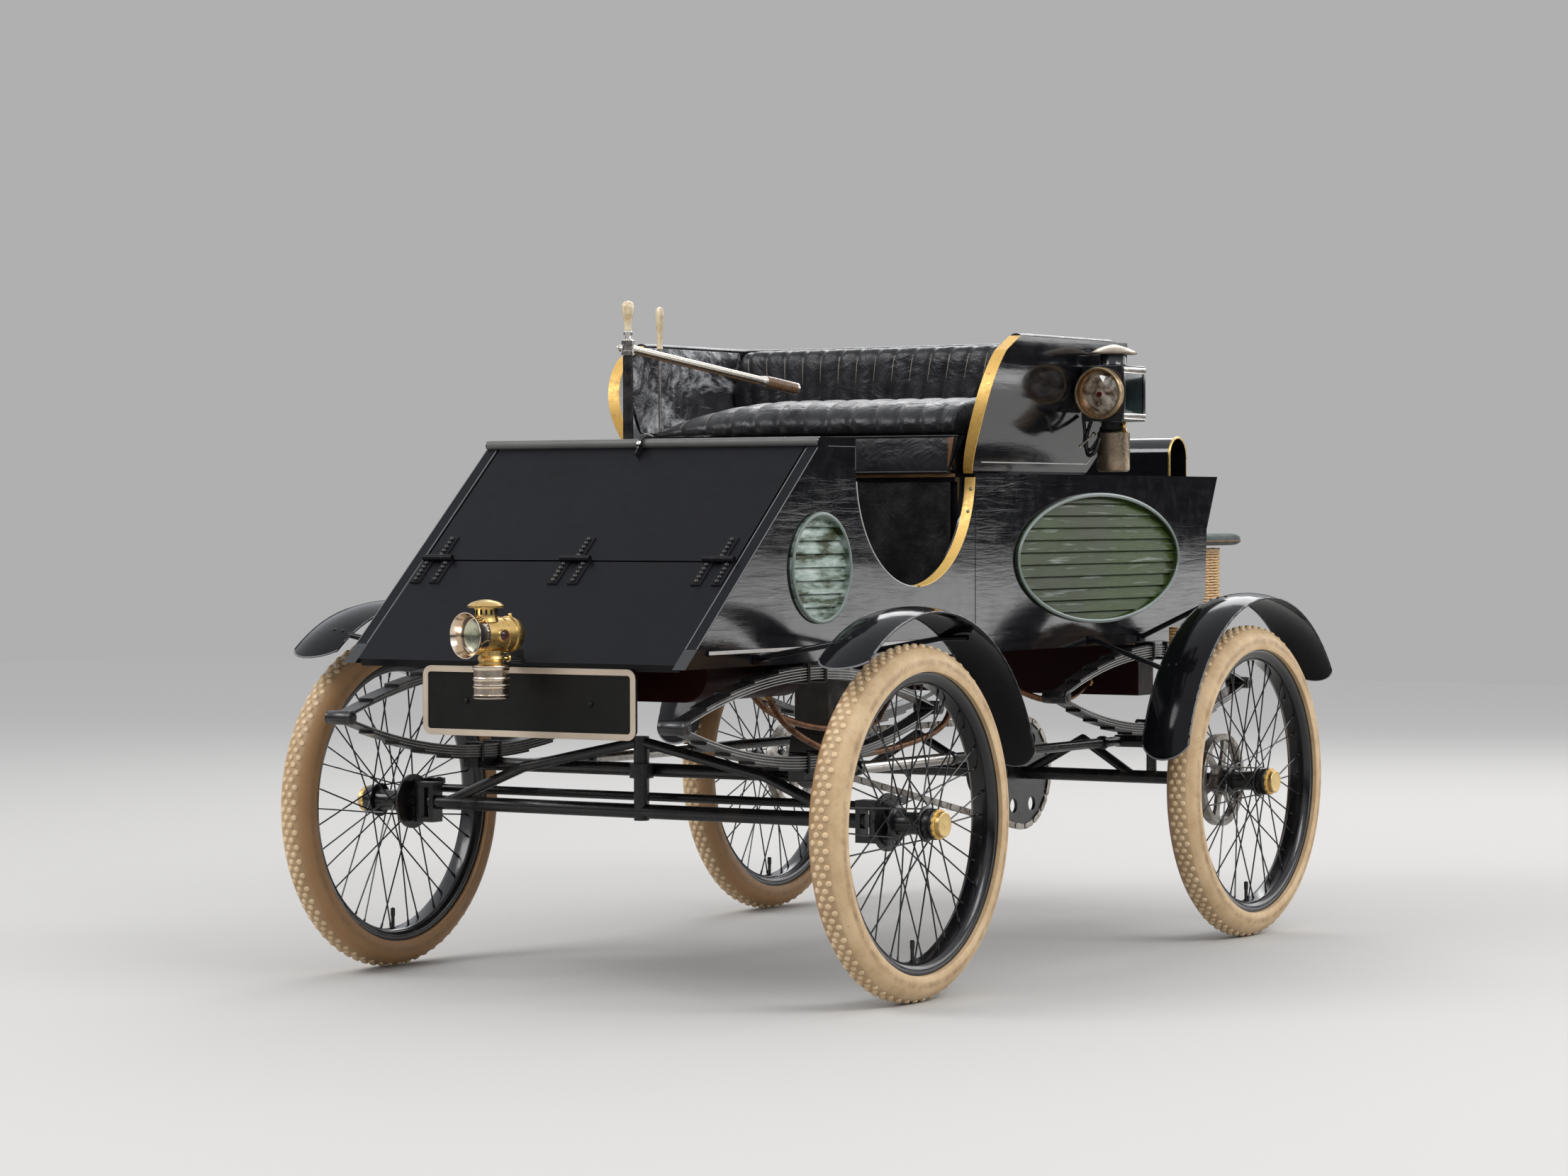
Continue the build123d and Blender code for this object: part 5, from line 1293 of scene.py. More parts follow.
    def drum(self) -> Shape:
        """Makes the brake drum on its spider.

        Returns:
            The shape about the X axis.
        """
        x, r = -self.drum_inset, self.drum_r
        rim = [(x - 11, r - 1), (x - 11, r - 15), (x + 9, r - 15), (x + 11, r - 13), (x + 11, r - 1), (x + 10, r)]
        shape = Shape().hoop(rim, 72)
        arms = 6
        for i in range(arms):
            out = Vector((0, *polar(1, math.tau * (i + 0.25) / arms)))
            path = [tuple(Vector((x, 0, 0)) + out * d) for d in (24, 40, 70, r - 12)]
            shape.sweep(path, flat_bar(10, 4), ACROSS, scales=[1.5, 1, 0.9, 1.4])
        return shape.lathe([(-12, 26), (-11, 34), (11, 34), (12, 26)], (x, 0, 0), ACROSS, 40)

    def build(self, tyre: Tyre) -> None:
        """Makes the wheel's pieces.

        Args:
            tyre: Tyre on the rim.
        """
        self.put("tyre_carcass", tyre.carcass(), Look.rubber[self.side], (f"tyre_{self.name}",), 50)
        self.put("tyre_studs", tyre.studs(), Look.studs, sharp=60)
        self.put("rim", self.rim(), Look.wheel, (f"wheel_{self.name}",))
        self.put("spokes", self.wires(), Look.wheel)
        self.put("hub", self.hub(), Look.wheel)
        self.put("cap_collar", self.collar(), Look.jamb)
        self.put("hub_cap", self.cap(), Look.cap_brass, sharp=25)
        self.put("valve", self.valve(), Look.wheel)
        if self.end is End.REAR:
            self.put("drum", self.drum(), Look.steel)


def through(a: Flat, b: Flat, c: Flat) -> tuple[Flat, float]:
    """Circle through three points.

    Args:
        a: First point.
        b: Second point.
        c: Third point.

    Returns:
        The circle's centre and radius.
    """
    (ax, ay), (bx, by), (cx, cy) = a, b, c
    d = 2 * (ax * (by - cy) + bx * (cy - ay) + cx * (ay - by))
    aa, bb, cc = ax * ax + ay * ay, bx * bx + by * by, cx * cx + cy * cy
    x = (aa * (by - cy) + bb * (cy - ay) + cc * (ay - by)) / d
    y = (aa * (cx - bx) + bb * (ax - cx) + cc * (bx - ax)) / d
    return (x, y), math.hypot(ax - x, ay - y)


def even_loop(corners: Sequence[Flat], spacing: float, passes: int) -> list[Flat]:
    """Closed outline with even points and softened corners.

    Args:
        corners: Corners of the outline.
        spacing: Distance between points.
        passes: How often each point moves towards its neighbours' middle.

    Returns:
        The points of the outline.
    """
    points: list[Flat] = []
    for (ay, az), (by, bz) in zip(corners, [*corners[1:], corners[0]]):
        steps = max(1, round(math.hypot(by - ay, bz - az) / spacing))
        points += [(ay + (by - ay) * i / steps, az + (bz - az) * i / steps) for i in range(steps)]
    for _ in range(passes):
        points = [((points[i - 1][0] + 2 * p[0] + points[(i + 1) % len(points)][0]) / 4,
                   (points[i - 1][1] + 2 * p[1] + points[(i + 1) % len(points)][1]) / 4)
                  for i, p in enumerate(points)]
    return points


def spread(low: float, high: float, steps: int) -> list[float]:
    """Even values from one end to the other."""
    return [low + (high - low) * i / steps for i in range(steps + 1)]


@dataclass
class SeatForm:
    """Curved section of the seat's panels, seen from the front.

    Attributes:
        low: Half width and height at the panels' foot.
        mid: A point of their bow.
        top: Half width and height at the rail.
        wall: Thickness of the panels.
        front: Points of an arm's front edge, in Y and Z.
        rear_low_y: Station of the back's face at the panels' foot.
        rear_top_y: Station of the back's face at the rail.
    """

    low: Flat = (409.0, 1055.0)
    mid: Flat = (478.0, 1180.0)
    top: Flat = (500.0, 1350.0)
    wall: float = 28.0
    front: tuple[Flat, ...] = ((663.0, 1058.0), (592.0, 1200.0), (650.0, 1318.0), (712.0, 1350.0))
    rear_low_y: float = 1172.0
    rear_top_y: float = 1205.0

    def face_x(self, z: float, inset: float = 0.0) -> float:
        """Half width of the panel's outer face at a height, less an inset."""
        (cx, cz), r = through(self.low, self.mid, self.top)
        return cx + math.sqrt(max(r * r - (z - cz) ** 2, 0)) - inset

    def front_y(self, z: float) -> float:
        """Finds the arm's front edge.

        Args:
            z: Height.

        Returns:
            Its station.
        """
        (cy, cz), r = through((self.front[0][0], self.low[1]), self.front[1], self.front[2])
        if z > self.front[2][1]:
            (ay, az), (by, bz) = self.front[2:]
            return ay + (by - ay) * (z - az) / (bz - az)
        return cy - math.sqrt(max(r * r - (z - cz) ** 2, 0))

    def rear_y(self, z: float) -> float:
        """Station of the seat's back at a height."""
        share = (z - self.low[1]) / (self.top[1] - self.low[1])
        return self.rear_low_y + (self.rear_top_y - self.rear_low_y) * share


class Rest(Enum):
    """What a pad rests on."""

    SEAT = "the board below it"
    BACK = "the board below it and the one behind it"


@dataclass
class Pad:
    """Stuffed leather pad, sewn into channels side by side across the car.

    Attributes:
        corners: Side view of the pad, in Y and Z.
        halves: Half widths at the lowest, middle and highest point.
        channels: Number of channels.
        held: What the pad rests on.
        skew: Sideways lean of the seams for each millimetre rearwards or upwards.
        taper: Share of the half width over which the pad thins out to the car's right.
        thin: Square of what is left of its height there.
        soft: Passes that round the side view's corners.
        dip: Depth of the seams.
        swell: How far the stuffing may push the leather out.
        end_share: Share of the half width over which both ends close in.
        end_close: Share of the height that they lose.
    """

    name: str
    node: str
    corners: tuple[Flat, ...]
    halves: tuple[float, float, float]
    channels: int
    held: Rest
    skew: float = 0.0
    taper: float = 0.0
    thin: float = 0.12
    spacing: float = 11.0
    soft: int = 7
    per_channel: int = 6
    dip: float = 7.0
    swell: float = 14.0
    end_share: float = 0.05
    end_close: float = 0.16
    cord_r: float = 1.5
    pressure: float = 4.0

    def __post_init__(self) -> None:
        """Works out the points of the side view, their middle and their foot."""
        self.loop = even_loop(self.corners, self.spacing, self.soft)
        self.middle = tuple(sum(values) / len(self.loop) for values in zip(*self.loop))
        self.foot = min(z for _, z in self.loop)

    def half(self, z: float) -> float:
        """Finds the half width at a height.

        Args:
            z: Height.

        Returns:
            The half width.
        """
        z0, z1 = min(c[1] for c in self.corners), max(c[1] for c in self.corners)
        low, mid, high = self.halves
        share = min(max((z - z0) / (z1 - z0), 0), 1) * 2
        return low + (mid - low) * share if share < 1 else mid + (high - mid) * (share - 1)

    def rests(self, y: float, z: float) -> bool:
        """Tells whether a point of the side view lies on its support.

        Args:
            y: Station of the point.
            z: Height of the point.

        Returns:
            Whether it does.
        """
        ys, zs = [c[0] for c in self.corners], [c[1] for c in self.corners]
        on_seat = z < min(zs) + 4
        return on_seat or (self.held is Rest.BACK and y > sum(sorted(ys)[-2:]) / 2 - 22)

    def fullness(self, u: float) -> float:
        """Finds what is left of the pad's height at a place across it.

        Args:
            u: The place, from -1 at the car's right to 1 at its left.

        Returns:
            The share that is left.
        """
        close = 1 - self.end_close * max(0, (abs(u) - (1 - self.end_share)) / self.end_share) ** 2
        if self.taper and u < self.taper - 1:
            close = min(close, math.sqrt(max(1 - ((self.taper - 1 - u) / self.taper) ** 2, self.thin)))
        return close

    def point(self, u: float, at_seam: bool, y: float, z: float) -> Point:
        """Carries a point of the side view to a place across the pad.

        Args:
            u: The place, from -1 to 1.
            at_seam: Whether a seam runs there.
            y: Station of the point.
            z: Height of the point.

        Returns:
            The point on the pad.
        """
        close = self.fullness(u)
        mid_y, mid_z = self.middle
        lean = self.skew * ((y - mid_y) + (z - mid_z)) * (1 - u ** 4)
        x = u * self.half(z) * (1 - 0.01 * (1 - close)) + lean
        if self.rests(y, z):
            return (x, y, z)
        inward = Vector((mid_y - y, mid_z - z)).normalized()
        pull = self.dip if at_seam else 0
        return (x, mid_y + (y + inward.x * pull - mid_y) * (0.8 + 0.2 * close),
                self.foot + (z + inward.y * pull - self.foot) * close)

    def build(self, finish: Finish, seam_finish: Finish) -> None:
        """Makes the pad and the cords along its seams.

        Args:
            finish: Leather of the pad.
            seam_finish: Rubbed leather of the seams.
        """
        free = [k for k, (y, z) in enumerate(self.loop) if not self.rests(y, z)]
        # The free run starts where the resting one stops.
        start = next((n for n in range(1, len(free)) if free[n] - free[n - 1] > 1), 0)
        run = free[start:] + free[:start]
        count, size = self.channels * self.per_channel, len(self.loop)
        rings, pinned, seams = [], [], []
        for i in range(count + 1):
            at_seam = i % self.per_channel == 0
            rings.append([self.point(2 * i / count - 1, at_seam, y, z) for y, z in self.loop])
            pinned += [i * size + k for k in range(size) if at_seam or k not in free]
            if at_seam and 0 < i < count:
                seams.append([i * size + k for k in run])
        piece = Piece(self.name, Shape().rings(rings), finish, stands_for=(self.node,), sharp=75, subdivide=1)
        made = piece.mesh()
        inflate(made, pinned, self.pressure, self.swell * MM)
        cords = Shape()
        for seam in seams:
            cords.tube([from_frame(made.data.vertices[k].co) for k in seam], self.cord_r, 6)
        piece.finish_off(made)
        Piece(f"{self.name}_seams", cords, seam_finish, sharp=80).make()


def inflate(piece: bpy.types.Object, held: Sequence[int], pressure: float, reach: float,
            frames: int = 20) -> None:
    """Swells a closed mesh by cloth simulation and keeps the result.

    Args:
        piece: Object whose mesh swells.
        held: Vertices that stay where they are.
        pressure: Inner pressure.
        reach: Farthest that a vertex may move, in metres.
        frames: Frames that the simulation runs.
    """
    mesh, scene = piece.data, bpy.context.scene
    rest = [v.co.copy() for v in mesh.vertices]
    group = piece.vertex_groups.new(name="seams")
    group.add(list(held), 1.0, "REPLACE")
    fill = piece.modifiers.new("fill", "CLOTH")
    fill.settings.vertex_group_mass = group.name
    fill.settings.use_pressure = True
    fill.settings.uniform_pressure_force = pressure
    fill.settings.effector_weights.gravity = 0.0
    fill.settings.quality = 4
    fill.collision_settings.use_collision = False
    fill.point_cache.frame_start, fill.point_cache.frame_end = 1, frames
    for step in range(1, frames + 1):
        scene.frame_set(step)
    swollen = piece.evaluated_get(bpy.context.evaluated_depsgraph_get()).to_mesh()
    moved = [v.co.copy() for v in swollen.vertices]
    piece.modifiers.remove(fill)
    piece.vertex_groups.remove(group)
    scene.frame_set(1)
    for vert, start, end in zip(mesh.vertices, rest, moved):
        step = end - start
        vert.co = start + step * min(1, reach / max(step.length, 1e-9))


@dataclass
class Upholstery:
    """Cushions, arm linings, boxing and the curtain under the seat.

    Attributes:
        seat: Form of the seat.
        lining_y: First and last station of an arm's lining.
        lining_z: Its foot and its top.
        boxing_y: Station of the band under the cushion.
        boxing_z: Foot and top of the band.
        boxing_half: Half width of the band at its foot.
        boxing_flare: What it gains in half width for each millimetre upwards.
        riser_y: Station of the board behind the curtain.
        curtain_half: Half width of the curtain.
        curtain_z: Its foot and its top.
    """

    seat: SeatForm
    lining_y: Flat = (640.0, 1110.0)
    lining_z: Flat = (1150.0, 1347.0)
    boxing_y: float = 612.0
    boxing_z: Flat = (1056.0, 1136.0)
    boxing_half: float = 378.0
    boxing_flare: float = 0.36
    riser_y: float = 640.0
    curtain_half: float = 372.0
    curtain_z: Flat = (738.0, 1046.0)

    def cushions(self) -> None:
        """Makes the seat cushion and the pleated back cushion."""
        seat_view = ((600, 1137), (1030, 1137), (1030, 1190), (900, 1216), (760, 1222),
                     (650, 1208), (598, 1178))
        Pad("seat_cushion_leather", "seat_cushion", seat_view, (398, 405, 408), 13, Rest.SEAT, skew=-0.2,
            taper=0.8).build(Look.seat_leather, Look.worn_seam)
        back_view = ((1040, 1056), (1141, 1056), (1168, 1349), (1046, 1349))
        Pad("back_cushion_leather", "back_cushion", back_view, (374, 440, 466), 19, Rest.BACK,
            skew=0.12, taper=0.09, thin=0.55, swell=10).build(Look.back_leather, Look.worn_seam)

    def lining(self, side: Side) -> None:
        """Makes the wrinkled leather inside an arm, rolled over its rail, with painted sheen in its colour.

        Args:
            side: Side of the car.
        """
        rings = []
        steps_y, steps_z = 60, 30
        for i, y in enumerate(spread(*self.lining_y, steps_y)):
            inner, outer = [], []
            for j, z in enumerate(spread(*self.lining_z, steps_z)):
                back = max(self.seat.front_y(z) + 6 - y, 0)
                x = self.seat.face_x(z, self.seat.wall)
                folds = 4.6 * noise.noise(Vector((y * 0.021 + z * 0.016, z * 0.004, 1)))
                folds += 2.8 * noise.noise(Vector((y * 0.06 - z * 0.03, z * 0.017, 7)))
                edge = min(1, i / 3, (steps_y - i) / 3, j / 2, (steps_z - j) / 2)
                inner.append((side.value * (x - 1.2 - (6.5 + folds) * edge), y + back, z))
                outer.append((side.value * (x - 0.3), y + back, z))
            rings.append(inner + outer[::-1])
        piece = Piece(f"arm_lining_{side.name.lower()}", Shape().rings(rings), Look.arm_leather, sharp=70,
                      subdivide=1).make()

    def rail_roll(self) -> None:
        """Makes the rolled leather edge round the top of the seat's panels."""
        seat, turn = self.seat, 60
        x, z = seat.top[0] - seat.wall / 2, seat.top[1] + 1
        back_y = seat.rear_top_y - seat.wall / 2
        corner = [(x - turn + turn * math.cos(a), back_y - turn + turn * math.sin(a), z)
                  for a in (math.radians(d) for d in range(0, 91, 15))]
        half = [(x, 716, z - 1), (x, 760, z), (x, 900, z), (x, 1040, z), *corner]
        path = half + [(-px, py, pz) for px, py, pz in half[::-1]]
        Piece("rail_roll", Shape().sweep(path, oval(13, 5.5, 10), UP), Look.rail_leather, sharp=70).make()

    def boxing(self) -> None:
        """Makes the leather band under the cushion, with its piping and the board's edge below it."""
        (low, top), y = self.boxing_z, self.boxing_y
        rings = []
        for u in spread(-1, 1, 90):
            ring = []
            for z, out in ((low, 0.6), (low + 8, 3.4), (low + 30, 5), (low + 55, 4.6), (top - 6, 3), (top, 0.6)):
                half = self.boxing_half + (z - low) * self.boxing_flare
                wave = 1.6 * noise.noise(Vector((u * 9, z * 0.03, 3)))
                ring.append((u * half, y - out - wave * (out > 1), z))
            rings.append(ring + [(px, y - 0.1, pz) for px, _, pz in ring[::-1]])
        band = Piece("boxing_leather", Shape().rings(rings), Look.seat_leather, sharp=70, subdivide=1).make()
        piping = Shape()
        for z, half in ((low + 2, self.boxing_half), (top - 1, 405)):
            piping.tube([(-half, y - 3, z), (0, y - 3, z), (half, y - 3, z)], 2.6, 8)
        Piece("boxing_piping", piping, Look.seat_leather, sharp=80).make()
        self.flap()
        board = Shape().slab((-384, 628, 1047), (384, 632.5, 1054.5), 1.5)
        Piece("seat_board_edge", board, Look.edge_wood).make()

    def flap(self) -> None:
        """Makes the brown flap at the band's left end."""
        y, top = self.boxing_y, self.boxing_z[1]
        curve = smooth_path([(388, y - 6, top - 4), (389, y - 9, top - 20), (386, y - 9, top - 44),
                             (381, y - 7, top - 66)])
        widths = [1 - 0.85 * i / (len(curve) - 1) for i in range(len(curve))]
        flap = Shape().sweep(curve, flat_bar(8, 1.4), (0, -1, 0), scales=widths)
        Piece("boxing_flap", flap, Look.brown_leather, sharp=60).make()

    def curtain(self) -> None:
        """Makes the leather curtain hung in front of the riser, with slanting folds."""
        low, top = self.curtain_z
        across, down = 96, 34
        rows: list[list[Point]] = []
        for j in range(down + 1):
            t = j / down
            row = []
            for x in spread(-self.curtain_half, self.curtain_half, across):
                fold = math.sin(x * 0.052 + t * 5.2) * 0.6 + noise.noise(Vector((x * 0.013, t * 2, 5)))
                row.append((x, self.riser_y - 7.5 - 5 * fold * min(1, 0.25 + t * 1.4), top - (top - low) * t))
            rows.append(row)
        made = Piece("seat_curtain", Shape().rings(rows, closed=False), Look.valance_leather, sharp=80).make()
        body = made.modifiers.new("thickness", "SOLIDIFY")
        body.thickness = 1.6 * MM
        body.offset = 0.0

    def build(self) -> None:
        """Makes all the soft pieces."""
        self.cushions()
        for side in Side:
            self.lining(side)
        self.rail_roll()
        self.boxing()
        self.curtain()


def bolt_head(r: float) -> list[Flat]:
    """Profile of a round bolt head of a radius."""
    return [(-0.5, r), (1.2, r), (3.2, r * 0.86), (4.6, r * 0.55), (5.2, 0)]


@dataclass
class Coachwork:
    """Trim of the body: beads, lines, hinges, vent rims, the step's facing and the ledge.

    Attributes:
        half: Half width of the body.
        nose: Foot of the front slope, in Y and Z.
        crest: Top of the front slope, in Y and Z.
        seam_at: Distance up the slope to the seam between the lid's leaves.
        hinge_xs: Places of the lid's hinges.
        step: Centre in Y and Z and half sizes of the step's opening.
        vents: The same for the louvred openings.
    """

    half: float = 415.0
    nose: Flat = (-450.0, 679.0)
    crest: Flat = (50.0, 1124.0)
    seam_at: float = 294.8
    hinge_xs: tuple[float, ...] = (-345.0, 0.0, 345.0)
    step: tuple[float, float, float, float] = (417.0, 1055.0, 246.0, 240.0)
    vents: tuple[tuple[float, float, float, float], ...] = ((31.0, 860.0, 115.0, 113.0),
                                                            (1230, 868, 389, 147))

    def on_slope(self, distance: float, out: float = 0.0) -> Flat:
        """Finds a point on the front slope.

        Args:
            distance: How far up from the slope's foot.
            out: How far out from its face.

        Returns:
            The point's station and height.
        """
        run, climb = self.crest[0] - self.nose[0], self.crest[1] - self.nose[1]
        length = math.hypot(run, climb)
        c, s = run / length, climb / length
        return (self.nose[0] + distance * c - out * s, self.nose[1] + distance * s + out * c)

    def hinge_bolts(self) -> None:
        """Makes round bolt heads close together along each hinge strap."""
        upper, lower = Shape(), Shape()
        (foot_y, foot_z), (out_y, out_z) = self.on_slope(0), self.on_slope(0, 1)
        out = tuple(Vector((0, out_y - foot_y, out_z - foot_z)))
        first, pitch, proud, r = 13, 12, 3, 5.4
        for x in self.hinge_xs:
            for k in range(5):
                up = self.on_slope(self.seam_at + first + pitch * k, proud)
                down = self.on_slope(self.seam_at - first - pitch * k, proud)
                upper.lathe(bolt_head(r), (x, *up), out, 14)
                for dx in (-24, 24):
                    lower.lathe(bolt_head(r), (x + dx, *down), out, 14)
        Piece("hinge_bolts_upper", upper, Look.iron, "lid_upper", sharp=50).make()
        Piece("hinge_bolts_lower", lower, Look.iron, sharp=50).make()

    def slope_lines(self) -> None:
        """Makes two fine pale lines on each cheek's sloping edge, painted highlights along its black beads, and
        those of its top and rear edges.
        """
        lines, strips = Shape(), Shape()
        for side in Side:
            foot, head = self.on_slope(44, 0.15), self.on_slope(638, 0.15)
            strips.sweep([(side.value * 400.5, *foot), (side.value * 400.5, *head)], flat_bar(13.6, 0.3),
                         (0, -0.665, 0.747))
            for x in (387.5, 413.5):
                points = [(side.value * x, *self.on_slope(d, 0.4)) for d in (44, 340, 636)]
                lines.tube(points, 1, 6)
            x = side.value * 414.3
            lines.tube([(x, 64, 1106), (x, 169.6, 1106)], 0.9, 6)
            x = side.value * 414.4
            lines.tube([(x, 169.4, 1104), (x, 169.4, 1058)], 1.1, 6)
        Piece("edge_lines", lines, Look.faint, sharp=80).make()
        Piece("edge_strips", strips, Look.lid, sharp=30).make()

    def sill_line(self) -> None:
        """Makes the pale line along the bead at each side's foot, and the dark seam between its panels."""
        line, seam = Shape(), Shape()
        for side in Side:
            low, high = sorted((side.value * (self.half + 5), side.value * (self.half + 6.2)))
            line.slab((low, -385, 696.5), (high, 505, 703.5), 0.5)
            low, high = sorted((side.value * (self.half - 1), side.value * (self.half + 0.35)))
            seam.slab((low, 662.8, 706), (high, 665.2, 1054), 0.3)
        Piece("sill_line", line, Look.lining, sharp=50).make()
        Piece("panel_seams", seam, Look.groove, sharp=50).make()

    def ledge_roll(self) -> None:
        """Makes the grey covered roll along the front of the ledge."""
        y, z, r, half = 34.9, 1115, 9.8, 413
        end = [(0, r - 2), (1, r - 0.6), (3, r)]
        profile = end + [(2 * half - d, radius) for d, radius in end[::-1]]
        Piece("ledge_roll", Shape().lathe(profile, (-half, y, z), ACROSS, 32), Look.nosing).make()

    def lid_hook(self) -> None:
        """Makes the hook on the ledge that holds the lid, with its nickel tip."""
        x = -15
        path = smooth_path([(x, 74, 1125.6), (x, 50, 1127), (x, 30, 1127.5), (x, 21, 1118),
                            (x, 18, 1104), (x, 7, 1090)])
        hook = Shape().sweep(path, flat_bar(7, 1.6), (-1, 0, 0))
        hook.tube([(x, 64, 1129), (x, 40, 1133), (x, 24, 1128), (x, 16, 1117)], 4.2, 10)
        Piece("lid_hook", hook, Look.iron).make()
        tip = [(0, 3), (0.6, 4.8), (6, 5.4), (9, 4.4), (10.5, 0)]
        Piece("lid_hook_tip", Shape().lathe(tip, (x, 17.5, 1119), (0, -0.55, -0.84), 16), Look.nickel).make()

    def vent_rims(self) -> None:
        """Makes rounded glossy rims round the louvred openings, whose pale green-grey with paler edges is a painted
        highlight.
        """
        shape = Shape()
        inset = 4.5
        for y, z, a, b in self.vents:
            for side in Side:
                x = side.value * (self.half + 5.6)
                path = [(x, y + dy, z + dz) for dy, dz in oval(a - inset, b - inset, 120)]
                shape.sweep(path, oval(4.6, 3.2, 12), ACROSS, loop=True)
        Piece("vent_rims", shape, Look.rim_gloss, sharp=70).make()

    def step_arc(self, x: float, inset: float, start: float) -> list[Point]:
        """Draws a quarter of the step opening's edge.

        Args:
            x: Place of the arc across the car.
            inset: How far inside the opening it runs.
            start: Angle in degrees below the opening's rear end at which it starts.

        Returns:
            The arc's points.
        """
        cy, cz, a, b = self.step
        turns = (-math.radians(start + 3.4 * i) for i in range(26))
        return [(x, cy + (a - inset) * math.cos(t), cz + (b - inset) * math.sin(t)) for t in turns]

    def step_facing(self) -> None:
        """Makes the brass strip round each step opening's rear with its pins, and the bead round its front."""
        cy, cz, a, b = self.step
        facing, bead, pins = Shape(), Shape(), Shape()
        for side in Side:
            x = side.value * (self.half - 11.4)
            facing.sweep(self.step_arc(x, 1.4, 2), flat_bar(1.2, 12.2), ACROSS)
            bead.tube(self.step_arc(side.value * (self.half - 0.6), 1, 90), 1.9, 8)
            for t in (math.radians(-8), math.radians(-20)):
                centre = (x + side.value * 4, cy + (a - 3) * math.cos(t), cz + (b - 3) * math.sin(t))
                pins.dome(centre, (0, -math.cos(t), -math.sin(t)), 4.2, 2.6, 12)
        Piece("step_facing", facing, Look.jamb).make()
        Piece("step_bead", bead, Look.lining, sharp=70).make()
        Piece("step_pins", pins, Look.steel).make()

    def seat_lines(self, seat: SeatForm) -> None:
        """Makes the pale bead that follows the foot and the raked rear edge of each seat side.

        Args:
            seat: Form of the seat.
        """
        shape = Shape()
        low, high = 1079, 1330
        for side in Side:
            points = [(side.value * (seat.face_x(low) + 0.3), y, low) for y in spread(668, 1146, 23)]
            points += [(side.value * (seat.face_x(z) + 0.3), seat.rear_y(z) - 22, z)
                       for z in spread(low, high, 17)[1:]]
            shape.tube(points, 1.5, 8)
        Piece("seat_lines", shape, Look.lining, sharp=80).make()

    def hood_bead(self) -> None:
        """Makes the brass arch on each end of the flue hood."""
        shape = Shape()
        y, half, r, foot, straight = 1764, 345, 43, 1055, 50
        for side in Side:
            x = side.value * (half - 2)
            arch = [(x, y + r * math.cos(t), foot + straight + r * math.sin(t))
                    for t in (math.pi * i / 18 for i in range(19))]
            shape.tube([(x, y + r, foot + 2), (x, y + r, foot + straight / 2), *arch,
                        (x, y - r, foot + straight / 2), (x, y - r, foot + 2)], 3, 10)
        Piece("hood_beads", shape, Look.brass, sharp=70).make()

    def plate_trim(self) -> None:
        """Makes the bolt heads on the blank number plate and its painted border."""
        shape = Shape()
        for x in (-120, 180):
            shape.lathe(bolt_head(6), (x, -440, 599), (0, -1, 0), 14)
        Piece("plate_bolts", shape, Look.plate, sharp=50).make()
        left, right, low, high, r = 268, -208, 549, 649, 13
        loop = []
        for cx, cz, start in ((right, high, 90), (right, low, 180), (left, low, 270), (left, high, 0)):
            for step in range(6):
                a = math.radians(start + 18 * step)
                loop.append((cx + r * math.cos(a), -441.9, cz + r * math.sin(a)))
        border = Shape().sweep(loop[::-1], [(-6.4, -0.8), (6.4, -0.8), (5.8, 0.6), (-5.8, 0.6)],
                               (0, -1, 0), loop=True)
        Piece("plate_border", border, Look.plate_edge, sharp=50).make()

    def build(self, seat: SeatForm) -> None:
        """Makes the trim.

        Args:
            seat: Form of the seat.
        """
        self.hinge_bolts()
        self.slope_lines()
        self.sill_line()
        self.ledge_roll()
        self.lid_hook()
        self.vent_rims()
        self.step_facing()
        self.seat_lines(seat)
        self.hood_bead()
        self.plate_trim()


class Lamp:
    """A lamp, whose pieces are drawn about its own axes and then put on the car."""

    @property
    def name(self) -> str:
        """First part of the name of each piece."""
        raise NotImplementedError

    def placed(self, shape: Shape) -> Shape:
        """A shape put in its place on the car."""
        raise NotImplementedError

    def put(self, name: str, shape: Shape, finish: Finish, stands_for: tuple[str, ...] = ()) -> None:
        """Makes one piece of the lamp in its place.

        Args:
            name: Last part of the piece's name.
            shape: The shape.
            finish: Its finish.
            stands_for: Nodes that it replaces.
        """
        piece = Piece(f"{self.name}_{name}", self.placed(shape), finish, stands_for=stands_for, sharp=32)
        piece.make()

    def turned(self, name: str, profile: Sequence[Flat], finish: Finish, sides: int, start: Point = ORIGIN,
               axis: Point = UP, ring: bool = False, stands_for: tuple[str, ...] = ()) -> None:
        """Makes one turned piece of the lamp.

        Args:
            name: Last part of the piece's name.
            profile: Pairs of distance along the axis and radius.
            finish: Its finish.
            sides: Facets round the axis.
            start: Where the distances are counted from.
            axis: Direction of the axis.
            ring: Whether the profile closes on itself.
            stands_for: Nodes that it replaces.
        """
        self.put(name, Shape().lathe(profile, start, axis, sides, ring), finish, stands_for)


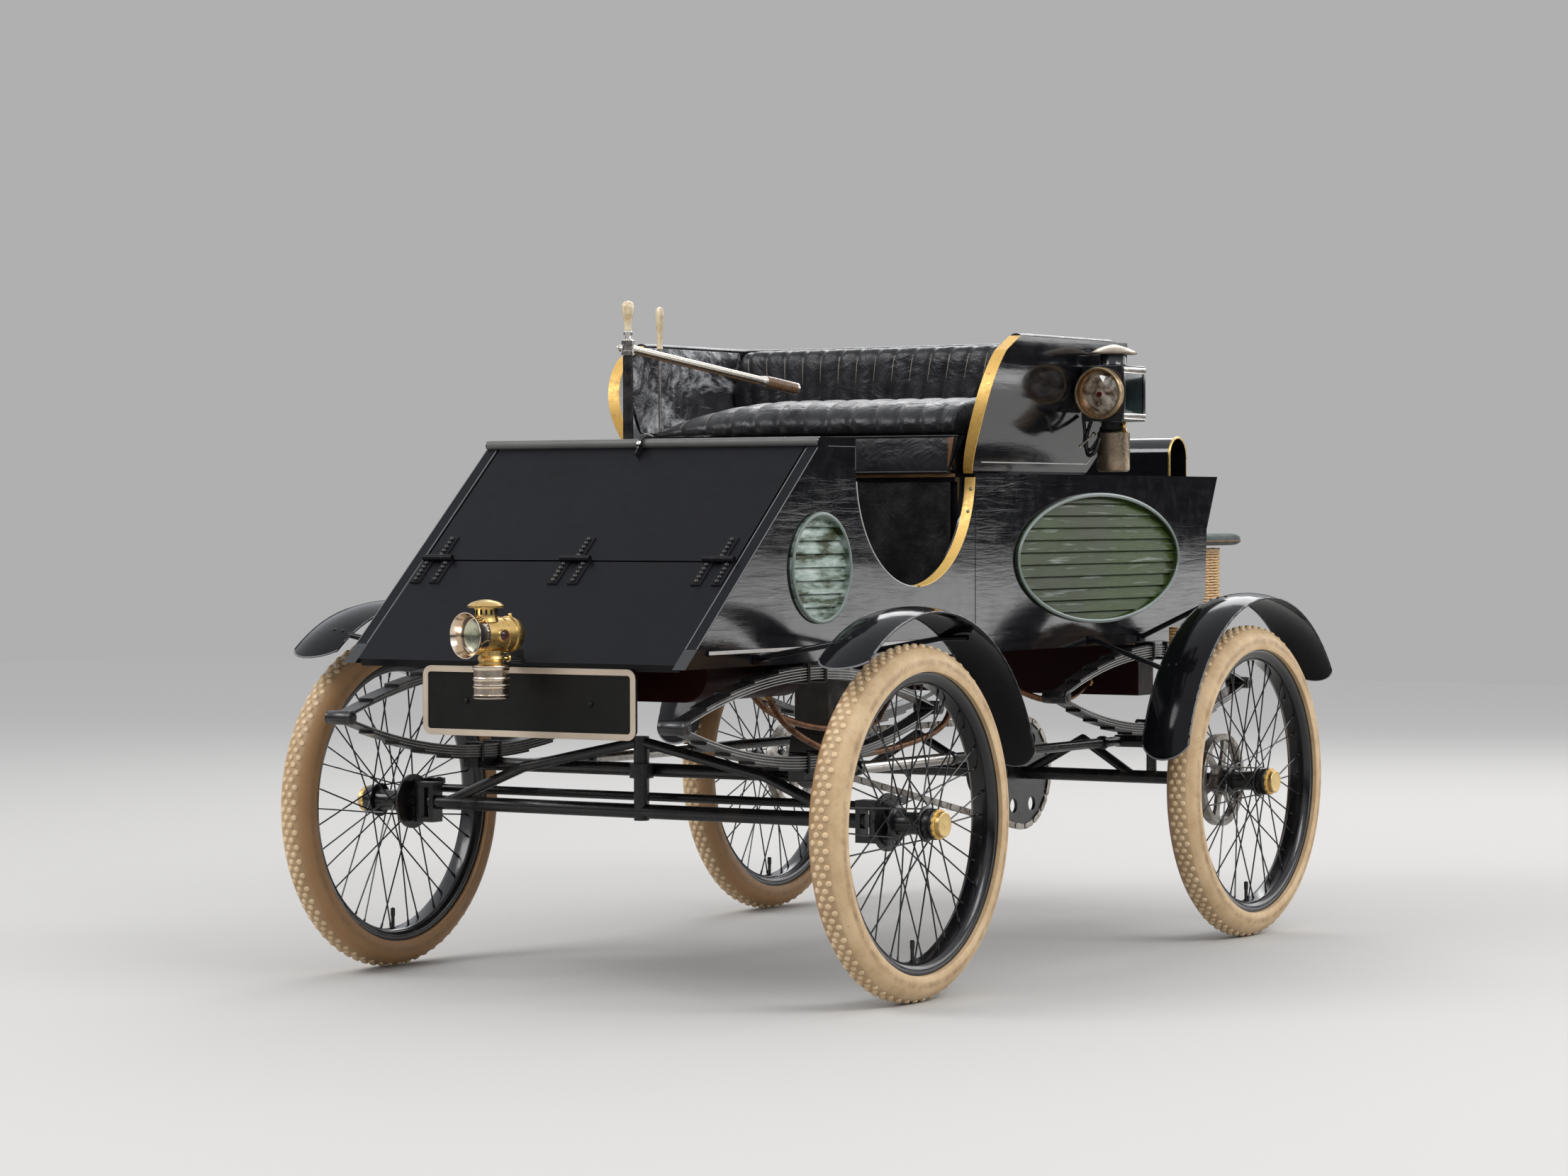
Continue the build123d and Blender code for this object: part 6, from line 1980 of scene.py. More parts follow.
@dataclass
class FrontLamp(Lamp):
    """Oil headlamp, turned a little to the car's right.

    Attributes:
        neck: Middle of the lamp's upright axis at the height of the lens.
        turn: Angle to the right in degrees.
        neck_at: Distance of the upright axis behind the mouth.
        chimney_at: Distance of the chimney behind the mouth.
    """

    neck: Point = (10.0, -534.1, 734.0)
    turn: float = 12.0
    neck_at: float = 68.0
    chimney_at: float = 54.0

    name = "front_lamp"

    def placed(self, shape: Shape) -> Shape:
        """Puts a shape, drawn with the mouth at Y 0 and the lens axis on Z 0, in its place.

        Args:
            shape: The shape.

        Returns:
            The shape on the car.
        """
        return shape.moved(Matrix.Translation(self.neck) @ Matrix.Rotation(-math.radians(self.turn), 4, "Z")
                           @ Matrix.Translation((0, -self.neck_at, 0)))

    def build(self) -> None:
        """Makes the lamp's pieces."""
        bell = [(26, 0), (26, 33), (20, 35), (10, 39), (2, 43), (0.3, 43.8), (0, 44.6),
                (0.8, 45.2), (3, 45), (9, 42), (18, 39.6), (27, 38), (31, 37.6), (34, 37.2),
                (37, 35), (37, 0)]
        self.turned("bell", bell, Look.rosy_nickel, 64, axis=REARWARD, stands_for=("front_lamp",))
        lens = [(20.5, 0), (21, 12), (22.5, 22), (25, 30), (26.5, 32.6), (27.2, 32), (27.4, 0)]
        self.turned("lens", lens, Look.lens_green, 48, axis=REARWARD)
        self.vent_dots()
        barrel = [(36, 30), (36.5, 34.5), (50, 34.5), (88, 34.5), (88.4, 35.6), (90.6, 35.6), (91, 34.5),
                  (108, 34.5), (109, 36.6), (116, 36.2), (126, 32.4), (135, 25), (141, 16),
                  (144.4, 6), (145, 0)]
        self.turned("barrel", barrel, Look.brass, 64, axis=REARWARD)
        ring = [(0, 9.6), (0, 13), (2, 13.6), (4, 12.8), (4.4, 10.4), (3, 9.8)]
        self.turned("jewel_ring", ring, Look.brass, 32, (33, 70, 0), ACROSS, True)
        jewel = [(0, 10), (3, 9.9), (5.6, 7.6), (7.2, 4), (7.8, 0)]
        self.turned("jewel", jewel, Look.jewel, 28, (32, 70, 0), ACROSS)
        button = [(-2, 5), (1, 5.2), (3, 3.4), (5, 4.4), (7.4, 3), (8, 0)]
        self.turned("button", button, Look.brass, 18, (0, 118, 34))
        self.chimney()
        self.foot()

    def vent_dots(self) -> None:
        """Makes the air holes round the bell as dark domes, painted shade in the holes."""
        holes = Shape()
        count, r = 36, 38.1
        for i in range(count):
            a = math.tau * i / count
            holes.dome((r * math.cos(a), 30, r * math.sin(a)), (math.cos(a), 0, math.sin(a)), 1.5, 0.5, 8)
        self.put("vent_dots", holes, Look.hole_shade)

    def chimney(self) -> None:
        """Makes the chimney with its slots, dark slabs of painted shade, and domed cap."""
        at = (0, self.chimney_at, 0)
        pipe = [(26, 25.5), (32, 24), (36, 23), (52, 23), (54.5, 24), (56, 22)]
        self.turned("chimney", pipe, Look.brass, 40, at)
        slots = Shape()
        count = 14
        for i in range(count):
            spin = Matrix.Translation((0, self.chimney_at, 45)) @ Matrix.Rotation(math.tau * i / count, 4, "Z")
            slots.join(Shape().slab((-2.2, -24, -5), (2.2, -22.4, 5), 0.7).moved(spin))
        self.put("chimney_slots", slots, Look.hole_shade)
        cap = [(53, 21), (53.4, 35), (54.4, 36.2), (57.6, 36.2), (59, 34.4), (63, 30), (66, 22.4),
               (68.4, 12), (69.4, 6), (69.8, 0)]
        self.turned("chimney_cap", cap, Look.brass, 48, at)

    def foot(self) -> None:
        """Makes the neck, wick knob, ribbed fuel font and the bracket."""
        y = self.neck_at
        at = (0, y, 0)
        neck = [(-30, 23.5), (-36, 24), (-40, 24), (-42, 25.4), (-46, 27), (-50, 25.4),
                (-52, 24), (-57, 24.6), (-59, 29), (-60, 34)]
        self.turned("neck", neck, Look.brass, 48, at)
        font = [(-59.4, 30), (-60, 36.4), (-61.5, 37), (-65, 37), (-67, 36), (-68.5, 34.4),
                (-81.5, 34.4), (-83.6, 36), (-86, 36.4), (-88.4, 36), (-90, 34.4), (-95.8, 34.4),
                (-97.6, 36), (-100, 36.4), (-102.4, 36), (-104, 34.4), (-115.5, 34.4), (-117.6, 36),
                (-122.4, 36.2), (-124, 35), (-124, 0)]
        self.turned("font", font, Look.rosy_nickel, 56, at)
        knob = Shape().tube([(0, y + 20, -46), (6, y + 38, -46)], 2.4, 10)
        knob.lathe([(0, 4), (0.6, 8), (3.4, 8), (4, 4)], (6, y + 37, -46), (0.3, 0.95, 0), 20)
        self.put("wick_knob", knob, Look.brass)
        strap = Shape().slab((-4, -536, 683.5), (24, -445, 687), 1)
        strap.slab((-4, -449, 676), (24, -445.5, 704), 1.2)
        Piece("front_lamp_bracket", strap, Look.iron).make()


@dataclass
class SideLamp(Lamp):
    """Carriage lamp beside the seat.

    Attributes:
        side: Side of the car.
        lens: Middle of the lens ring's front edge.
        box: Width, length and height of the lamp's body.
        ring_l: Length of the lens ring.
        wall_x: Place of the seat's side, from which the bracket comes.
    """

    side: Side
    lens: Point = (560.0, 946.0, 1231.0)
    box: Point = (100.0, 112.0, 122.0)
    ring_l: float = 22.0
    wall_x: float = 470.0

    @property
    def middle(self) -> Point:
        """Middle of the lamp's body."""
        return (self.lens[0], self.lens[1] + self.ring_l + self.box[1] / 2, self.lens[2])

    @property
    def name(self) -> str:
        """First part of the name of each piece."""
        return f"side_lamp_{self.side.name.lower()}"

    def placed(self, shape: Shape) -> Shape:
        """A shape of the left lamp, mirrored for the right side."""
        return shape if self.side is Side.LEFT else shape.mirrored()

    def front(self) -> None:
        """Makes the ring, throat, lens and small red domes on the lens, a painted reflection of a red jewel inside
        the lamp.
        """
        ring = [(17, 50.6), (2.5, 51), (0.6, 51.6), (0, 53.2), (0.4, 55.6), (2.4, 57), (8, 57),
                (9, 56.2), (12, 56.2), (13, 57), (19, 57), (21.6, 55.6), (22, 52)]
        self.turned("ring", ring, Look.aged, 72, self.lens, REARWARD, True)
        throat = [(3, 50.9), (16.5, 50.4), (17.5, 46), (18.2, 30), (18.2, 1), (21, 1), (21, 51.4),
                  (3, 51.4)]
        self.turned("throat", throat, Look.throat, 56, self.lens, REARWARD, True)
        glass = [(6, 0), (6.6, 12), (8.6, 26), (12, 38), (16.4, 46.5), (17.2, 46), (17.2, 0)]
        self.turned("lens", glass, Look.lens_reflection, 56, self.lens, REARWARD)
        # Painted reflection: red domes on the lens for a red jewel mirrored inside the lamp.
        red_reflections = Shape()
        x, y, z = self.lens
        for dx, dz, r in ((3, -2, 6.5), (-4, -15, 4), (9, -13, 3.4)):
            bulge = (dx * dx + dz * dz) / 120
            red_reflections.dome((x + dx, y + 6.4 + bulge, z + dz), (0, -1, 0), r, 0.9, 16)
        self.put("red_reflections", red_reflections, Look.red_glass)

    def case(self) -> None:
        """Makes the square body with its pane, frame bars and posts."""
        x, y, z = self.lens
        w, length, h = self.box
        y0, face = y + self.ring_l - 0.5, x + w / 2
        y1 = y0 + length
        body = Shape().slab((x - w / 2, y0, z - h / 2), (face, y1, z + h / 2), 4, 3)
        self.put("case", body, Look.lamp_black)
        bars = Shape()
        for z0, z1 in ((z - 57, z - 44), (z + 44, z + 57)):
            bars.slab((face - 1, y0 + 5, z0), (face + 3.8, y1 - 5, z1), 1.6)
        self.put("pane_bars", bars, Look.nickel)
        posts = Shape()
        for a, b in ((y0 + 5, y0 + 14), (y1 - 14, y1 - 5)):
            posts.slab((face - 1, a, z - 45), (face + 3, b, z + 45), 1.4)
        self.put("pane_posts", posts, Look.lamp_black)
        pane = Shape().slab((face - 0.5, y0 + 13, z - 45), (face + 1.4, y1 - 13, z + 45), 0.6)
        self.put("pane", pane, Look.teal_glass)

    def top(self) -> None:
        """Makes the chimney with its collar and the wide cap."""
        chimney = [(56, 38), (61.5, 37), (63, 31), (66, 29.4), (86, 29.4), (87, 31)]
        self.turned("chimney", chimney, Look.lamp_black, 44, self.middle)
        cap = [(86, 28), (86.4, 50.6), (87.4, 52), (90.4, 52), (91.6, 50.4), (95, 44), (100, 34),
               (104.6, 20), (107.6, 8), (109, 0)]
        self.turned("cap", cap, Look.pale_brass, 56, self.middle)

    def bottom(self) -> None:
        """Makes the neck, the wing nut and the round fuel font with its seam."""
        x, y, z = self.middle
        neck = [(-59, 33), (-62, 32), (-64, 27.4), (-78, 27), (-80, 29), (-82, 33)]
        self.turned("neck", neck, Look.lamp_black, 40, self.middle)
        font = [(-81, 30), (-83, 34), (-86, 36), (-122.6, 36), (-123.4, 36.9), (-126, 36.9),
                (-127, 36), (-164, 36), (-168, 34.6), (-171, 30), (-171, 0)]
        self.turned("font", font, Look.tin, 52, self.middle)
        nut = Shape().lathe([(0, 5), (8, 5), (9, 3.4)], (x + 26, y - 10, z - 71), (1, -0.3, 0), 16)
        base = Vector((x + 31, y - 11, z - 71))
        for lean in (-1, 1):
            wing = [tuple(base + Vector(step)) for step in (ORIGIN, (3, 0, lean * 9), (6, 0, lean * 14))]
            nut.sweep(wing, flat_bar(1.2, 3.4), ACROSS, scales=[0.8, 1.1, 0.7])
        self.put("wing_nut", nut, Look.brass)

    def bracket(self) -> None:
        """Makes the iron bar from the seat side, bent in two loops under the lamp, with its pin."""
        x, y, z = self.middle
        lower = [(488, y - 4, z + 34), (510, y - 6, z + 10), (516, y - 10, z - 40),
                 (504, y - 20, z - 92), (514, y - 34, z - 132), (534, y - 40, z - 128),
                 (542, y - 30, z - 100), (538, y - 14, z - 74)]
        upper = [(540, y + 2, z - 62), (530, y - 10, z - 96), (516, y - 24, z - 122),
                 (500, y - 20, z - 112), (494, y - 8, z - 86), (486, y, z - 50)]
        shape = Shape()
        for path in (lower, upper):
            shape.tube(smooth_path(path, 7), 4.6, 10)
        shape.slab((self.wall_x, y - 12, z + 28), (x - 30, y + 12, z + 38), 3)
        self.put("bracket", shape, Look.iron)
        pin = [(0, 2), (1, 4.2), (5, 4.2), (6, 2.6), (44, 2.6), (45, 4.6), (50, 4.2), (51, 0)]
        self.turned("bracket_pin", pin, Look.nickel, 16, (492, y - 30, z - 116), (0.8, -0.1, 0.6))

    def build(self) -> None:
        """Makes the lamp's pieces."""
        self.front()
        self.case()
        self.top()
        self.bottom()
        self.bracket()


@dataclass
class Controls:
    """Tiller with its lever and handles, and the throttle lever.

    Attributes:
        post: Middle of the tiller's head.
        post_foot: Height at which the tiller's shaft starts.
        lever: Reach of the lever.
        angle: Angle of the lever to the car's length, in degrees.
        drop: How far the lever falls from its head to its end.
        throttle_at: Foot of the throttle lever.
    """

    post: Point = (-168.0, 200.0, 1322.0)
    post_foot: float = 729.0
    lever: float = 490.0
    angle: float = 15.0
    drop: float = 78.0
    throttle_at: Point = (-424.0, 700.0, 1118.0)

    def bulb(self, foot: Point, length: float, r: float) -> Shape:
        """Turned handle, thicker towards its top.

        Args:
            foot: Where it starts.
            length: Its length.
            r: Its largest radius.

        Returns:
            The shape.
        """
        profile = [(0, r * 0.5), (2, r * 0.62), (length * 0.2, r * 0.55), (length * 0.55, r * 0.86),
                   (length * 0.78, r), (length * 0.9, r * 0.9), (length * 0.97, r * 0.55), (length, 0)]
        return Shape().lathe(profile, foot, UP, 28)

    def tiller(self) -> None:
        """Makes the head, shaft and ivory handle, all on the tiller's body."""
        x, y, z = self.post
        head = [(-17, 12), (-16, 13.6), (-7, 13.6), (-6, 12.4), (6, 12.4), (7, 13.6), (15, 13.6),
                (17, 11), (18.6, 6), (26, 5.4), (27, 9), (33, 9.6), (37, 7), (38, 4)]
        shape = Shape().lathe(head, self.post, UP, 36)
        stub = [(0, 2), (0, 5), (9, 5), (10, 7.6), (15, 7), (16, 0)]
        shape.lathe(stub, (x - 10, y, z), (-1, 0, 0), 20)
        Piece("tiller_head", shape, Look.nickel, "tiller", ("tiller",)).make()
        shaft = [(0, 6), (1, 7), (z + 1 - self.post_foot, 7)]
        Piece("tiller_shaft", Shape().lathe(shaft, (x, y, self.post_foot), UP, 20), Look.nickel, "tiller").make()
        self.tiller_lever()
        Piece("tiller_handle", self.bulb((x, y, z + 36), 64, 13.6), Look.ivory, "tiller").make()

    def tiller_lever(self) -> None:
        """Makes the lever with the strip under it, its wooden grip and its ferrule."""
        a = math.radians(self.angle)
        start = Vector(self.post)
        end = start + Vector((self.lever * math.sin(a), self.lever * math.cos(a), -self.drop))
        way, length = (end - start).normalized(), (end - start).length
        bar = [(8, 9), (16, 8.6), (40, 8), (length - 112, 8), (length - 104, 9.8),
               (length - 98, 11), (length - 95, 11)]
        grip = [(length + d, r) for d, r in ((-96, 10), (-94, 12.4), (-70, 13.2), (-40, 13),
                                             (-12, 13.4), (-8, 12.6))]
        ferrule = [(length - 8.4, 11), (length - 8, 13.4), (length - 2, 13), (length - 0.4, 11),
                   (length, 0)]
        Piece("tiller_lever", Shape().lathe(bar, self.post, tuple(way), 24), Look.lever_metal, "tiller").make()
        under = [tuple(start + way * d + Vector((0, 0, -8.2))) for d in (22, length / 2, length - 108)]
        Piece("tiller_lever_strip", Shape().tube(under, 2.6, 8), Look.grip_wood, "tiller").make()
        for name, profile, finish in (("grip", grip, Look.grip_wood), ("ferrule", ferrule, Look.nickel)):
            Piece(f"tiller_{name}", Shape().lathe(profile, self.post, tuple(way), 28), finish, "tiller").make()

    def throttle(self) -> None:
        """Makes the thin throttle lever with its ivory handle."""
        x, y, z = self.throttle_at
        rod = [(0, 3), (1, 4), (216, 4), (217, 5.6), (222, 5.6), (223, 4)]
        Piece("throttle_rod", Shape().lathe(rod, self.throttle_at, UP, 18), Look.nickel,
              stands_for=("throttle",)).make()
        handle = [(0, 4.6), (2, 7.4), (10, 6), (40, 7.4), (74, 9.3), (90, 9), (95, 6), (97, 0)]
        Piece("throttle_handle", Shape().lathe(handle, (x, y, z + 222), UP, 28), Look.ivory).make()

    def build(self) -> None:
        """Makes the controls."""
        self.tiller()
        self.throttle()


@dataclass
class Hamper:
    """Cane basket behind the body, with its padded lid.

    Attributes:
        half: Half width of the basket.
        front: Station of its front.
        rear: Station of its rear.
        low: Height of its foot.
        top: Height of its rim.
        stake_gap: Distance between its upright stakes.
        rows: Rows of woven cane.
        inset: Distance from its outside to the inner wall.
    """

    half: float = 300.0
    front: float = 1850.0
    rear: float = 2097.0
    low: float = 648.0
    top: float = 884.0
    stake_gap: float = 25.0
    rows: int = 32
    inset: float = 9.0

    def outline(self, grow: float = -3.2) -> list[Flat]:
        """Draws even points round the basket, four to two gaps between stakes.

        Args:
            grow: How far they are moved outwards.

        Returns:
            The points in X and Y.
        """
        x, y0, y1 = self.half + grow, self.front - grow, self.rear + grow
        return even_loop([(-x, y0), (x, y0), (x, y1), (-x, y1)], self.stake_gap / 2, 2)

    def weave(self) -> Shape:
        """Makes rows of cane that pass in front of and behind the stakes, turn about.

        Returns:
            The shape.
        """
        shape = Shape()
        base = self.outline()
        count = len(base) - len(base) % 4
        pitch = (self.top - self.low - 18) / self.rows
        middle_y, out_by = (self.front + self.rear) / 2, 2.2
        for row in range(self.rows):
            z = self.low + 8 + pitch * (row + 0.5)
            path = []
            for i in range(count):
                x, y = base[i * len(base) // count]
                phase = math.sin(math.pi / 2 * (i + 2 * (row % 2)))
                out = Vector((x, (y - middle_y) * 2.4)).normalized()
                path.append((x + out.x * out_by * phase, y + out.y * out_by * phase,
                             z + 0.5 * math.sin(i * 1.7 + row)))
            shape.tube(path, pitch * 0.46, 6, loop=True)
        return shape

    def stakes(self) -> Shape:
        """Makes the upright stakes, the braided foot and the braided rim.

        Returns:
            The shape.
        """
        shape = Shape()
        base = self.outline()
        for x, y in base[::4]:
            shape.tube([(x, y, self.low + 2), (x, y, (self.low + self.top) / 2), (x, y, self.top - 4)], 2.8, 6)
        strands = 3
        for z in (self.low + 5, self.top - 6):
            for strand in range(strands):
                turns = (i * 0.95 + math.tau * strand / strands for i in range(len(base)))
                path = [(x, y + 1.8 * math.cos(a), z + 3 * math.sin(a)) for (x, y), a in zip(base, turns)]
                shape.tube(path, 3, 6, loop=True)
        return shape

    def body(self) -> None:
        """Makes the woven basket over a thin inner wall, in darker cane as painted shade that shows through the
        weave, and the lid's hinges.
        """
        inner = Shape()
        x, y0, y1, thick = self.half - self.inset, self.front + self.inset, self.rear - self.inset, 3
        for ax, bx, ay, by in ((-x, x, y0, y0 + thick), (-x, x, y1 - thick, y1), (-x, -x + thick, y0, y1),
                               (x - thick, x, y0, y1)):
            inner.slab((ax, ay, self.low + 2), (bx, by, self.top - 6), 1)
        inner.slab((-x, y0, self.low + 1), (x, y1, self.low + 6), 1)
        Piece("hamper_lining", inner, Look.cane_shaded, stands_for=("hamper",)).make()
        Piece("hamper_weave", self.weave(), Look.cane, sharp=80).make()
        Piece("hamper_stakes", self.stakes(), Look.cane, sharp=80).make()
        hinges = Shape()
        knuckle = [(0, 5), (0.5, 7), (23, 7), (23.5, 5)]
        y, z = self.front - 8, self.top - 4
        for x in (-200, 200):
            for start in (x - 36, x + 12.5):
                hinges.lathe(knuckle, (start, y, z), ACROSS, 18)
            for start in (x - 36, x + 13):
                hinges.slab((start, y, z - 22), (start + 23, y + 9, z), 1)
        Piece("hamper_hinges", hinges, Look.steel).make()

    def lid(self) -> None:
        """Makes the padded canvas lid with its rounded ends and piped edge."""
        half = self.half + 39
        y0, y1, z0, z1 = self.front + 1, self.rear + 39, 889.5, 918.5
        mid_y, mid_z = (y0 + y1) / 2, (z0 + z1) / 2 - 3
        rings = []
        for u in spread(-1, 1, 64):
            taper = 1 - 0.42 * max(0, (abs(u) - 0.93) / 0.07) ** 2.2
            ring = []
            for y, z in even_loop(((y0, z0), (y1, z0), (y1, z1), (y0, z1)), 9, 6):
                lump = 1.6 * noise.noise(Vector((u * 4, y * 0.012, 2))) if z > mid_z else 0
                ring.append((u * half, mid_y + (y - mid_y) * (0.9 + 0.1 * taper),
                             mid_z + (z - mid_z) * taper + lump))
            rings.append(ring)
        lid = Piece("hamper_lid_pad", Shape().rings(rings), Look.canvas, "hamper_lid", ("hamper_lid",), sharp=75,
                    subdivide=1).make()
        rim = ((-half, y0 + 2), (half, y0 + 2), (half, y1 - 2), (-half, y1 - 2))
        edge = [(x, y, mid_z - 1) for x, y in even_loop(rim, 30, 1)]
        Piece("hamper_lid_piping", Shape().tube(edge, 2.6, 8, loop=True), Look.brown_leather, "hamper_lid",
              sharp=80).make()

    def build(self) -> None:
        """Makes the basket and its lid."""
        self.body()
        self.lid()


@dataclass
class Underbody:
    """Lines between the spring leaves, sleeves on the side tubes, pipes, and the guards' lines and rivets.

    Attributes:
        springs: Each axle with the half length of its springs.
        spring_x: Distance of the springs from the car's middle.
        eye_z: Height of the springs' eyes.
        rise: Height of a spring's bow over its eyes.
        leaf_t: Thickness of a leaf.
        leaf_w: Width of a leaf.
        shares: Lengths of the leaves as shares of the longest.
        tube_x: Distance of the side tubes from the car's middle.
        tube_z: Height of the side tubes.
        guards: Each axle with the angles at which its guards start and stop.
        guard_half: Half width of a guard.
        guard_end_r: Radius of its rounded ends.
        guard_r: Its radius round the axle.
        guard_bow: How far its middle stands over its edges.
    """

    springs: tuple[tuple[End, float], ...] = ((End.FRONT, 482.0), (End.REAR, 462.0))
    spring_x: float = 405.0
    eye_z: float = 560.0
    rise: float = 78.0
    leaf_t: float = 5.5
    leaf_w: float = 38.0
    shares: tuple[float, ...] = (1.0, 0.82, 0.64, 0.46, 0.28)
    tube_x: float = 340.0
    tube_z: float = 440.0
    guards: tuple[tuple[End, float, float], ...] = ((End.FRONT, 12.0, 133.0), (End.REAR, 30.0, 171.0))
    guard_half: float = 56.0
    guard_end_r: float = 64.0
    guard_r: float = 419.3
    guard_bow: float = 10.0

    def leaf_lines(self) -> None:
        """Makes the bright edges of the leaves on both faces of each spring."""
        shape = Shape()
        for end, half in self.springs:
            radius = (half ** 2 + self.rise ** 2) / (2 * self.rise)
            full = math.asin(half / radius)
            for i, share in enumerate(self.shares):
                r = radius + i * self.leaf_t
                angles = [full * share * (-1 + k / 12) for k in range(25)]
                for flip, side, face in itertools.product((1, -1), Side, (-1, 1)):
                    x = side.value * self.spring_x + face * (self.leaf_w / 2 + 0.2)
                    path = [(x, end.station + r * math.sin(a),
                             self.eye_z + flip * (self.rise - radius + r * math.cos(a))) for a in angles]
                    shape.tube(path, 1.15, 4)
        Piece("spring_leaf_edges", shape, Look.leaf_edge, sharp=80).make()

    def eyes(self) -> None:
        """Makes the turned ends of the spring eyes."""
        shape = Shape()
        profile = [(-31.5, 5), (-31, 9), (-29.8, 11), (-24, 14.6), (24, 14.6), (29.8, 11), (31, 9),
                   (31.5, 5)]
        for (end, half), side, way in itertools.product(self.springs, Side, (-1, 1)):
            centre = (side.value * self.spring_x, end.station + way * half, self.eye_z)
            shape.lathe(profile, centre, ACROSS, 28)
        Piece("spring_eyes", shape, Look.iron).make()

    def clamps(self) -> None:
        """Makes the bolts that clamp the leaves together over and under each axle."""
        shape = Shape()
        r, apart = 3.6, 22.5
        for end, side, dy, flip in itertools.product(End, Side, (-32, 32), (-1, 1)):
            x, y = side.value * self.spring_x, end.station + dy
            z0 = self.eye_z + flip * (self.rise - 6)
            z1 = self.eye_z + flip * (self.rise + len(self.shares) * self.leaf_t + 5)
            for dx in (-apart, apart):
                shape.tube([(x + dx, y, z0), (x + dx, y, z1)], r, 10)
            shape.tube([(x - apart, y, z0), (x + apart, y, z0)], r, 10)
        Piece("spring_clamps", shape, Look.iron).make()

    def sleeves(self) -> None:
        """Makes the polished stretches of the two side tubes and their collars."""
        sleeve, collars = Shape(), Shape()
        for side in Side:
            x, z = side.value * self.tube_x, self.tube_z
            sleeve.lathe([(0, 11.4), (0.5, 12.6), (380, 12.6), (380.5, 11.4)], (x, 300, z), REARWARD, 28)
            for y in (292, 680, 1380):
                collars.lathe([(0, 11.4), (0.5, 15.6), (13, 15.6), (13.5, 11.4)], (x, y, z), REARWARD, 28)
        Piece("tube_sleeves", sleeve, Look.polished).make()
        Piece("tube_collars", collars, Look.iron).make()

    def pipes(self) -> None:
        """Makes the copper pipes between the tanks, the engine and the boiler, with their nuts."""
        routes = (((235, 40, 612), (235, 130, 560), (226, 330, 520), (214, 560, 515),
                   (150, 720, 540), (110, 860, 600)),
                  ((290, 20, 606), (292, 110, 530), (286, 300, 470), (262, 520, 462),
                   (240, 820, 500), (196, 960, 606)),
                  ((-240, 1500, 600), (-236, 1380, 560), (-226, 1240, 560), (-176, 1130, 604)),
                  ((250, 1502, 580), (246, 1400, 540), (236, 1270, 545), (170, 1128, 606)))
        nut = [(-2, 8), (-1, 12), (12, 12), (13, 8.5)]
        copper, nuts = Shape(), Shape()
        for route in routes:
            copper.tube(smooth_path(route, 8), 7, 12)
            for a, b in ((route[0], route[1]), (route[-1], route[-2])):
                nuts.lathe(nut, a, tuple(Vector(b) - Vector(a)), 6)
        Piece("feed_pipes", copper, Look.copper, sharp=80).make()
        Piece("pipe_nuts", nuts, Look.brass, sharp=30).make()

    def guard_end(self, foot: float, way: int) -> list[Flat]:
        """Draws the rounded end of a guard's bead.

        Args:
            foot: Angle round the axle of the rounding's middle, in degrees.
            way: -1 at the guard's start and 1 at its stop.

        Returns:
            Pairs of place across the guard and angle round the axle.
        """
        turns = (math.radians(10.1 * k) * -way for k in range(-6, 7))
        r = self.guard_end_r
        return [(r * math.sin(t), foot + way * math.degrees(r * math.cos(t) / self.guard_r)) for t in turns]

    def guard_lines(self) -> None:
        """Makes the fine pale line along the bead round each guard."""
        shape = Shape()
        edge, steps = self.guard_half + 0.6, 24
        inset = math.degrees((self.guard_end_r + 2) / self.guard_r)
        for end, start, stop in self.guards:
            first, last = self.guard_end(start + inset, -1), self.guard_end(stop - inset, 1)
            low, high = first[-1][1], last[0][1]
            outline = [*first, *((edge, angle) for angle in spread(low, high, steps)[1:-1]),
                       *last, *((-edge, angle) for angle in spread(high, low, steps)[1:-1])]
            for side in Side:
                path = []
                for x, angle in outline:
                    r = self.guard_r + self.guard_bow * (1 - min(abs(x) / self.guard_half, 1) ** 2)
                    dy, dz = polar(r, math.radians(angle))
                    path.append((side.value * HALF_TRACK + x, end.station + dy, WHEEL_R + dz))
                shape.tube(path, 1.9, 8, loop=True)
        Piece("guard_lines", shape, Look.faint, sharp=80).make()

    def guard_rivets(self) -> None:
        """Makes the rivets that hold the guards to their stays."""
        shape = Shape()
        for end, angles in ((End.FRONT, (60, 120)), (End.REAR, (100, 140))):
            for side, angle, dx in itertools.product(Side, angles, (-34, -14)):
                out = (0, *polar(1, math.radians(angle)))
                r = 420 + self.guard_bow * (1 - (dx / self.guard_half) ** 2) - 0.4
                centre = (side.value * (HALF_TRACK + dx), end.station + r * out[1], WHEEL_R + r * out[2])
                shape.dome(centre, out, 4.6, 2.6, 12)
        Piece("guard_rivets", shape, Look.guard).make()

    def build(self) -> None:
        """Makes the fittings under the body."""
        self.leaf_lines()
        self.eyes()
        self.clamps()
        self.sleeves()
        self.pipes()
        self.guard_lines()
        self.guard_rivets()


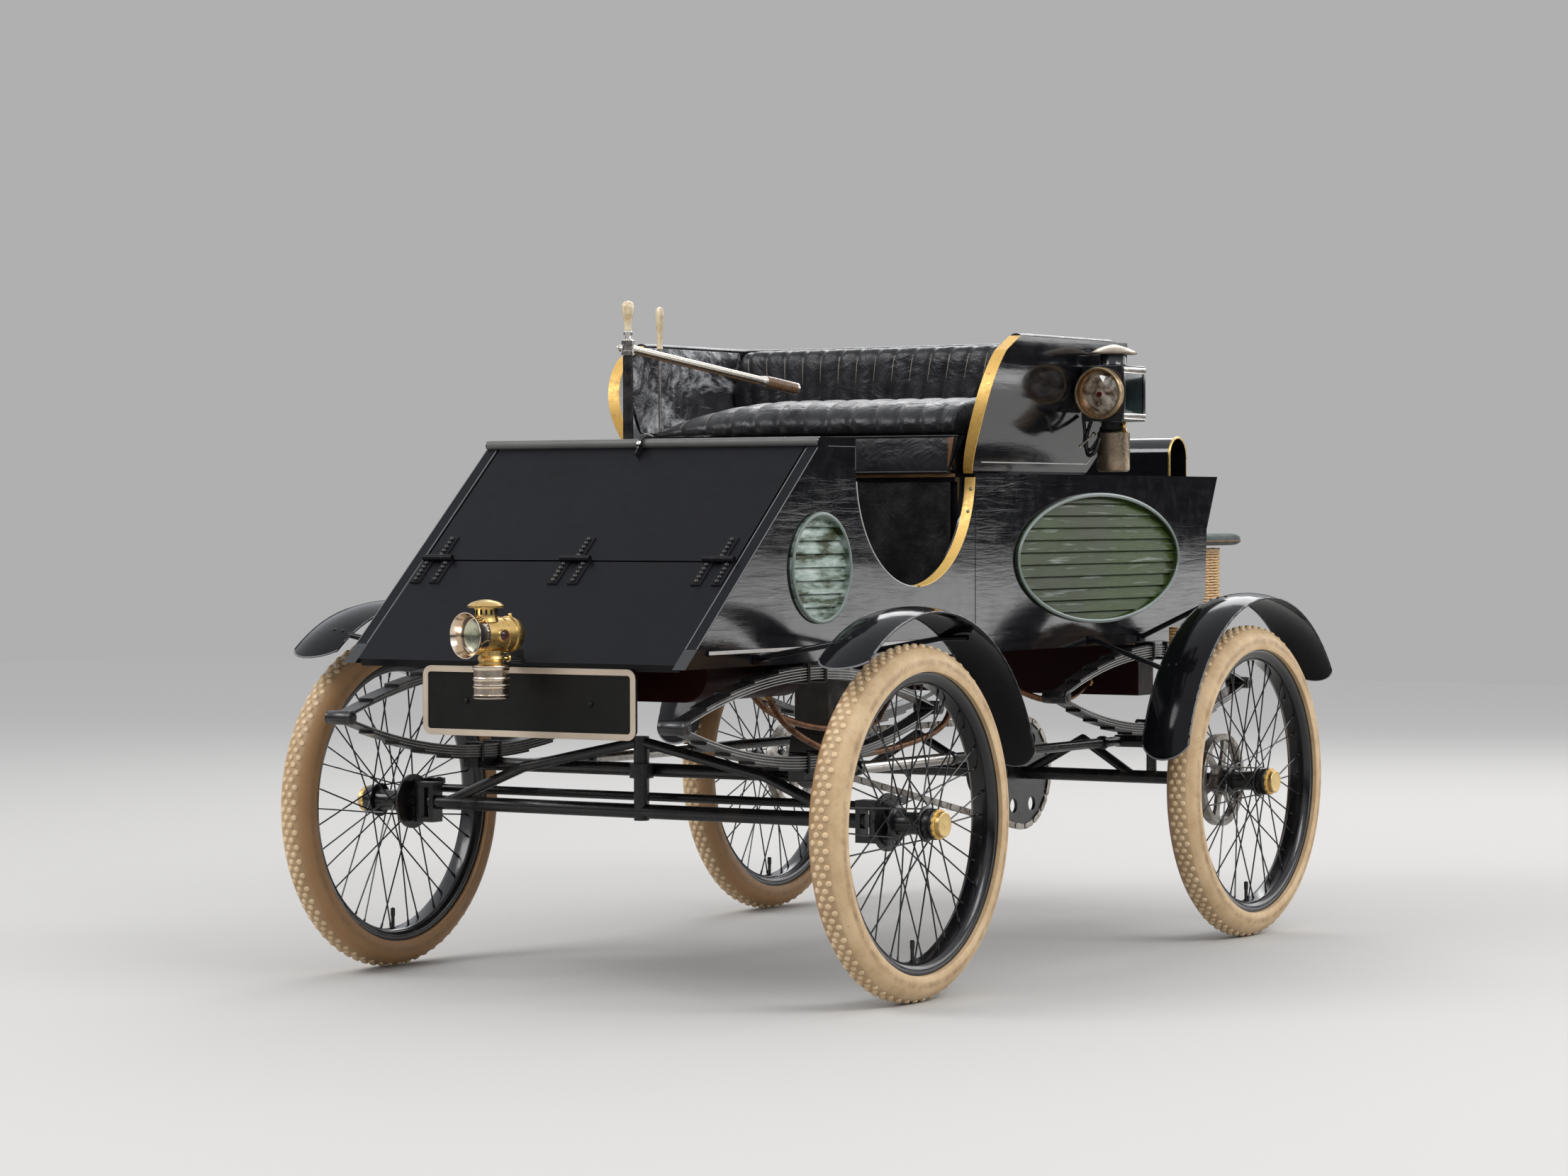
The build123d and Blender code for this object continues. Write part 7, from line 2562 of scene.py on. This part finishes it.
@dataclass
class Studio:
    """Floor, lights and the camera at the photograph's viewing angle.

    Attributes:
        camera_at: Place of the camera in the car's stations.
        focal_px: Focal length in pixels of a picture that is picture_w wide.
        backdrop: Tone behind the car, which is that of the floor's far part.
        sky_tones: Tones of the sky by the sine of the elevation.
    """

    camera_at: Point = (4757.06, -6981.5, 970.0)
    focal_px: float = 5776.5
    picture_w: float = 2212.0
    yaw: float = 0.56321
    pitch: float = -0.018217
    roll: float = -0.002045
    sensor: float = 36.0
    backdrop: Colour = (0.433, 0.433, 0.433)
    sky_tones: tuple[tuple[float, Colour], ...] = ((0.0, (0.02, 0.02, 0.022)), (0.07, (0.03, 0.03, 0.034)),
                                                   (0.16, (0.32, 0.33, 0.35)), (0.3, (0.86, 0.88, 0.92)),
                                                   (1.0, (0.84, 0.86, 0.9)))

    def camera(self) -> None:
        """Camera by its yaw from the car's length, pitch and roll."""
        data = bpy.data.cameras.new("camera")
        data.sensor_fit = "HORIZONTAL"
        data.sensor_width = self.sensor
        data.lens = self.focal_px / self.picture_w * self.sensor
        data.clip_end = 200.0
        camera = bpy.data.objects.new("camera", data)
        bpy.context.scene.collection.objects.link(camera)
        y, p, t = self.yaw, self.pitch, self.roll
        ahead = Vector((-math.sin(y) * math.cos(p), math.cos(y) * math.cos(p), math.sin(p)))
        level = Vector((math.cos(y), math.sin(y), 0.0))
        above = level.cross(ahead)
        right = math.cos(t) * level + math.sin(t) * above
        up = -math.sin(t) * level + math.cos(t) * above
        turn = Matrix((right, up, -ahead)).transposed()
        camera.matrix_world = Matrix.Translation(to_frame(self.camera_at)) @ turn.to_4x4()
        bpy.context.scene.camera = camera

    def floor(self) -> None:
        """Pale floor round the car, which the backdrop's own tone continues."""
        half = 14.0
        mesh = bpy.data.meshes.new("floor")
        mesh.from_pydata([(-half, -half, 0.0), (half, -half, 0.0), (half, half, 0.0), (-half, half, 0.0)], [],
                         [(0, 1, 2, 3)])
        plane = bpy.data.objects.new("floor", mesh)
        bpy.context.scene.collection.objects.link(plane)
        graph = Graph("pale_floor")
        graph.set(Base_Color=(0.50, 0.4875, 0.467, 1.0), Roughness=0.9)
        mesh.materials.append(graph.material)

    def sky(self) -> None:
        """Soft sky, darker near the horizon, with a plain pale backdrop behind the car."""
        world = bpy.data.worlds.new("studio")
        bpy.context.scene.world = world
        world.use_nodes = True
        nodes = Nodes(world.node_tree)
        way = nodes.add("ShaderNodeTexCoord").outputs["Generated"]
        height = nodes.add("ShaderNodeSeparateXYZ", {0: way}).outputs["Z"]
        seen = nodes.add("ShaderNodeLightPath").outputs["Is Camera Ray"]
        tone = nodes.blend(seen, nodes.ramp(height, self.sky_tones), self.backdrop)
        nodes.feed(nodes.tree.nodes["Background"].inputs["Color"], tone)

    def lights(self) -> None:
        """Three wide soft lamps, and a long high and a low one that the polished side mirrors."""
        # name, place, aim, width, height, power
        table = (("key", (-3.5, -5.5, 5.5), (0.0, 0.0, 0.6), 4.5, 3.0, 300.0),
                 ("side", (6.0, -1.5, 5.2), (0.3, 0.0, 0.7), 5.0, 2.2, 240.0),
                 ("high", (4.9, 7.0, 3.3), (0.4, 0.2, 0.8), 8.0, 2.6, 170.0),
                 ("low", (4.9, 7.0, 0.42), (0.4, 0.2, 0.42), 8.0, 0.66, 34.0),
                 ("back", (-2.0, 6.0, 4.8), (0.0, 0.4, 0.8), 5.0, 2.5, 160.0))
        for name, place, aim, width, height, power in table:
            data = bpy.data.lights.new(name, "AREA")
            data.shape = "RECTANGLE"
            data.size, data.size_y, data.energy = width, height, power
            lamp = bpy.data.objects.new(name, data)
            bpy.context.scene.collection.objects.link(lamp)
            lamp.location = place
            lamp.rotation_euler = (Vector(aim) - Vector(place)).to_track_quat("-Z", "Y").to_euler()

    def build(self) -> None:
        """Sets up the picture."""
        bpy.context.scene.view_settings.view_transform = "Standard"
        self.camera()
        self.floor()
        self.sky()
        self.lights()


def wheels() -> None:
    """Four wheels with their tyres."""
    tyre = Tyre()
    for end in End:
        for side in Side:
            Wheel(end, side).build(tyre)


def side_lamps() -> None:
    """Both carriage lamps, in place of the node that holds them."""
    for side in Side:
        SideLamp(side).build()
    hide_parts("side_lamps")


def carried_over() -> None:
    """Finishes of the CAD nodes that stay in view."""
    dress(Look.iron, "front_axle", "knuckle_left", "knuckle_right", "tie_rod", "rear_axle", "perch_frame",
          "springs", "hamper_rack", "tiller_post", "throttle")
    dress(Look.coach, "sill_frame", "cheeks", "quarters", "ledge", "tail", "deck", "seat_box", "seat_shell",
          "tunnel_hood")
    dress(Look.slats, "vents")
    dress(Look.lid, "lid_lower", "lid_upper")
    dress(Look.guard, "mudguards")
    dress(Look.trim_brass, "arm_trims")
    dress(Look.brass, "front_lamp", "side_lamps")
    dress(Look.steel, "chain")
    dress(Look.nickel, "tiller")
    dress(Look.plate, "number_plate")
    dress(Look.seat_leather, "seat_cushion", "back_cushion")
    dress(Look.cane, "hamper")
    dress(Look.canvas, "hamper_lid")
    dress(Look.floor_wood, "floor")
    dress(Look.engine, "engine")
    dress(Look.lagging, "boiler")
    dress(Look.maroon, "tanks")


def main() -> None:
    """Builds the car's looks in order and reports each piece."""
    logging.basicConfig(level=logging.INFO, format="%(name)s %(message)s")
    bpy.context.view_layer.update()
    seat = SeatForm()
    Studio().build()
    carried_over()
    wheels()
    Upholstery(seat).build()
    Coachwork().build(seat)
    FrontLamp().build()
    side_lamps()
    Controls().build()
    Hamper().build()
    Underbody().build()


if __name__ == "__main__":
    main()
